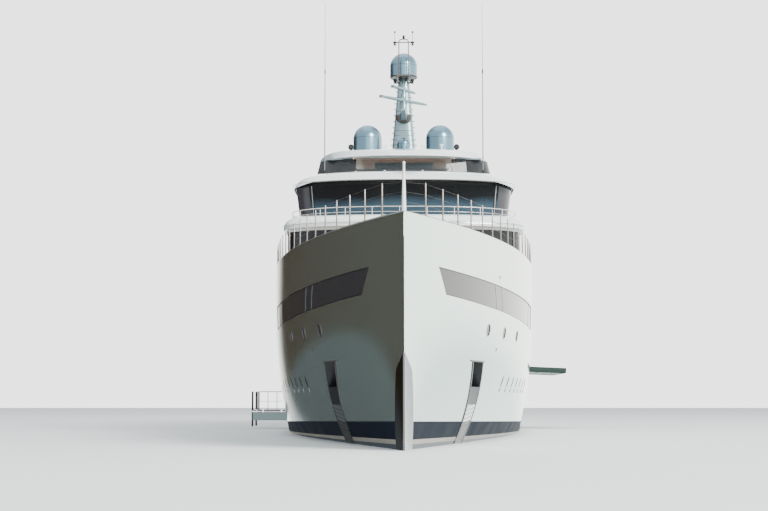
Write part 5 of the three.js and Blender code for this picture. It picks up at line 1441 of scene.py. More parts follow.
def box_house(name, fore, back, half, low, sill, head, high, pitch, door=0.0):
    """A house with two long sides and a back, which may leave a doorway 2 * door wide."""
    walls, panes, bars = Shape(), Shape(), Shape()
    path = box_plan(fore, back, half)
    y = BOW + back
    if door:
        for side in SIDES:
            half_path = [(side * half, BOW + fore), (side * half, y), (side * door, y)]
            half_path = half_path if side > 0 else half_path[::-1]
            band(walls, half_path, -WALL, 0, low, sill)
            band(panes, half_path, *PANE, sill - PANE_LAP, head + PANE_LAP)
            posts_along(walls, [(side * (door + 0.006), y, 0, 1)], 0, 0, low, high, 0.006, WALL)
    else:
        band(walls, path, -WALL, 0, low, sill)
        band(panes, path, *PANE, sill - PANE_LAP, head + PANE_LAP)
    band(walls, path, -WALL, 0, head, high)
    for side in SIDES:
        count = int((back - fore) / pitch)
        spots = [(side * half, BOW + s, side, 0)
                 for s in spread(fore + pitch * 0.6, back - pitch * 0.5, count)]
        posts_along(bars, spots, -0.001, -0.001, sill, head, 0.0035, 0.005)
        ends = [(side * half, BOW + s, side, 0) for s in (fore + 0.03, back - 0.022)]
        posts_along(walls, ends, 0, 0, sill, head, 0.022, WALL)
        posts_along(walls, [(side * (half - 0.022), y, 0, 1)], 0, 0, sill, head, 0.022, WALL)
    frames = Shape()
    for z in (sill, head - 0.002):
        band(frames, path[:2], -0.004, 0.0008, z, z + 0.002)
        band(frames, path[2:], -0.004, 0.0008, z, z + 0.002)
    piece(name + "_walls", walls, [HOUSE], replaces=[name])
    piece(name + "_panes", panes, [DARK_GLASS], replaces=[name + "_glass"])
    piece(name + "_bars", bars, [DARK])
    piece(name + "_frames", frames, [SLATE])


def make_windscreen():
    """Glass round the sun deck's front, with varnished wood and seats behind it. The dark slate panels
    under the hardtop and the darker side panes are painted shade, and the veneer's glow is painted light.
    """
    path = plan(**SCREEN, steps=36)
    pane, line, wood = Shape(), Shape(), Shape()
    foot, top, lean = BROW_CREST - 0.004, HARDTOP_UNDER - 0.001, 0.028
    leaning = [(-0.003, foot), (0, foot), (-lean, top), (-lean - 0.003, top)]
    left_end, right_end = front_spot(path, -0.252)[:2], front_spot(path, 0.252)[:2]
    middle = [(x, y) for x, y in path if abs(x) < 0.252 and y < BOW + 3.1]
    pane.ribbon([left_end, *middle, right_end], leaning)
    # the side panes are darker than the middle one as painted shade
    side_pane = Shape()
    split = path.index(middle[0])
    side_pane.ribbon([*path[:split], left_end], leaning)
    side_pane.ribbon([right_end, *path[split + len(middle):]], leaning)
    line.ribbon(path, [(-lean - 0.003, top - 0.003), (0.0012 - lean, top - 0.003), (0.0006 - lean, top),
                       (-lean - 0.003, top)])
    line.ribbon(path, [(-0.004, foot), (0.0015, foot), (0.0005, foot + 0.006), (-0.004, foot + 0.006)])
    bars = [front_spot(path, x) for x in (-0.35, -0.252, 0.252, 0.35)]
    posts_along(line, bars, -0.0035, -lean - 0.0035, foot, top, 0.0014, 0.003)
    ceiling, dim, veneer = Shape(), Shape(), Shape()
    panel = (HARDTOP_UNDER - 0.006, HARDTOP_UNDER + 0.002)
    veneer.box((-0.262, 0.262), (BOW + 2.84, BOW + 2.955), panel)
    ceiling.box((-0.262, 0.262), (BOW + 3.18, BOW + 3.92), panel)
    # painted shade: dark slate panels under the hardtop, here in the middle and at the sides below
    dim.box((-0.152, 0.152), (BOW + 2.96, BOW + 3.175), panel)
    for side in SIDES:
        veneer.side_box(side, (0.155, 0.262), (BOW + 2.96, BOW + 3.175), panel)
        dim.side_box(side, (0.265, 0.40), (BOW + 2.86, BOW + 3.92), panel)
    slab(wood, plan(3.35, 3.45, 3.6, 0.22), 1.335, 1.35)
    for x in (-0.14, 0.14):
        cushion_block(dim, x - 0.1, x + 0.1, 3.66, 3.74, SUN_DECK, SUN_DECK + 0.05)
    piece("hardtop_ceiling", ceiling, [SOFFIT], bevel=0.001)
    piece("ceiling_veneer", veneer, [GLOWING_CEILING_WOOD], bevel=0.001)
    piece("flying_bridge_seats_and_shade_panels", dim, [SLATE], bevel=0.001)
    piece("windscreen_glass", pane, [SCREEN_GLASS], replaces=["windscreen"])
    piece("windscreen_side_glass", side_pane, [SHADED_SIDE_SCREEN_GLASS])
    piece("windscreen_trim", line, [SLATE])
    piece("flying_bridge_wood", wood, [WOOD], bevel=0.002)


# Hardtop, domes and mast

MAST_FOOT = 1.522
MAST_TALL = 0.468
DOME_SIDE = 0.198
DOME_AT = 3.3
DOME_FOOT = 1.512
SEARCHLIGHT_LEVEL = 1.495
ARCH_HALF = 0.050
ARCH_LEVEL = 2.185
RADARS = (
    {"name": "radar_lower", "level": 1.816, "length": 0.366, "at": 3.374, "turn": 45, "bracket": 0.034},
    {"name": "radar_upper", "level": 1.890, "length": 0.244, "at": 3.440, "turn": 58, "bracket": 0.011},
)


def hardtop_height(x, y):
    along = min(max((y - BOW - 2.75) / 2.3, 0), 1)
    rise = max(sin(pi * along ** 0.85), 0) ** 0.6
    return HARDTOP_UNDER + 0.014 + 0.092 * rise * (1 - min(abs(x / 0.452), 1) ** 3.2)


def make_hardtop():
    """The hardtop: a low rounded shell on pillars, with the domes' seats."""
    shape = Shape()
    rings = []
    for angle in spread(0, pi, 49):
        y = BOW + 3.9 - cos(angle) * 1.15
        fullness = 10 if cos(angle) > 0 else 3.2
        wide = 0.452 * max(1 - abs(cos(angle)) ** fullness, 0.02) ** (1 / 2.2)
        across = [wide * sin(pi / 2 * t) for t in spread(-1, 1, 25)]
        top = [(x, y, hardtop_height(x, y) - 0.001) for x in across]
        edge = 0.005
        under = [(x * (1 - edge / wide), y, HARDTOP_UNDER) for x in reversed(across)]
        rings.append(top + under)
    shape.loft(rings)
    for side in SIDES:
        pillar(shape, side * 0.33, 4.68, SUN_DECK, HARDTOP_UNDER + 0.002, 0.0088)
        shape.turned([(0, HARDTOP_UNDER + 0.01), (0.07, HARDTOP_UNDER + 0.01), (0.066, 1.500),
                      (0.055, DOME_FOOT), (0, DOME_FOOT)],
                     (side * DOME_SIDE, BOW + DOME_AT, 0), 36)
    bed = span_plan(-0.08, 0.08, 3.57, 3.8)
    slab(shape, bed, HARDTOP_UNDER + 0.02, MAST_FOOT, 0.004)
    piece("hardtop_shell", shape, [HOUSE], replaces=["hardtop"], angle=40)
    make_hardtop_gear()


def make_hardtop_gear():
    """Searchlights, cameras, horns, lamps and hatches on the hardtop."""
    dark, lens, pale = Shape(), Shape(), Shape()
    for side in SIDES:
        x, y = side * 0.278, BOW + 3.0
        foot = hardtop_height(x, y) - 0.003
        dark.turned([(0, foot), (0.012, foot), (0.012, foot + 0.004), (0.004, foot + 0.008),
                     (0.004, 1.487), (0, 1.487)], (x, y, 0), 16)
        ball = [(0.015 * sin(a), -0.012 + 0.013 * (1 - cos(a))) for a in spread(0, pi / 2, 6)]
        dark.turned([(0, -0.012), *ball[1:], (0.015, 0.016), (0, 0.016)], (x, y, SEARCHLIGHT_LEVEL), 24,
                    "y")
        lens.rod((x, y, SEARCHLIGHT_LEVEL), 0.011, -0.0125, -0.006, 20, "y")
        horn_y = BOW + 3.12
        horn_foot = hardtop_height(side * 0.1, horn_y)
        dark.rod((side * 0.1, horn_y, 0), 0.003, horn_foot - 0.004, horn_foot + 0.016, 10)
        pale.turned([(0, -0.03), (0.013, -0.03), (0.006, -0.01), (0.003, 0.03), (0, 0.03)],
                    (side * 0.1, horn_y, horn_foot + 0.018), 20, "y")
        for s in (4.0, 4.35):
            lid_foot = hardtop_height(side * 0.18, BOW + s) - 0.004
            lid = rect(side * 0.18, s, 0.05, 0.08)
            slab(pale, lid, lid_foot - 0.012, lid_foot + 0.006, 0.003)
    sensor_y = BOW + 2.93
    sensor_foot = hardtop_height(0.197, sensor_y)
    pale.turned([(0, sensor_foot - 0.004), (0.004, sensor_foot - 0.004), (0.004, sensor_foot + 0.016),
                 (0.009, sensor_foot + 0.02),
                 (0.009, sensor_foot + 0.026), (0, sensor_foot + 0.03)], (0.197, sensor_y, 0), 16)
    piece("searchlights", dark, [DARK], bevel=0.0005)
    piece("searchlight_lenses", lens, [DARK_GLASS], slot="dark_trim")
    piece("hardtop_fittings", pale, [HOUSE])


def dome_profile(radius, height):
    """The outline of a cylinder with a half ball on top."""
    profile = [(0, 0), (radius - 0.003, 0), (radius, 0.004), (radius, height - radius)]
    for angle in spread(0, pi / 2, 14)[1:-1]:
        profile.append((radius * cos(angle), height - radius + radius * sin(angle)))
    return profile + [(0, height)]


def radome(name, x, s, foot, radius, height, node):
    """A radome: metallic shell, dark base rim with its bolts, and a seam round it."""
    y = BOW + s
    shell = Shape().turned(dome_profile(radius, height), (x, y, foot), 56)
    piece(name, shell, [DOME], replaces=[node] if node else [])
    rim = Shape()
    rim.turned([(0, 0.0), (radius - 0.0015, 0.0), (radius + 0.0005, 0.002), (radius + 0.0005, 0.0065),
                (0, 0.0065)],
               (x, y, foot - 0.0005), 56)
    seam = height - radius + 0.002
    rim.turned([(radius - 0.004, seam), (radius + 0.0004, seam), (radius + 0.0004, seam + 0.0012),
                (radius - 0.004, seam + 0.0012), (0, seam + 0.0006)], (x, y, foot), 56)
    for i in range(16):
        angle = 2 * pi * i / 16
        spot = (x + (radius - 0.0005) * cos(angle), y + (radius - 0.0005) * sin(angle), foot + 0.003)
        rim.turned([(0, -0.0012), (0.0011, -0.0012), (0.0011, 0.0012), (0, 0.0014)], spot, 6)
    piece(name + "_rim", rim, [DARK])


def make_domes():
    """Two satcom domes on the hardtop, and two on the mast and before it."""
    for side, word in NAMED_SIDES:
        radome("radome_" + word, side * DOME_SIDE, DOME_AT, DOME_FOOT, 0.0770, 0.152,
               "satcom_dome_" + word)
    radome("radome_mast", 0, 3.64, 1.998, 0.0775, 0.143, "mast_dome")
    radome("radome_small", 0, 3.536, 1.516, 0.0365, 0.119, None)


def mast_ring(w, grow=0.0):
    """The mast's section at part w of its height: a rounded box that turns round towards the top."""
    half = 0.072 + (0.030 - 0.072) * w + grow
    fore = BOW + 3.584 + 0.030 * w - grow
    aft = BOW + 3.760 - 0.095 * w + grow
    power = 2 / (5.0 - 2.8 * w)
    ring = []
    for angle in turns(40):
        a, b = cos(angle), sin(angle)
        x = half * abs(a) ** power * (1 if a > 0 else -1)
        y = (fore + aft) / 2 + (aft - fore) / 2 * abs(b) ** power * (1 if b > 0 else -1)
        ring.append((x, y, MAST_FOOT + MAST_TALL * w))
    return ring


def make_mast():
    """The mast: its column, the radars' brackets, the table and the bowl."""
    shape = Shape()
    shape.loft([mast_ring(w) for w in spread(0, 1, 16)])
    table = rect(0, 3.624, 0.044, 0.086)
    under = Shape()
    slab(under, table, 1.989, 1.9985, 0.002)
    under.tube([(-0.052, BOW + 3.62, 1.966), (0.052, BOW + 3.62, 1.966)], 0.004, 12)
    bowl = [(0, 1.728), (0.012, 1.7285), (0.026, 1.733), (0.037, 1.741), (0.0445, 1.753),
            (0.048, 1.766), (0.048, 1.773), (0.046, 1.775), (0, 1.775)]
    under.turned(bowl, (0, BOW + 3.6, 0), 40)
    shape.box((-0.008, 0.008), (BOW + 3.556, BOW + 3.6), (1.53, 1.546))
    for radar in RADARS:
        at, drop = radar["at"], radar["bracket"]
        seat = radar["level"] - 0.014
        foot = seat - 0.034
        rings = []
        for t in spread(0, 1, 6):
            half, depth = 0.014 + 0.010 * t, 0.010 + (drop - 0.010) * t ** 1.5
            y = BOW + at - 0.016 + (3.65 - at) * t
            rings.append([(-half, y, foot), (half, y, foot), (half * 0.7, y, foot - depth),
                          (-half * 0.7, y, foot - depth)])
        shape.loft(rings)
        shape.turned([(0, foot - 0.001), (0.017, foot - 0.001), (0.017, foot + 0.022),
                      (0.013, seat - 0.0003), (0, seat - 0.0003)],
                     (0, BOW + at, 0), 28)
    piece("mast_column", shape, [MAST], slot="house_paint", replaces=["mast"], angle=38)
    piece("mast_table_and_bowl", under, [CAP], slot="dark_trim", angle=38)
    make_mast_details()
    make_mast_arch()


def make_mast_details():
    """Seams, louvres, rungs and lamps on the mast."""
    seams, rungs, lamps, red, green = Shape(), Shape(), Shape(), Shape(), Shape()
    for z in (1.580, 1.606, 1.631, 1.658, 1.687, 1.80, 1.88):
        w = (z - MAST_FOOT) / MAST_TALL
        ring = [(x, y) for x, y, _ in mast_ring(w, 0.0004)]
        inner = [(x, y) for x, y, _ in mast_ring(w, -0.002)]
        rings = [[(x, y, z) for x, y in ring], [(x, y, z + 0.002) for x, y in ring]]
        seams.loft([[(x, y, z) for x, y in inner], *rings, [(x, y, z + 0.002) for x, y in inner]])
    for side in SIDES:
        for i in range(12):
            z = 1.545 + 0.034 * i
            w = (z - MAST_FOOT) / MAST_TALL
            half = 0.072 - 0.042 * w
            y = BOW + 3.665 - 0.03 * w
            points = [(side * (half - 0.001), y - 0.012, z), (side * (half + 0.008), y - 0.012, z),
                      (side * (half + 0.008), y + 0.012, z), (side * (half - 0.001), y + 0.012, z)]
            rungs.tube(points, 0.0016, 6)
        lamps.turned([(0, -0.016), (0.008, -0.016), (0.008, -0.009), (0.005, -0.006), (0.011, -0.003),
                      (0.011, 0.009), (0, 0.012)],
                     (side * 0.049, BOW + 3.60, 1.974), 14)
    for i in range(5):
        z = 1.64 + 0.009 * i
        w = (z - MAST_FOOT) / MAST_TALL
        y = BOW + 3.584 + 0.03 * w
        rungs.box((-0.022, 0.022), (y - 0.002, y + 0.004), (z, z + 0.003))
    piece("mast_seams", seams, [DARK])
    piece("mast_rungs", rungs, [SLATE], slot="stainless")
    piece("mast_lamps", lamps, [DARK])
    for side, shape, finish, name in ((1, red, RED_LAMP, "port_lamp"),
                                      (-1, green, GREEN_LAMP, "starboard_lamp")):
        shape.turned([(0, 0), (0.0065, 0), (0.0065, 0.002), (0.005, 0.003), (0.005, 0.009),
                      (0.0065, 0.010), (0.0055, 0.012), (0, 0.013)],
                     (side * 0.524, BOW + 2.79, 1.262), 16)
        piece(name, shape, [finish])


def make_mast_arch():
    """The lamp arch in front of the mast's radome, with two whips and the masthead lamp."""
    arch, black, cups = Shape(), Shape(), Shape()
    y = BOW + 3.55
    for side in SIDES:
        arch.tube([(side * 0.027, y, 1.99), (side * 0.027, y, 2.19), (side * 0.02, y, 2.2015),
                   (0, y, 2.2035)], 0.0031, 10)
        arch.tube([(side * ARCH_HALF, y, ARCH_LEVEL), (side * ARCH_HALF, y, 2.25)], [0.0018, 0.0012], 8)
        for low, radius in ((-0.018, 0.007), (-0.008, 0.0035), (-0.005, 0.0105)):
            black.rod((side * ARCH_HALF, y, ARCH_LEVEL), radius, low, low + 0.008, 16)
        cups.turned([(0, -0.002), (0.0018, -0.002), (0.0055, 0.003), (0.0055, 0.008), (0, 0.0085)],
                    (side * ARCH_HALF, y, 2.240), 12)
    arch.tube([(-ARCH_HALF, y, ARCH_LEVEL), (ARCH_HALF, y, ARCH_LEVEL)], 0.0031, 10)
    black.turned([(0, 2.200), (0.0055, 2.202), (0.0035, 2.206), (0.0075, 2.209), (0.0075, 2.221),
                  (0.004, 2.226), (0, 2.2265)], (0, y, 0), 16)
    for x in (-0.016, 0.016):
        black.turned([(0, 1.965), (0.006, 1.965), (0.0075, 1.972), (0.006, 1.985), (0, 1.987)],
                     (x, BOW + 3.575, 0), 14)
    piece("mast_arch", arch, [CAP])
    piece("arch_lamps", black, [DARK])
    piece("arch_cups", cups, [DARK], slot="stainless")


def make_radars():
    """Radar arms with rounded ends, turned as they stand in the photo."""
    for radar in RADARS:
        name, length = radar["name"], radar["length"]
        arm, ends = Shape(), Shape()
        rings = []
        for t in spread(-1, 1, 25):
            taper = (1 - 0.45 * abs(t) ** 5) if abs(t) < 1 else 0.5
            ring = []
            for angle in turns(20):
                a, b = cos(angle), sin(angle)
                ring.append((t * length / 2, 0.011 * taper * abs(a) ** 0.7 * (1 if a > 0 else -1),
                             0.008 * taper * abs(b) ** 0.7 * (1 if b > 0 else -1)))
            rings.append(ring)
        arm.loft(rings)
        arm.turned([(0, -0.014), (0.010, -0.014), (0.009, -0.004), (0, -0.004)], (0, 0, 0), 24)
        ends.box((-length / 2 + 0.002, -length / 2 + 0.026), (-0.0096, 0.0096), (-0.0070, 0.0070))
        ends.box((-length / 2 + 0.03, length / 2 - 0.03), (-0.0113, 0.0113), (-0.0008, 0.0008))
        for shape in (arm, ends):
            put(shape, 0, 0, radar["at"], radar["level"], radians(radar["turn"]))
        piece(name + "_scanner", arm, [MAST], body=name, replaces=[name])
        piece(name + "_marks", ends, [SLATE], body=name, bevel=0.001)


def make_whips():
    """Two whip antennas, thinner towards the top, on jointed feet."""
    for side, word in NAMED_SIDES:
        x, y = side * 0.405, BOW + 2.785
        whip, joints = Shape(), Shape()
        whip.tube([(x, y, BROW_TOP + 0.02), (x, y, BROW_TOP + 0.53)], [0.0030, 0.0022], 10)
        whip.tube([(x, y, BROW_TOP + 0.53), (x, y, BROW_TOP + 0.884)], [0.0016, 0.0009], 10)
        joints.turned([(0, 0), (0.007, 0), (0.007, 0.004), (0.0048, 0.008), (0.0044, 0.034),
                       (0, 0.034)], (x, y, BROW_CREST), 16)
        joints.turned([(0, 0.52), (0.0032, 0.52), (0.0034, 0.536), (0.002, 0.542), (0, 0.542)],
                      (x, y, BROW_TOP), 12)
        piece("whip_" + word, whip, [WHIP_GREY], replaces=["whip_antenna_" + word])
        piece("whip_joints_" + word, joints, [RUBBER])


# Gear on the decks

def bollard(shape, x, s, level, turn):
    """A pair of bitts on one plate."""
    start = len(shape.points)
    shape.loft([[(a * 0.03, b * 0.011, z) for a, b in ((-1, -1), (1, -1), (1, 1), (-1, 1))]
                for z in (0, 0.003)])
    for place in (-0.016, 0.016):
        profile = [(0, 0.002), (0.0055, 0.002), (0.005, 0.016), (0.0075, 0.018), (0.0075, 0.021),
                   (0.005, 0.0225), (0, 0.0225)]
        shape.turned(profile, (place, 0, 0), 16)
    put(shape, start, x, s, level, turn)


def make_windlasses():
    """Two windlasses with their drums, brakes and chain."""
    for side, word in NAMED_SIDES:
        x, y, z = side * 0.092, BOW + 0.98, FOREDECK
        shape, dark = Shape(), Shape()
        bed = rect(x, 0.98, 0.034, 0.04)
        slab(shape, bed, z, z + 0.008, 0.002)
        drum = [(0, 0.006), (0.022, 0.006), (0.022, 0.013), (0.0165, 0.017), (0.0145, 0.021),
                (0.0145, 0.029), (0.0165, 0.034), (0.020, 0.038), (0.020, 0.043), (0.012, 0.0455),
                (0, 0.0455)]
        shape.turned(drum, (x, y - 0.006, z), 36)
        for i in range(8):
            angle = 2 * pi * i / 8
            spot = (x + 0.0185 * cos(angle), y - 0.006 + 0.0185 * sin(angle), z + 0.017)
            shape.rod(spot, 0.003, -0.0015, 0.0045, 8)
        gear = rect(x, 0.98 + 0.026, 0.018, 0.011)
        slab(shape, gear, z + 0.007, z + 0.024, 0.003)
        dark.turned([(0, -0.023), (0.006, -0.022), (0.006, -0.018), (0.004, -0.017), (0.004, 0.017),
                     (0.006, 0.018), (0.006, 0.022), (0, 0.023)], (x, y + 0.026, z + 0.018), 12, "x")
        piece("windlass_gear_" + word, shape, [STEEL], replaces=["windlass_" + word], bevel=0.0004)
        piece("windlass_shaft_" + word, dark, [DARK])
        chain(word, side)


def chain(word, side):
    """The anchor chain from the windlass to its pipe, and the stopper between."""
    links, stopper = Shape(), Shape()
    start = Vector((side * 0.092, BOW + 0.955, FOREDECK + 0.017))
    end = Vector((side * 0.115, BOW + 0.80, FOREDECK + 0.004))
    count = 15
    for i in range(count):
        middle = start.lerp(end, (i + 0.5) / count)
        run = (end - start).normalized()
        across = Vector((run.y, -run.x, 0)).normalized() if i % 2 else Vector((0, 0, 1))
        path = [middle + run * 0.0066 * cos(a) + across * 0.0036 * sin(a) for a in turns(10)]
        links.tube(path, 0.0013, 6, True)
    spot = start.lerp(end, 0.55)
    outline_path = rect(spot.x, spot.y - BOW, 0.011, 0.012)
    slab(stopper, outline_path, FOREDECK, FOREDECK + 0.006, 0.001)
    stopper.rod((spot.x, spot.y, FOREDECK + 0.016), 0.0025, -0.014, 0.014, 10, "x")
    for place in (-0.0105, 0.0105):
        stopper.box((spot.x + place - 0.0015, spot.x + place + 0.0015),
                    (spot.y - 0.006, spot.y + 0.006), (FOREDECK + 0.004, FOREDECK + 0.02))
    stopper.turned([(0, 0), (0.016, 0), (0.013, 0.005), (0.008, 0.005), (0.0075, 0.002), (0, 0.002)],
                   (end.x, end.y, FOREDECK), 24)
    piece("anchor_chain_" + word, links, [STEEL])
    piece("chain_stopper_" + word, stopper, [STEEL], bevel=0.0004)


def make_anchors():
    """Anchors stowed in their pockets: shank, crown and two flukes."""
    for side, word in NAMED_SIDES:
        x, y, z = side * POCKET["back"], BOW + 0.80, 0.262
        shape = Shape()
        shape.tube([(x + side * 0.009, y, z + 0.042), (x + side * 0.009, y, z - 0.036)],
                   [0.005, 0.0075], 12)
        shape.tube([(x + side * 0.014, y - 0.042, z - 0.034), (x + side * 0.018, y, z - 0.036),
                    (x + side * 0.014, y + 0.042, z - 0.034)], [0.006, 0.0095, 0.006], 12)
        for way in (-1, 1):
            rings = []
            for t in spread(0, 1, 9):
                wide = 0.0125 * (1 - t) ** 0.7 + 0.0012
                out = 0.018 + 0.026 * t
                thick = 0.0035 * (1 - 0.6 * t)
                mid = y + way * (0.027 + 0.004 * sin(pi * t))
                level = z - 0.030 + 0.062 * t
                rings.append([(x + side * (out - thick), mid, level),
                              (x + side * out, mid - wide, level),
                              (x + side * (out + thick), mid, level),
                              (x + side * out, mid + wide, level)])
            shape.loft(rings)
        shape.rod((x + side * 0.009, y, z + 0.036), 0.008, -0.003, 0.003, 16, "y")
        piece("bower_anchor_" + word, shape, [STEEL], replaces=["anchor_" + word], angle=30)


def make_foredeck():
    """Breakwater, vents, bitts, lockers and the helicopter circle's lashing points."""
    steel, pale, dark = Shape(), Shape(), Shape()
    for side in SIDES:
        for s in (0.55, 1.28, 2.02):
            half = float(hull_half(s, FOREDECK)) - 0.055
            bollard(steel, side * min(half, 0.5), s, FOREDECK, side * 1.1)
        for s, x in ((1.38, 0.12), (1.38, 0.21), (1.95, 0.3)):
            pale.turned([(0, 0), (0.010, 0), (0.008, 0.004), (0.008, 0.018), (0.016, 0.021),
                         (0.015, 0.028), (0, 0.032)], (side * x, BOW + s, FOREDECK), 24)
        lid = rect(side * 0.28, 1.72, 0.05, 0.07)
        slab(pale, lid, FOREDECK, FOREDECK + 0.03, 0.004)
        dark.box((side * 0.28 - 0.052, side * 0.28 + 0.052), (BOW + 1.648, BOW + 1.792),
                 (FOREDECK + 0.0195, FOREDECK + 0.0205))
        for s in (2.9, 3.1, 3.3):
            pale.turned([(0, 0), (0.012, 0), (0.012, 0.045), (0.009, 0.05), (0, 0.051)],
                        (side * 0.595, BOW + s, FOREDECK), 20)
    path = [(x, BOW + 1.16 + 0.16 * abs(x / 0.24) ** 1.6) for x in spread(-0.24, 0.24, 21)]
    pale.ribbon(path[::-1], [(-0.003, FOREDECK), (0.003, FOREDECK), (0.0015, FOREDECK + 0.042),
                             (-0.0015, FOREDECK + 0.042)])
    for x in (-0.15, -0.05, 0.05, 0.15):
        y = BOW + 1.175 + 0.16 * abs(x / 0.24) ** 1.6
        pale.prism([(x - 0.001, y), (x + 0.001, y), (x + 0.001, y + 0.03), (x - 0.001, y + 0.03)],
                   FOREDECK, FOREDECK + 0.03)
    piece("foredeck_bitts", steel, [STEEL])
    piece("foredeck_fittings", pale, [HOUSE], bevel=0.0004)
    piece("foredeck_seals", dark, [RUBBER])
    make_hatch()


def make_hatch():
    """The foredeck hatch: a lid with a raised pane, hinges and a dog, over its coaming's gasket."""
    lid, pane, gasket = Shape(), Shape(), Shape()
    middle = BOW + (HATCH["fore"] + HATCH["aft"]) / 2
    fore, aft, half = HATCH["fore"] + 0.0005, HATCH["aft"] - 0.0005, HATCH["half"] - 0.0005
    level = FOREDECK + HATCH["coaming"] + 0.0005
    outline_path = span_plan(-half, half, fore, aft)
    slab(lid, outline_path, level, level + 0.0075, 0.0015)
    for x in (-0.05, 0.05):
        lid.rod((x, BOW + fore + 0.004, level + 0.0075), 0.003, -0.01, 0.01, 12, "x")
        lid.box((x - 0.006, x + 0.006), (BOW + aft - 0.02, BOW + aft - 0.005),
                (level + 0.007, level + 0.0105))
    inner = [(x * 0.72, middle + (y - middle) * 0.72) for x, y in outline_path]
    slab(pane, inner, level + 0.0068, level + 0.0084, 0.0005)
    piece("hatch_lid", lid, [HOUSE], body="foredeck_hatch", replaces=["foredeck_hatch"], bevel=0.0003)
    piece("hatch_pane", pane, [DARK_GLASS], body="foredeck_hatch")
    ring = [(x * 0.93, middle + (y - middle) * 0.93) for x, y in outline_path]
    gasket.tube([(x, y, level - 0.0015) for x, y in ring], 0.0015, 8, True)
    piece("hatch_gasket", gasket, [RUBBER])


def lounger(shape, cushion, x, s, level):
    """A sun lounger with its back raised."""
    start, soft = len(shape.points), len(cushion.points)
    for a in (-0.022, 0.022):
        shape.tube([(a, -0.075, 0.014), (a, 0.03, 0.014), (a, 0.07, 0.036)], 0.0018, 8)
        for b in (-0.06, 0.02):
            shape.tube([(a, b, 0.0), (a, b, 0.014)], 0.0016, 8)
    section = [(-0.024, 0.0), (0.024, 0.0), (0.026, 0.004), (0.022, 0.009), (-0.022, 0.009),
               (-0.026, 0.004)]
    rings = [[(a, b, height + z) for a, z in section]
             for b, height in ((-0.078, 0.015), (0.028, 0.015), (0.034, 0.017), (0.072, 0.037))]
    cushion.loft(rings)
    put(shape, start, x, s, level, 0)
    put(cushion, soft, x, s, level, 0)


def cushion_block(shape, x0, x1, s0, s1, low, high):
    outline_path = span_plan(x0, x1, s0, s1)
    slab(shape, outline_path, low, high, min(0.006, (high - low) * 0.4))


def make_deck_furniture():
    """Sofas, tables, loungers and a spa pool on the open decks aft."""
    frames, soft, wood, white, water = Shape(), Shape(), Shape(), Shape(), Shape()
    for x in (-0.36, -0.24, 0.24, 0.36):
        lounger(frames, soft, x, 5.95, SUN_DECK + 0.001)
    spa = (0, BOW + 5.55, SUN_DECK)
    white.turned([(0, 0), (0.16, 0), (0.165, 0.03), (0.16, 0.042), (0.125, 0.042), (0.12, 0.03),
                  (0, 0.03)], spa, 56)
    ripples = [(0.121 - 0.0055 * i, 0.034 + 0.0005 * sin(1.9 * i)) for i in range(22)]
    water.turned([(0, 0.029), (0.121, 0.029), *ripples, (0, 0.034)], spa, 56)
    for level, s0, half, table in ((BRIDGE_DECK, 5.55, 0.34, 6.0), (UPPER_DECK, 6.32, 0.36, 6.62),
                                   (MAIN_DECK, 6.95, 0.34, 7.25)):
        base = level + 0.001
        cushion_block(white, -half, half, s0, s0 + 0.09, base, base + 0.022)
        for i in range(4):
            wide = 2 * half / 4
            left, right = -half + wide * i + 0.002, -half + wide * (i + 1) - 0.002
            cushion_block(soft, left, right, s0, s0 + 0.088, base + 0.022, base + 0.034)
            cushion_block(soft, left, right, s0 + 0.002, s0 + 0.02, base + 0.032, base + 0.062)
        wood.turned([(0, 0.038), (0.12, 0.038), (0.123, 0.041), (0.12, 0.044), (0, 0.044)],
                    (0, BOW + table, base), 48)
        frames.turned([(0, 0), (0.04, 0), (0.035, 0.003), (0.006, 0.006), (0.006, 0.038), (0, 0.038)],
                      (0, BOW + table, base), 24)
        for i in range(6):
            angle = pi / 6 + pi / 3 * i
            chair(frames, soft, 0.175 * cos(angle), table + 0.175 * sin(angle), base, angle)
    piece("deck_frames", frames, [STEEL])
    piece("deck_cushions", soft, [FABRIC], angle=45)
    piece("deck_tables", wood, [WOOD])
    piece("deck_fixtures", white, [HOUSE], bevel=0.0008)
    piece("spa_water", water, [WATER])


def chair(frame_shape, soft, x, s, level, turn):
    """A chair turned to face its table."""
    start, cushions = len(frame_shape.points), len(soft.points)
    for a in (-0.017, 0.017):
        for b in (-0.017, 0.017):
            frame_shape.tube([(a, b, 0), (a, b, 0.022 if a < 0 else 0.048)], 0.0014, 6)
    rings = [[(-0.019, -0.019, z), (0.019, -0.019, z), (0.019, 0.019, z), (-0.019, 0.019, z)]
             for z in (0.022, 0.029)]
    soft.loft(rings)
    soft.loft([[(0.014, -0.018, z), (0.019, -0.018, z), (0.019, 0.018, z), (0.014, 0.018, z)]
               for z in (0.03, 0.052)])
    put(frame_shape, start, x, s, level, turn)
    put(soft, cushions, x, s, level, turn)


def make_lift_house():
    """The house of the lift and stairs on the sun deck, with its small windows."""
    shape, dark = Shape(), Shape()
    path = plan(3.95, 4.02, 4.6, 0.24, steps=24)
    shape.prism(path, SUN_DECK, HARDTOP_UNDER)
    for side in SIDES:
        x = sorted((side * 0.2392, side * 0.2408))
        dark.box(x, (BOW + 4.12, BOW + 4.36), (1.30, 1.38))
    dark.box((-0.05, 0.05), (BOW + 4.5995, BOW + 4.6008), (SUN_DECK + 0.008, 1.385))
    dark.box((-0.15, 0.15), (BOW + 3.9492, BOW + 3.9505), (1.30, 1.38))
    piece("lift_house_walls", shape, [HOUSE], replaces=["lift_house"], angle=30)
    piece("lift_house_panes", dark, [DARK_GLASS], bevel=0.0003)


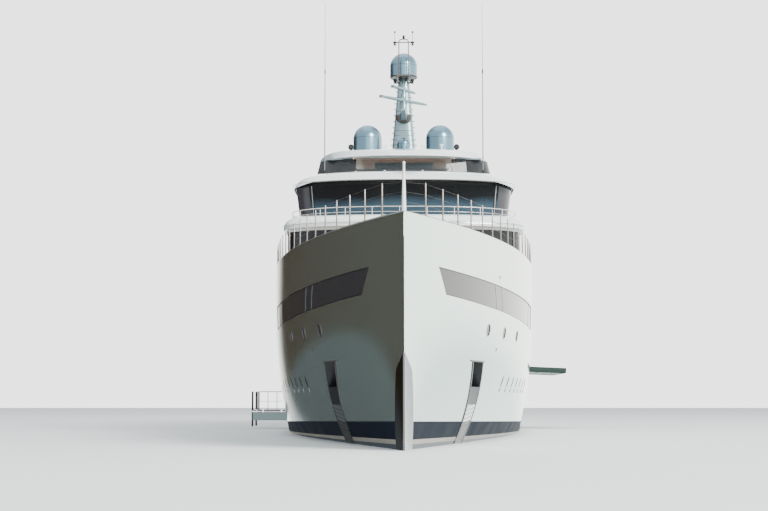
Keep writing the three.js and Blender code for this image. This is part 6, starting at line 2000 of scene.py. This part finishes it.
def make_helm():
    """The console with its screens, and two pilot chairs, seen through the wheelhouse glass."""
    shape, screens = Shape(), Shape()
    half, front, bend = 0.32, BOW + 2.56, 0.06
    section = ((0, 0), (0, 0.093), (0.006, 0.099), (0.07, 0.078), (0.089, 0.06), (0.06, 0))
    rings = []
    for t in spread(-1, 1, 17):
        rings.append([(half * t, front + bend * t * t + back, BRIDGE_DECK + up)
                      for back, up in section])
    shape.loft(rings)
    for i in range(5):
        x = -0.2 + 0.1 * i
        y = front + bend * (x / half) ** 2
        screens.loft([[(x - 0.035, y + 0.02, z), (x + 0.035, y + 0.02, z),
                       (x + 0.035, y + 0.06, z - 0.013), (x - 0.035, y + 0.06, z - 0.013)]
                      for z in (BRIDGE_DECK + 0.0945, BRIDGE_DECK + 0.0965)])
    piece("helm_desk", shape, [SLATE], replaces=["helm_console"])
    piece("helm_screens", screens, [SCREEN_GLOW])
    for side, word in NAMED_SIDES:
        x, y, z = side * 0.09, BOW + 2.74, BRIDGE_DECK
        seat = Shape()
        seat.turned([(0, 0), (0.024, 0), (0.02, 0.004), (0.007, 0.007), (0.006, 0.043), (0, 0.043)],
                    (x, y, z), 24)
        slab(seat, [(x - 0.026, y - 0.026), (x + 0.026, y - 0.026), (x + 0.026, y + 0.024),
                    (x - 0.026, y + 0.024)], z + 0.042, z + 0.054, 0.004)
        rings = []
        for height, half, lean in ((0.05, 0.022, 0), (0.08, 0.025, 0.002), (0.105, 0.022, 0.004),
                                   (0.112, 0.014, 0.005), (0.127, 0.012, 0.005)):
            front, rear = y + 0.018 + lean, y + 0.026 + lean
            corners = ((x - half, front), (x + half, front), (x + half, rear), (x - half, rear))
            rings.append([(a, b, z + height) for a, b in corners])
        seat.loft(rings)
        for way in (-1, 1):
            seat.tube([(x + way * 0.0255, y + 0.02, z + 0.068),
                       (x + way * 0.0255, y - 0.018, z + 0.068)], 0.0022, 8)
        piece("pilot_chair_" + word, seat, [RUBBER], replaces=["helm_chair_" + word], bevel=0.0006)


# Doors and side gear

SIDE_HINGE = 0.6435  # the hinge lines of the tender door and of the boarding platform
BOARDING = {"level": 0.048, "fore": 4.23, "aft": 4.53, "rail": 0.060}


def make_tender_door():
    """The port side door, open level with the bay's roof: frame, inner ribs, seal and arms."""
    droop = Matrix.Translation((SIDE_HINGE, 0, BAY["roof"])) @ Matrix.Rotation(radians(2.5), 4, "Y")
    panel, ribs, seal = Shape(), Shape(), Shape()
    slab(panel, span_plan(0.003, 0.3218, 4.1752, 4.9248), -0.031, -0.0002, 0.002)
    for s in (4.29, 4.55, 4.81):
        panel.box((0, 0.0125), (BOW + s - 0.02, BOW + s + 0.02), (-0.004, 0))
        panel.rod((0, BOW, 0), 0.005, s - 0.02, s + 0.02, 20, "y")
    # the ribs under the door are near black dark trim as painted shade
    for s in spread(4.20, 4.90, 6):
        ribs.box((0.02, 0.305), (BOW + s - 0.004, BOW + s + 0.004), (-0.0322, -0.0305))
    for x in (0.02, 0.16, 0.30):
        ribs.box((x - 0.004, x + 0.004), (BOW + 4.2, BOW + 4.9), (-0.0326, -0.0309))
    seal.tube([(x, y, -0.0305) for x, y in span_plan(0.012, 0.313, 4.184, 4.916)], 0.0022, 8, True)
    for shape in (panel, ribs, seal):
        shape.moved(0, lambda point: droop @ point)
    # painted shade: all but the door's outside take the near black green; the outside takes the hull
    # paint
    skin = mesh_of(panel, "tender_door_panel", 0.0)
    paint_faces(skin, lambda centre, normal: 1 if normal.z > 0.9 else 0)  # its outside, when it is shut
    piece("tender_door_panel", skin, [DOOR_UNDERSIDE_SHADE, HULL], body="tender_door",
          replaces=["tender_door"])
    piece("tender_door_ribs", ribs, [DARK], body="tender_door")
    piece("tender_door_seal", seal, [RUBBER], body="tender_door")


def make_bay():
    """The tender bay: floor planking, side lockers, a small tender on chocks and overhead rails."""
    pale, dark, rubber, wood = Shape(), Shape(), Shape(), Shape()
    for inset, low, high in ((0.008, -0.0005, 0.0008), (0.028, 0.0, 0.0012)):
        wood.box((-BAY["far"] + inset, BAY["side"] - inset),
                 (BOW + BAY["fore"] + inset, BOW + BAY["aft"] - inset),
                 (BAY["floor"] + low, BAY["floor"] + high))
    for s in (4.24, 4.86):
        pale.box((-0.56, 0.5), (BOW + s - 0.006, BOW + s + 0.006),
                 (BAY["roof"] - 0.014, BAY["roof"] + 0.0005))
    for i in range(5):
        x = -0.5 + 0.24 * i
        pale.turned([(0, 0), (0.012, 0), (0.012, -0.004), (0, -0.005)], (x, BOW + 4.55, BAY["roof"]),
                    20)
    tube_level, boat_y = BAY["floor"] + 0.055, BOW + 4.62
    half, length = 0.085, 0.23
    path = []
    for x, y in ((-length, -half), (0.06, -half), (0.14, -half * 0.82), (0.2, -half * 0.4), (0.222, 0),
                 (0.2, half * 0.4), (0.14, half * 0.82), (0.06, half), (-length, half)):
        path.append((x + 0.1, boat_y + y, tube_level + max(x, 0) * 0.08))
    rubber.tube(path, [0.012] + [0.024] * 7 + [0.012], 16)
    boat_rings = []
    for x, wide, low in ((-0.22, 0.07, 0.012), (0.0, 0.075, 0.01), (0.12, 0.06, 0.014),
                         (0.2, 0.02, 0.034)):
        z = BAY["floor"]
        boat_rings.append([(x + 0.1, boat_y - wide, z + 0.052), (x + 0.1, boat_y, z + low),
                           (x + 0.1, boat_y + wide, z + 0.052)])
    pale.loft(boat_rings)
    cushion_block(pale, 0.0, 0.05, 4.59, 4.65, BAY["floor"] + 0.05, BAY["floor"] + 0.1)
    dark.box((-0.16, -0.125), (boat_y - 0.016, boat_y + 0.016),
             (BAY["floor"] + 0.04, BAY["floor"] + 0.105))
    for x in (-0.05, 0.18):
        dark.box((x - 0.01, x + 0.01), (boat_y - 0.07, boat_y + 0.07),
                 (BAY["floor"] + 0.001, BAY["floor"] + 0.03))
    for s in (4.2, 4.88):
        cushion_block(pale, -0.5, 0.4, s - 0.02, s + 0.02, BAY["floor"] + 0.001, BAY["floor"] + 0.09)
    piece("bay_planking", wood, [TEAK])
    piece("bay_fittings", pale, [HOUSE], bevel=0.0008)
    piece("tender_tubes", rubber, [SLATE])
    piece("tender_gear", dark, [RUBBER], bevel=0.001)


def make_boarding_platform():
    """The fold-down platform to starboard: planked box, hinges, fender posts and lugs."""
    fore, aft = BOARDING["fore"], BOARDING["aft"]
    box, planks, black, steel = Shape(), Shape(), Shape(), Shape()
    outline_path = span_plan(-0.2618, -0.003, fore + 0.0003, aft - 0.0003)
    slab(box, outline_path, 0.0002, 0.0488, 0.003)
    slab(planks, span_plan(-0.256, -0.010, fore + 0.006, aft - 0.006), 0.0482, 0.0499, 0.0004)
    for s in (4.28, 4.48):
        steel.box((-0.0125, 0), (BOW + s - 0.015, BOW + s + 0.015), (0, 0.004))
        steel.rod((0, BOW, 0), 0.005, s - 0.015, s + 0.015, 20, "y")
    for place in (0.030, 0.262):
        black.turned([(0, -0.0355), (0.004, -0.0355), (0.0056, -0.033), (0.0056, 0.0495), (0, 0.0495)],
                     (-0.266, BOW + fore + place, 0), 20)
    for s in (0.060, 0.165, 0.276):
        lug(steel, -0.250, fore + s, "y")
    for s in (0.030, 0.140):
        lug(steel, -0.060 - s, fore + 0.012, "x")
    for shape in (box, planks, black, steel):
        shape.moved(0, lambda point: point + Vector((-SIDE_HINGE, 0, BOARDING["level"])))
    skin = mesh_of(box, "platform_box", 0.0)
    paint_faces(skin, lambda centre, normal: 1 if normal.z < -0.9 else 0)  # its outside, when it is up
    piece("platform_box", skin, [PLATFORM_GREEN, HULL], body="boarding_platform",
          replaces=["boarding_platform"])
    piece("platform_planks", planks, [TEAK], body="boarding_platform")
    piece("platform_posts", black, [RUBBER], body="boarding_platform")
    piece("platform_hinges", steel, [STEEL], body="boarding_platform")


def lug(shape, x, s, axis):
    """An eye with a hole for a folding rail's bar: a ring on two legs."""
    rings = []
    for angle in turns(20):
        ring = []
        for reach, along in ((0.0044, -0.0045), (0.0068, -0.0045), (0.0068, 0.0045), (0.0044, 0.0045)):
            a, b = reach * cos(angle), BOARDING["rail"] + reach * sin(angle)
            ring.append((x + a, BOW + s + along, b) if axis == "y" else (x + along, BOW + s + a, b))
        rings.append(ring)
    shape.loft(rings, True)
    shape.box((x - 0.0045, x + 0.0045), (BOW + s - 0.0045, BOW + s + 0.0045), (0.0485, 0.0548))


def make_boarding_rails():
    """The platform's folding guard rails, each on a bar that turns in the lugs."""
    level = BOARDING["level"] + BOARDING["rail"]
    outer, posts = Shape(), Shape()
    x, fore = -SIDE_HINGE - 0.250, BOW + BOARDING["fore"]
    outer.tube([(x, fore + 0.022, level), (x, fore + 0.292, level)], 0.004, 16)
    for s in (0.140, 0.190, 0.240, 0.290):
        outer.tube([(x, fore + s, level), (x, fore + s, level + 0.113)], 0.002, 10)
    for high in (0.054, 0.1115):
        outer.tube([(x, fore + 0.138, level + high), (x, fore + 0.292, level + high)],
                   0.0022 if high > 0.1 else 0.0011, 8)
    for s in (0.030, 0.262):
        posts.turned([(0, -0.0015), (0.0056, -0.0015), (0.0056, 0.109), (0.004, 0.113), (0, 0.1138)],
                     (x - 0.016, fore + s, level), 18)
        outer.box((x - 0.016, x), (fore + s - 0.0035, fore + s + 0.0035),
                  (level - 0.002, level + 0.0038))
    piece("outer_rail", outer, [CAP], body="boarding_rail_outer", replaces=["boarding_rail_outer"])
    piece("outer_rail_posts", posts, [RUBBER], body="boarding_rail_outer")
    side = Shape()
    x0, y = -SIDE_HINGE - 0.060, fore + 0.012
    side.tube([(x0, y, level), (x0 - 0.172, y, level)], 0.004, 16)
    for place in (0.004, 0.058, 0.112, 0.164):
        side.tube([(x0 - place, y, level), (x0 - place, y, level + 0.113)], 0.002, 10)
    for high in (0.054, 0.1115):
        side.tube([(x0 - 0.002, y, level + high), (x0 - 0.166, y, level + high)],
                  0.0022 if high > 0.1 else 0.0011, 8)
    piece("side_rail", side, [CAP], body="boarding_rail_side", replaces=["boarding_rail_side"])
    fender = Shape()
    fender.turned([(0, -0.045), (0.007, -0.042), (0.009, -0.03), (0.009, 0.03), (0.007, 0.042),
                   (0, 0.045)], (-0.6345, BOW + 4.16, 0.16), 20)
    fender.tube([(-0.6345, BOW + 4.16, 0.2), (-0.638, BOW + 4.16, 0.33)], 0.001, 6)
    piece("hull_fender", fender, [RUBBER])


def make_transom():
    """The stern door, the swimming platform's ladder and cleats, and the stern lamp."""
    door, trim, steel, dark = Shape(), Shape(), Shape(), Shape()
    half, hinge = STERN_DOOR["half"] - 0.0002, STERN_DOOR["hinge"]
    path = span_plan(-half, half, 7.6752, TRANSOM - 0.0002)
    slab(door, path, STERN_DOOR["low"] + 0.0002, STERN_DOOR["high"] - 0.0002, 0.002)
    for x in (-0.24, 0, 0.24):
        door.box((x - 0.02, x + 0.02), (BOW + 7.696, BOW + TRANSOM), (0.371, hinge))
        door.rod((x, BOW + TRANSOM, hinge), 0.005, -0.02, 0.02, 20, "x")
    for x in (-0.17, 0.17):
        trim.box((x - 0.1, x + 0.1), (BOW + 7.6995, BOW + 7.7008), (0.16, 0.32))
    trim.box((-0.012, 0.012), (BOW + 7.6996, BOW + 7.7012), (0.13, 0.35))
    for side in SIDES:
        for x in (0.45, 0.5):
            steel.turned([(0, 0), (0.005, 0), (0.004, 0.012), (0.006, 0.016), (0, 0.018)],
                         (side * x, BOW + 8.05, PLATFORM_LEVEL), 16)
        top, foot = MAIN_DECK + 0.09, PLATFORM_LEVEL + 0.09
        steel.tube([(side * 0.562, BOW + 7.39, top), (side * 0.562, BOW + 7.69, foot),
                    (side * 0.562, BOW + 7.69, foot - 0.06)], 0.0024, 10)
        dark.side_box(side, (0.40, 0.37), (BOW + 7.6994, BOW + 7.7025), (0.2, 0.22))
    for x in (-0.06, 0.06):
        steel.tube([(x, BOW + 8.15, PLATFORM_LEVEL), (x, BOW + 8.15, PLATFORM_LEVEL + 0.05),
                    (x, BOW + 8.192, PLATFORM_LEVEL + 0.05), (x, BOW + 8.195, -0.05)], 0.0022, 10)
    for i in range(4):
        z = -0.04 + 0.035 * i
        steel.tube([(-0.06, BOW + 8.1945, z), (0.06, BOW + 8.1945, z)], 0.002, 8)
    piece("stern_door_panel", door, [HULL], body="transom_door", replaces=["transom_door"])
    piece("stern_door_trim", trim, [DARK_GLASS], body="transom_door", bevel=0.0004)
    piece("stern_fittings", steel, [STEEL])
    piece("stern_lamps", dark, [LAMP], bevel=0.0006)


def make_saloon_doors():
    """Two sliding glass doors in the main house's back."""
    y = BOW + 6.606
    track = Shape().box((-0.303, 0.303), (BOW + 6.599, BOW + 6.612), (0.6323, 0.640))
    for side, word in NAMED_SIDES:
        frame_shape, pane = Shape(), Shape()
        x0, x1, low, high = 0.0025, 0.154, 0.420, 0.632
        for a, b, z0, z1 in ((x0, x1, low, low + 0.012), (x0, x1, high - 0.01, high),
                             (x0, x0 + 0.008, low, high), (x1 - 0.008, x1, low, high)):
            frame_shape.side_box(side, (a, b), (y, y + 0.004), (z0, z1))
        frame_shape.tube([(side * 0.010, y + 0.006, low + 0.07), (side * 0.010, y + 0.006, low + 0.13)],
                         0.0018, 8)
        pane.side_box(side, (x0 + 0.006, x1 - 0.006), (y + 0.001, y + 0.003),
                      (low + 0.01, high - 0.008))
        body = "saloon_door_" + word
        piece(body + "_frame", frame_shape, [STEEL], body=body, replaces=[body])
        piece(body + "_pane", pane, [BRIDGE_GLASS], body=body, bevel=0.0002)
    track.box((-0.012, 0.012), (y - 0.006, y - 0.0015), (0.415, 0.42))
    piece("saloon_track", track, [STEEL], bevel=0.0004)


def make_wing_doors():
    """The wheelhouse's two side doors, each with a pane, louvres and handles."""
    for side, word in NAMED_SIDES:
        back = BOW + 3.1
        leaf, pane, handle = Shape(), Shape(), Shape()
        leaf.side_box(side, (0.4452, 0.5196), (back - 0.0045, back - 0.0004), (1.0, 1.212))
        leaf.side_box(side, (0.452, 0.513), (back - 0.002, back), (1.006, 1.082))
        for i in range(5):
            leaf.side_box(side, (0.464, 0.501), (back - 0.001, back + 0.0004),
                          (1.018 + 0.008 * i, 1.022 + 0.008 * i))
        pane.side_box(side, (0.456, 0.509), (back - 0.0055, back + 0.0006), (1.09, 1.20))
        handle.tube([(side * 0.452, back + 0.0005, 1.092), (side * 0.452, back + 0.0035, 1.096),
                     (side * 0.452, back + 0.0035, 1.116), (side * 0.452, back + 0.0005, 1.12)], 0.0011,
                    8)
        for z in (1.03, 1.18):
            handle.tube([(side * 0.5162, back + 0.0005, z - 0.01),
                         (side * 0.5162, back + 0.0005, z + 0.01)], 0.0009, 8)
        body = "wheelhouse_door_" + word
        piece(body + "_leaf", leaf, [HOUSE], body=body, replaces=[body], bevel=0.0008)
        piece(body + "_pane", pane, [DARK_GLASS], body=body, bevel=0.0002)
        piece(body + "_handle", handle, [STEEL], body=body)


# Underwater gear

def blade(shape, angle, inner, outer, chord, pitch, thick, skew=0.35, axis="y", side=1):
    """A propeller blade: thin curved sections that twist and sweep from hub to tip."""
    rings = []
    for t in spread(0, 1, 12):
        r = inner + (outer - inner) * t
        wide = chord * (0.62 + 1.1 * t - 1.45 * t ** 3.2) if t < 1 else chord * 0.08
        lean = atan_pitch(pitch, r)
        sweep = skew * t ** 2
        bulk = thick * (1 - 0.8 * t)
        ring = []
        for a in turns(16):
            along = wide / 2 * cos(a)
            out = bulk / 2 * sin(a) + 0.04 * wide * (1 - cos(a) ** 2) * 0.5
            tangent, axial = along * cos(lean) - out * sin(lean), along * sin(lean) + out * cos(lean)
            turn = angle + sweep + tangent / r
            ring.append((r * cos(turn), axial, r * sin(turn)))
        rings.append(ring)
    if axis == "x":
        rings = [[(y, x, z) for x, y, z in ring] for ring in rings]
    rings = [[(side * x, y, z) for x, y, z in ring] for ring in rings]
    shape.loft(rings)


def atan_pitch(pitch, r):
    return float(np.arctan2(pitch / (2 * pi), r))


def make_propellers():
    """The two propellers on their shafts, and the bow thruster's wheel."""
    for side, word in NAMED_SIDES:
        shape, shaft = Shape(), Shape()
        shape.turned([(0, -0.036), (0.006, -0.0355), (0.010, -0.033), (0.0205, -0.010), (0.022, 0.0),
                      (0.022, 0.022), (0.018, 0.029), (0, 0.030)], (0, 0, 0), 36, "y")
        for i in range(5):
            blade(shape, 2 * pi * i / 5 + 0.3, 0.018, 0.1205, 0.075, 0.28, 0.009, 0.3, "y", side)
        shaft.turned([(0, -1.44), (0.008, -1.44), (0.008, -1.10), (0.0086, -1.098), (0.0086, -1.06),
                      (0.008, -1.058),
                      (0.008, -0.04), (0.0075, -0.02), (0.0075, 0.0), (0, 0.0)], (0, 0, 0), 24, "y")
        place = Vector((side * SHAFT_SIDE, BOW + 7.29, SHAFT_LEVEL))
        for part in (shape, shaft):
            part.moved(0, lambda point: point + place)
        body = "propeller_" + word
        piece("screw_" + word, shape, [BRONZE], body=body, replaces=[body], angle=28)
        piece("shaft_" + word, shaft, [STEEL], body=body)
    wheel = Shape()
    wheel.turned([(0, -0.0078), (0.009, -0.0078), (0.012, -0.004), (0.012, 0.011), (0, 0.0118)],
                 (0, 0, 0), 24, "x")
    for i in range(4):
        blade(wheel, pi / 2 * i, 0.010, 0.0465, 0.03, 0.14, 0.004, 0.2, "x")
    node_low, node_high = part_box("bow_thruster_propeller")
    middle = (node_low.x + node_high.x) / 2 - 0.002
    place = Vector((middle, BOW + THRUSTER["at"], THRUSTER["level"]))
    wheel.moved(0, lambda point: point + place)
    piece("thruster_wheel", wheel, [BRONZE], body="bow_thruster_propeller",
          replaces=["bow_thruster_propeller"], angle=28)


def foil(chord_at, half):
    """A symmetric section: pairs of (part of the chord, half thickness) from nose to tail."""
    return [(t, half * 2.6 * sqrt(t) * (1 - t) ** 0.9 + 0.0006 * (1 - t) + 0.0004) for t in chord_at]


def make_rudders_and_fins():
    """The rudders, drawn round their stocks; the fins take their finish later."""
    parts = [0, 0.01, 0.04, 0.1, 0.2, 0.32, 0.46, 0.6, 0.75, 0.88, 1.0]
    for side, word in NAMED_SIDES:
        rudder = Shape()
        rings = []
        for z in spread(-0.377, -0.108, 8):
            t = (z + 0.378) / 0.27
            row = foil(parts, 0.0125)
            ring = []
            for part, half in row:
                ring.append((half, (-0.058 + 0.186 * part) + 0.012 * (1 - t) * (part - 0.3)))
            rings.append([(x, y, z) for x, y in ring] + [(-x, y, z) for x, y in reversed(ring)])
        rudder.loft(rings)
        rudder.turned([(0, -0.109), (0.0085, -0.109), (0.0088, -0.1), (0.0088, -0.0405), (0, -0.0405)],
                      (0, 0, 0), 24)
        rudder.moved(0, lambda point: point + Vector((side * SHAFT_SIDE, BOW + 7.47, 0)))
        piece("rudder_blade_" + word, rudder, [ANTIFOULING], body="rudder_" + word,
              replaces=["rudder_" + word], angle=40)


def carry(node, finish):
    """Gives a node of the frame a better finish."""
    for slot in bpy.data.objects[node].material_slots:
        slot.material = finish


# Camera, floor and light

def make_floor():
    """A pale matt floor at the waterline, which the yacht's paint doesn't mirror."""
    mesh = mesh_of(Shape().box((-30, 30), (-34, 30), (-0.02, 0)), "floor")
    mesh.materials.append(FLOOR)
    floor = bpy.data.objects.new("floor", mesh)
    bpy.context.scene.collection.objects.link(floor)
    floor.visible_glossy = False


def area_light(name, place, aim, size, power, colour):
    """A rectangular light, aimed at a point."""
    light = bpy.data.lights.new(name, "AREA")
    light.shape = "RECTANGLE"
    light.size, light.size_y = size
    light.energy = power
    light.color = colour
    thing = bpy.data.objects.new(name, light)
    thing.location = place
    thing.rotation_euler = (Vector(aim) - Vector(place)).to_track_quat("-Z", "Y").to_euler()
    bpy.context.scene.collection.objects.link(thing)


def make_light():
    """A plain pale backdrop, and soft light that is bright to port and dim low on the starboard bow."""
    world = bpy.data.worlds.new("studio")
    bpy.context.scene.world = world
    world.use_nodes = True
    tree = world.node_tree
    background = tree.nodes["Background"]
    where = tree.nodes.new("ShaderNodeTexCoord")
    split = tree.nodes.new("ShaderNodeSeparateXYZ")
    tree.links.new(where.outputs["Generated"], split.inputs[0])

    def span(axis, low, high):
        made = tree.nodes.new("ShaderNodeMapRange")
        made.inputs["From Min"].default_value = low
        made.inputs["From Max"].default_value = high
        tree.links.new(split.outputs[axis], made.inputs["Value"])
        return made.outputs["Result"]

    def blend(factor, a, b):
        mix = tree.nodes.new("ShaderNodeMixRGB")
        tree.links.new(factor, mix.inputs["Fac"])
        for name, value in (("Color1", a), ("Color2", b)):
            if isinstance(value, tuple):
                mix.inputs[name].default_value = (*value, 1)
            else:
                tree.links.new(value, mix.inputs[name])
        return mix.outputs[0]

    starboard = blend(span("Z", -0.055, -0.03), STARBOARD_SEA, STARBOARD_LOW)
    starboard = blend(span("Y", 0.0, 0.3), PALE_SIDE, starboard)
    port = blend(span("Z", -0.08, 0.0), PORT_SEA, PORT_LOW)
    low = blend(span("X", -0.26, -0.10), starboard, port)
    mirrored = blend(span("Z", 0.22, 0.6), low, SKY)
    soft = blend(span("X", -0.8, 0.6), SOFT_STARBOARD, SOFT_PORT)
    path = tree.nodes.new("ShaderNodeLightPath")
    light = blend(path.outputs["Is Glossy Ray"], soft, mirrored)
    tree.links.new(blend(path.outputs["Is Camera Ray"], light, BACKDROP), background.inputs["Color"])
    background.inputs["Strength"].default_value = 1.0
    area_light("key", (9, -13, 9.5), (0, 0, 0.5), (6, 6), 5400, (1.0, 0.985, 0.95))
    area_light("top", (0, 0, 12), (0, 0, 0), (10, 12), 500, (0.95, 0.98, 1.0))


def make_camera():
    """The photo's viewpoint: low, ahead of the bow and a little to one side of the stem."""
    camera = bpy.data.cameras.new("camera")
    camera.sensor_width = 36
    camera.lens = camera.sensor_width * FOCAL / PHOTO_WIDE
    camera.clip_start = 0.05
    camera.clip_end = 200
    thing = bpy.data.objects.new("camera", camera)
    thing.location = (0, BOW - EYE_AHEAD, EYE_LEVEL)
    thing.rotation_euler = (pi / 2 + atan(HORIZON_DROP / FOCAL), 0, atan(STEM_RIGHT / FOCAL))
    bpy.context.scene.collection.objects.link(thing)
    bpy.context.scene.camera = thing


PHOTO_WIDE = 768  # pixels, as are the next three
FOCAL = 1537
HORIZON_DROP = 146  # the horizon is below the picture's centre
STEM_RIGHT = 20  # and the stem to the right of it
EYE_AHEAD = 5.0  # the viewpoint, ahead of the stem and over the water
EYE_LEVEL = 0.1607
BACKDROP = (2.9, 2.92, 2.96)
STARBOARD_LOW = (0.062, 0.046, 0.03)
STARBOARD_SEA = (0.10, 0.115, 0.118)
PALE_SIDE = (1.7, 1.76, 1.82)
PORT_LOW = (3.7, 3.8, 3.55)
PORT_SEA = (2.4, 2.65, 2.6)
SKY = (2.0, 2.1, 2.2)
SOFT_STARBOARD = (0.7, 0.76, 0.84)
SOFT_PORT = (1.5, 1.54, 1.6)

make_hull()
make_bulwarks()
make_cap_rails()
make_stem_plate()
make_hull_windows()
make_anchor_chutes()
make_boot_top()
make_hull_trim()
make_railings()
make_upper_deck()
make_bridge_deck()
make_sun_deck()
make_upper_deckhouse()
make_wheelhouse()
box_house("main_deckhouse", fore=BULKHEAD + GAP, back=6.6, half=0.490, low=MAIN_DECK, sill=0.450,
          head=0.655, high=0.690, pitch=0.43, door=0.15)
box_house("sky_lounge", fore=HELM["back"] + GAP, back=5.2, half=0.430, low=BRIDGE_DECK, sill=1.040,
          head=1.205, high=SUN_UNDER, pitch=0.35)
make_windscreen()
make_hardtop()
make_domes()
make_mast()
make_radars()
make_whips()
make_windlasses()
make_anchors()
make_foredeck()
make_deck_furniture()
make_lift_house()
make_helm()
make_tender_door()
make_bay()
make_boarding_platform()
make_boarding_rails()
make_transom()
make_saloon_doors()
make_wing_doors()
make_propellers()
make_rudders_and_fins()
for side_word in ("port", "starboard"):
    carry("stabiliser_fin_" + side_word, ANTIFOULING)
carry("bow_thruster_pod", BRONZE)

make_floor()
make_light()
make_camera()
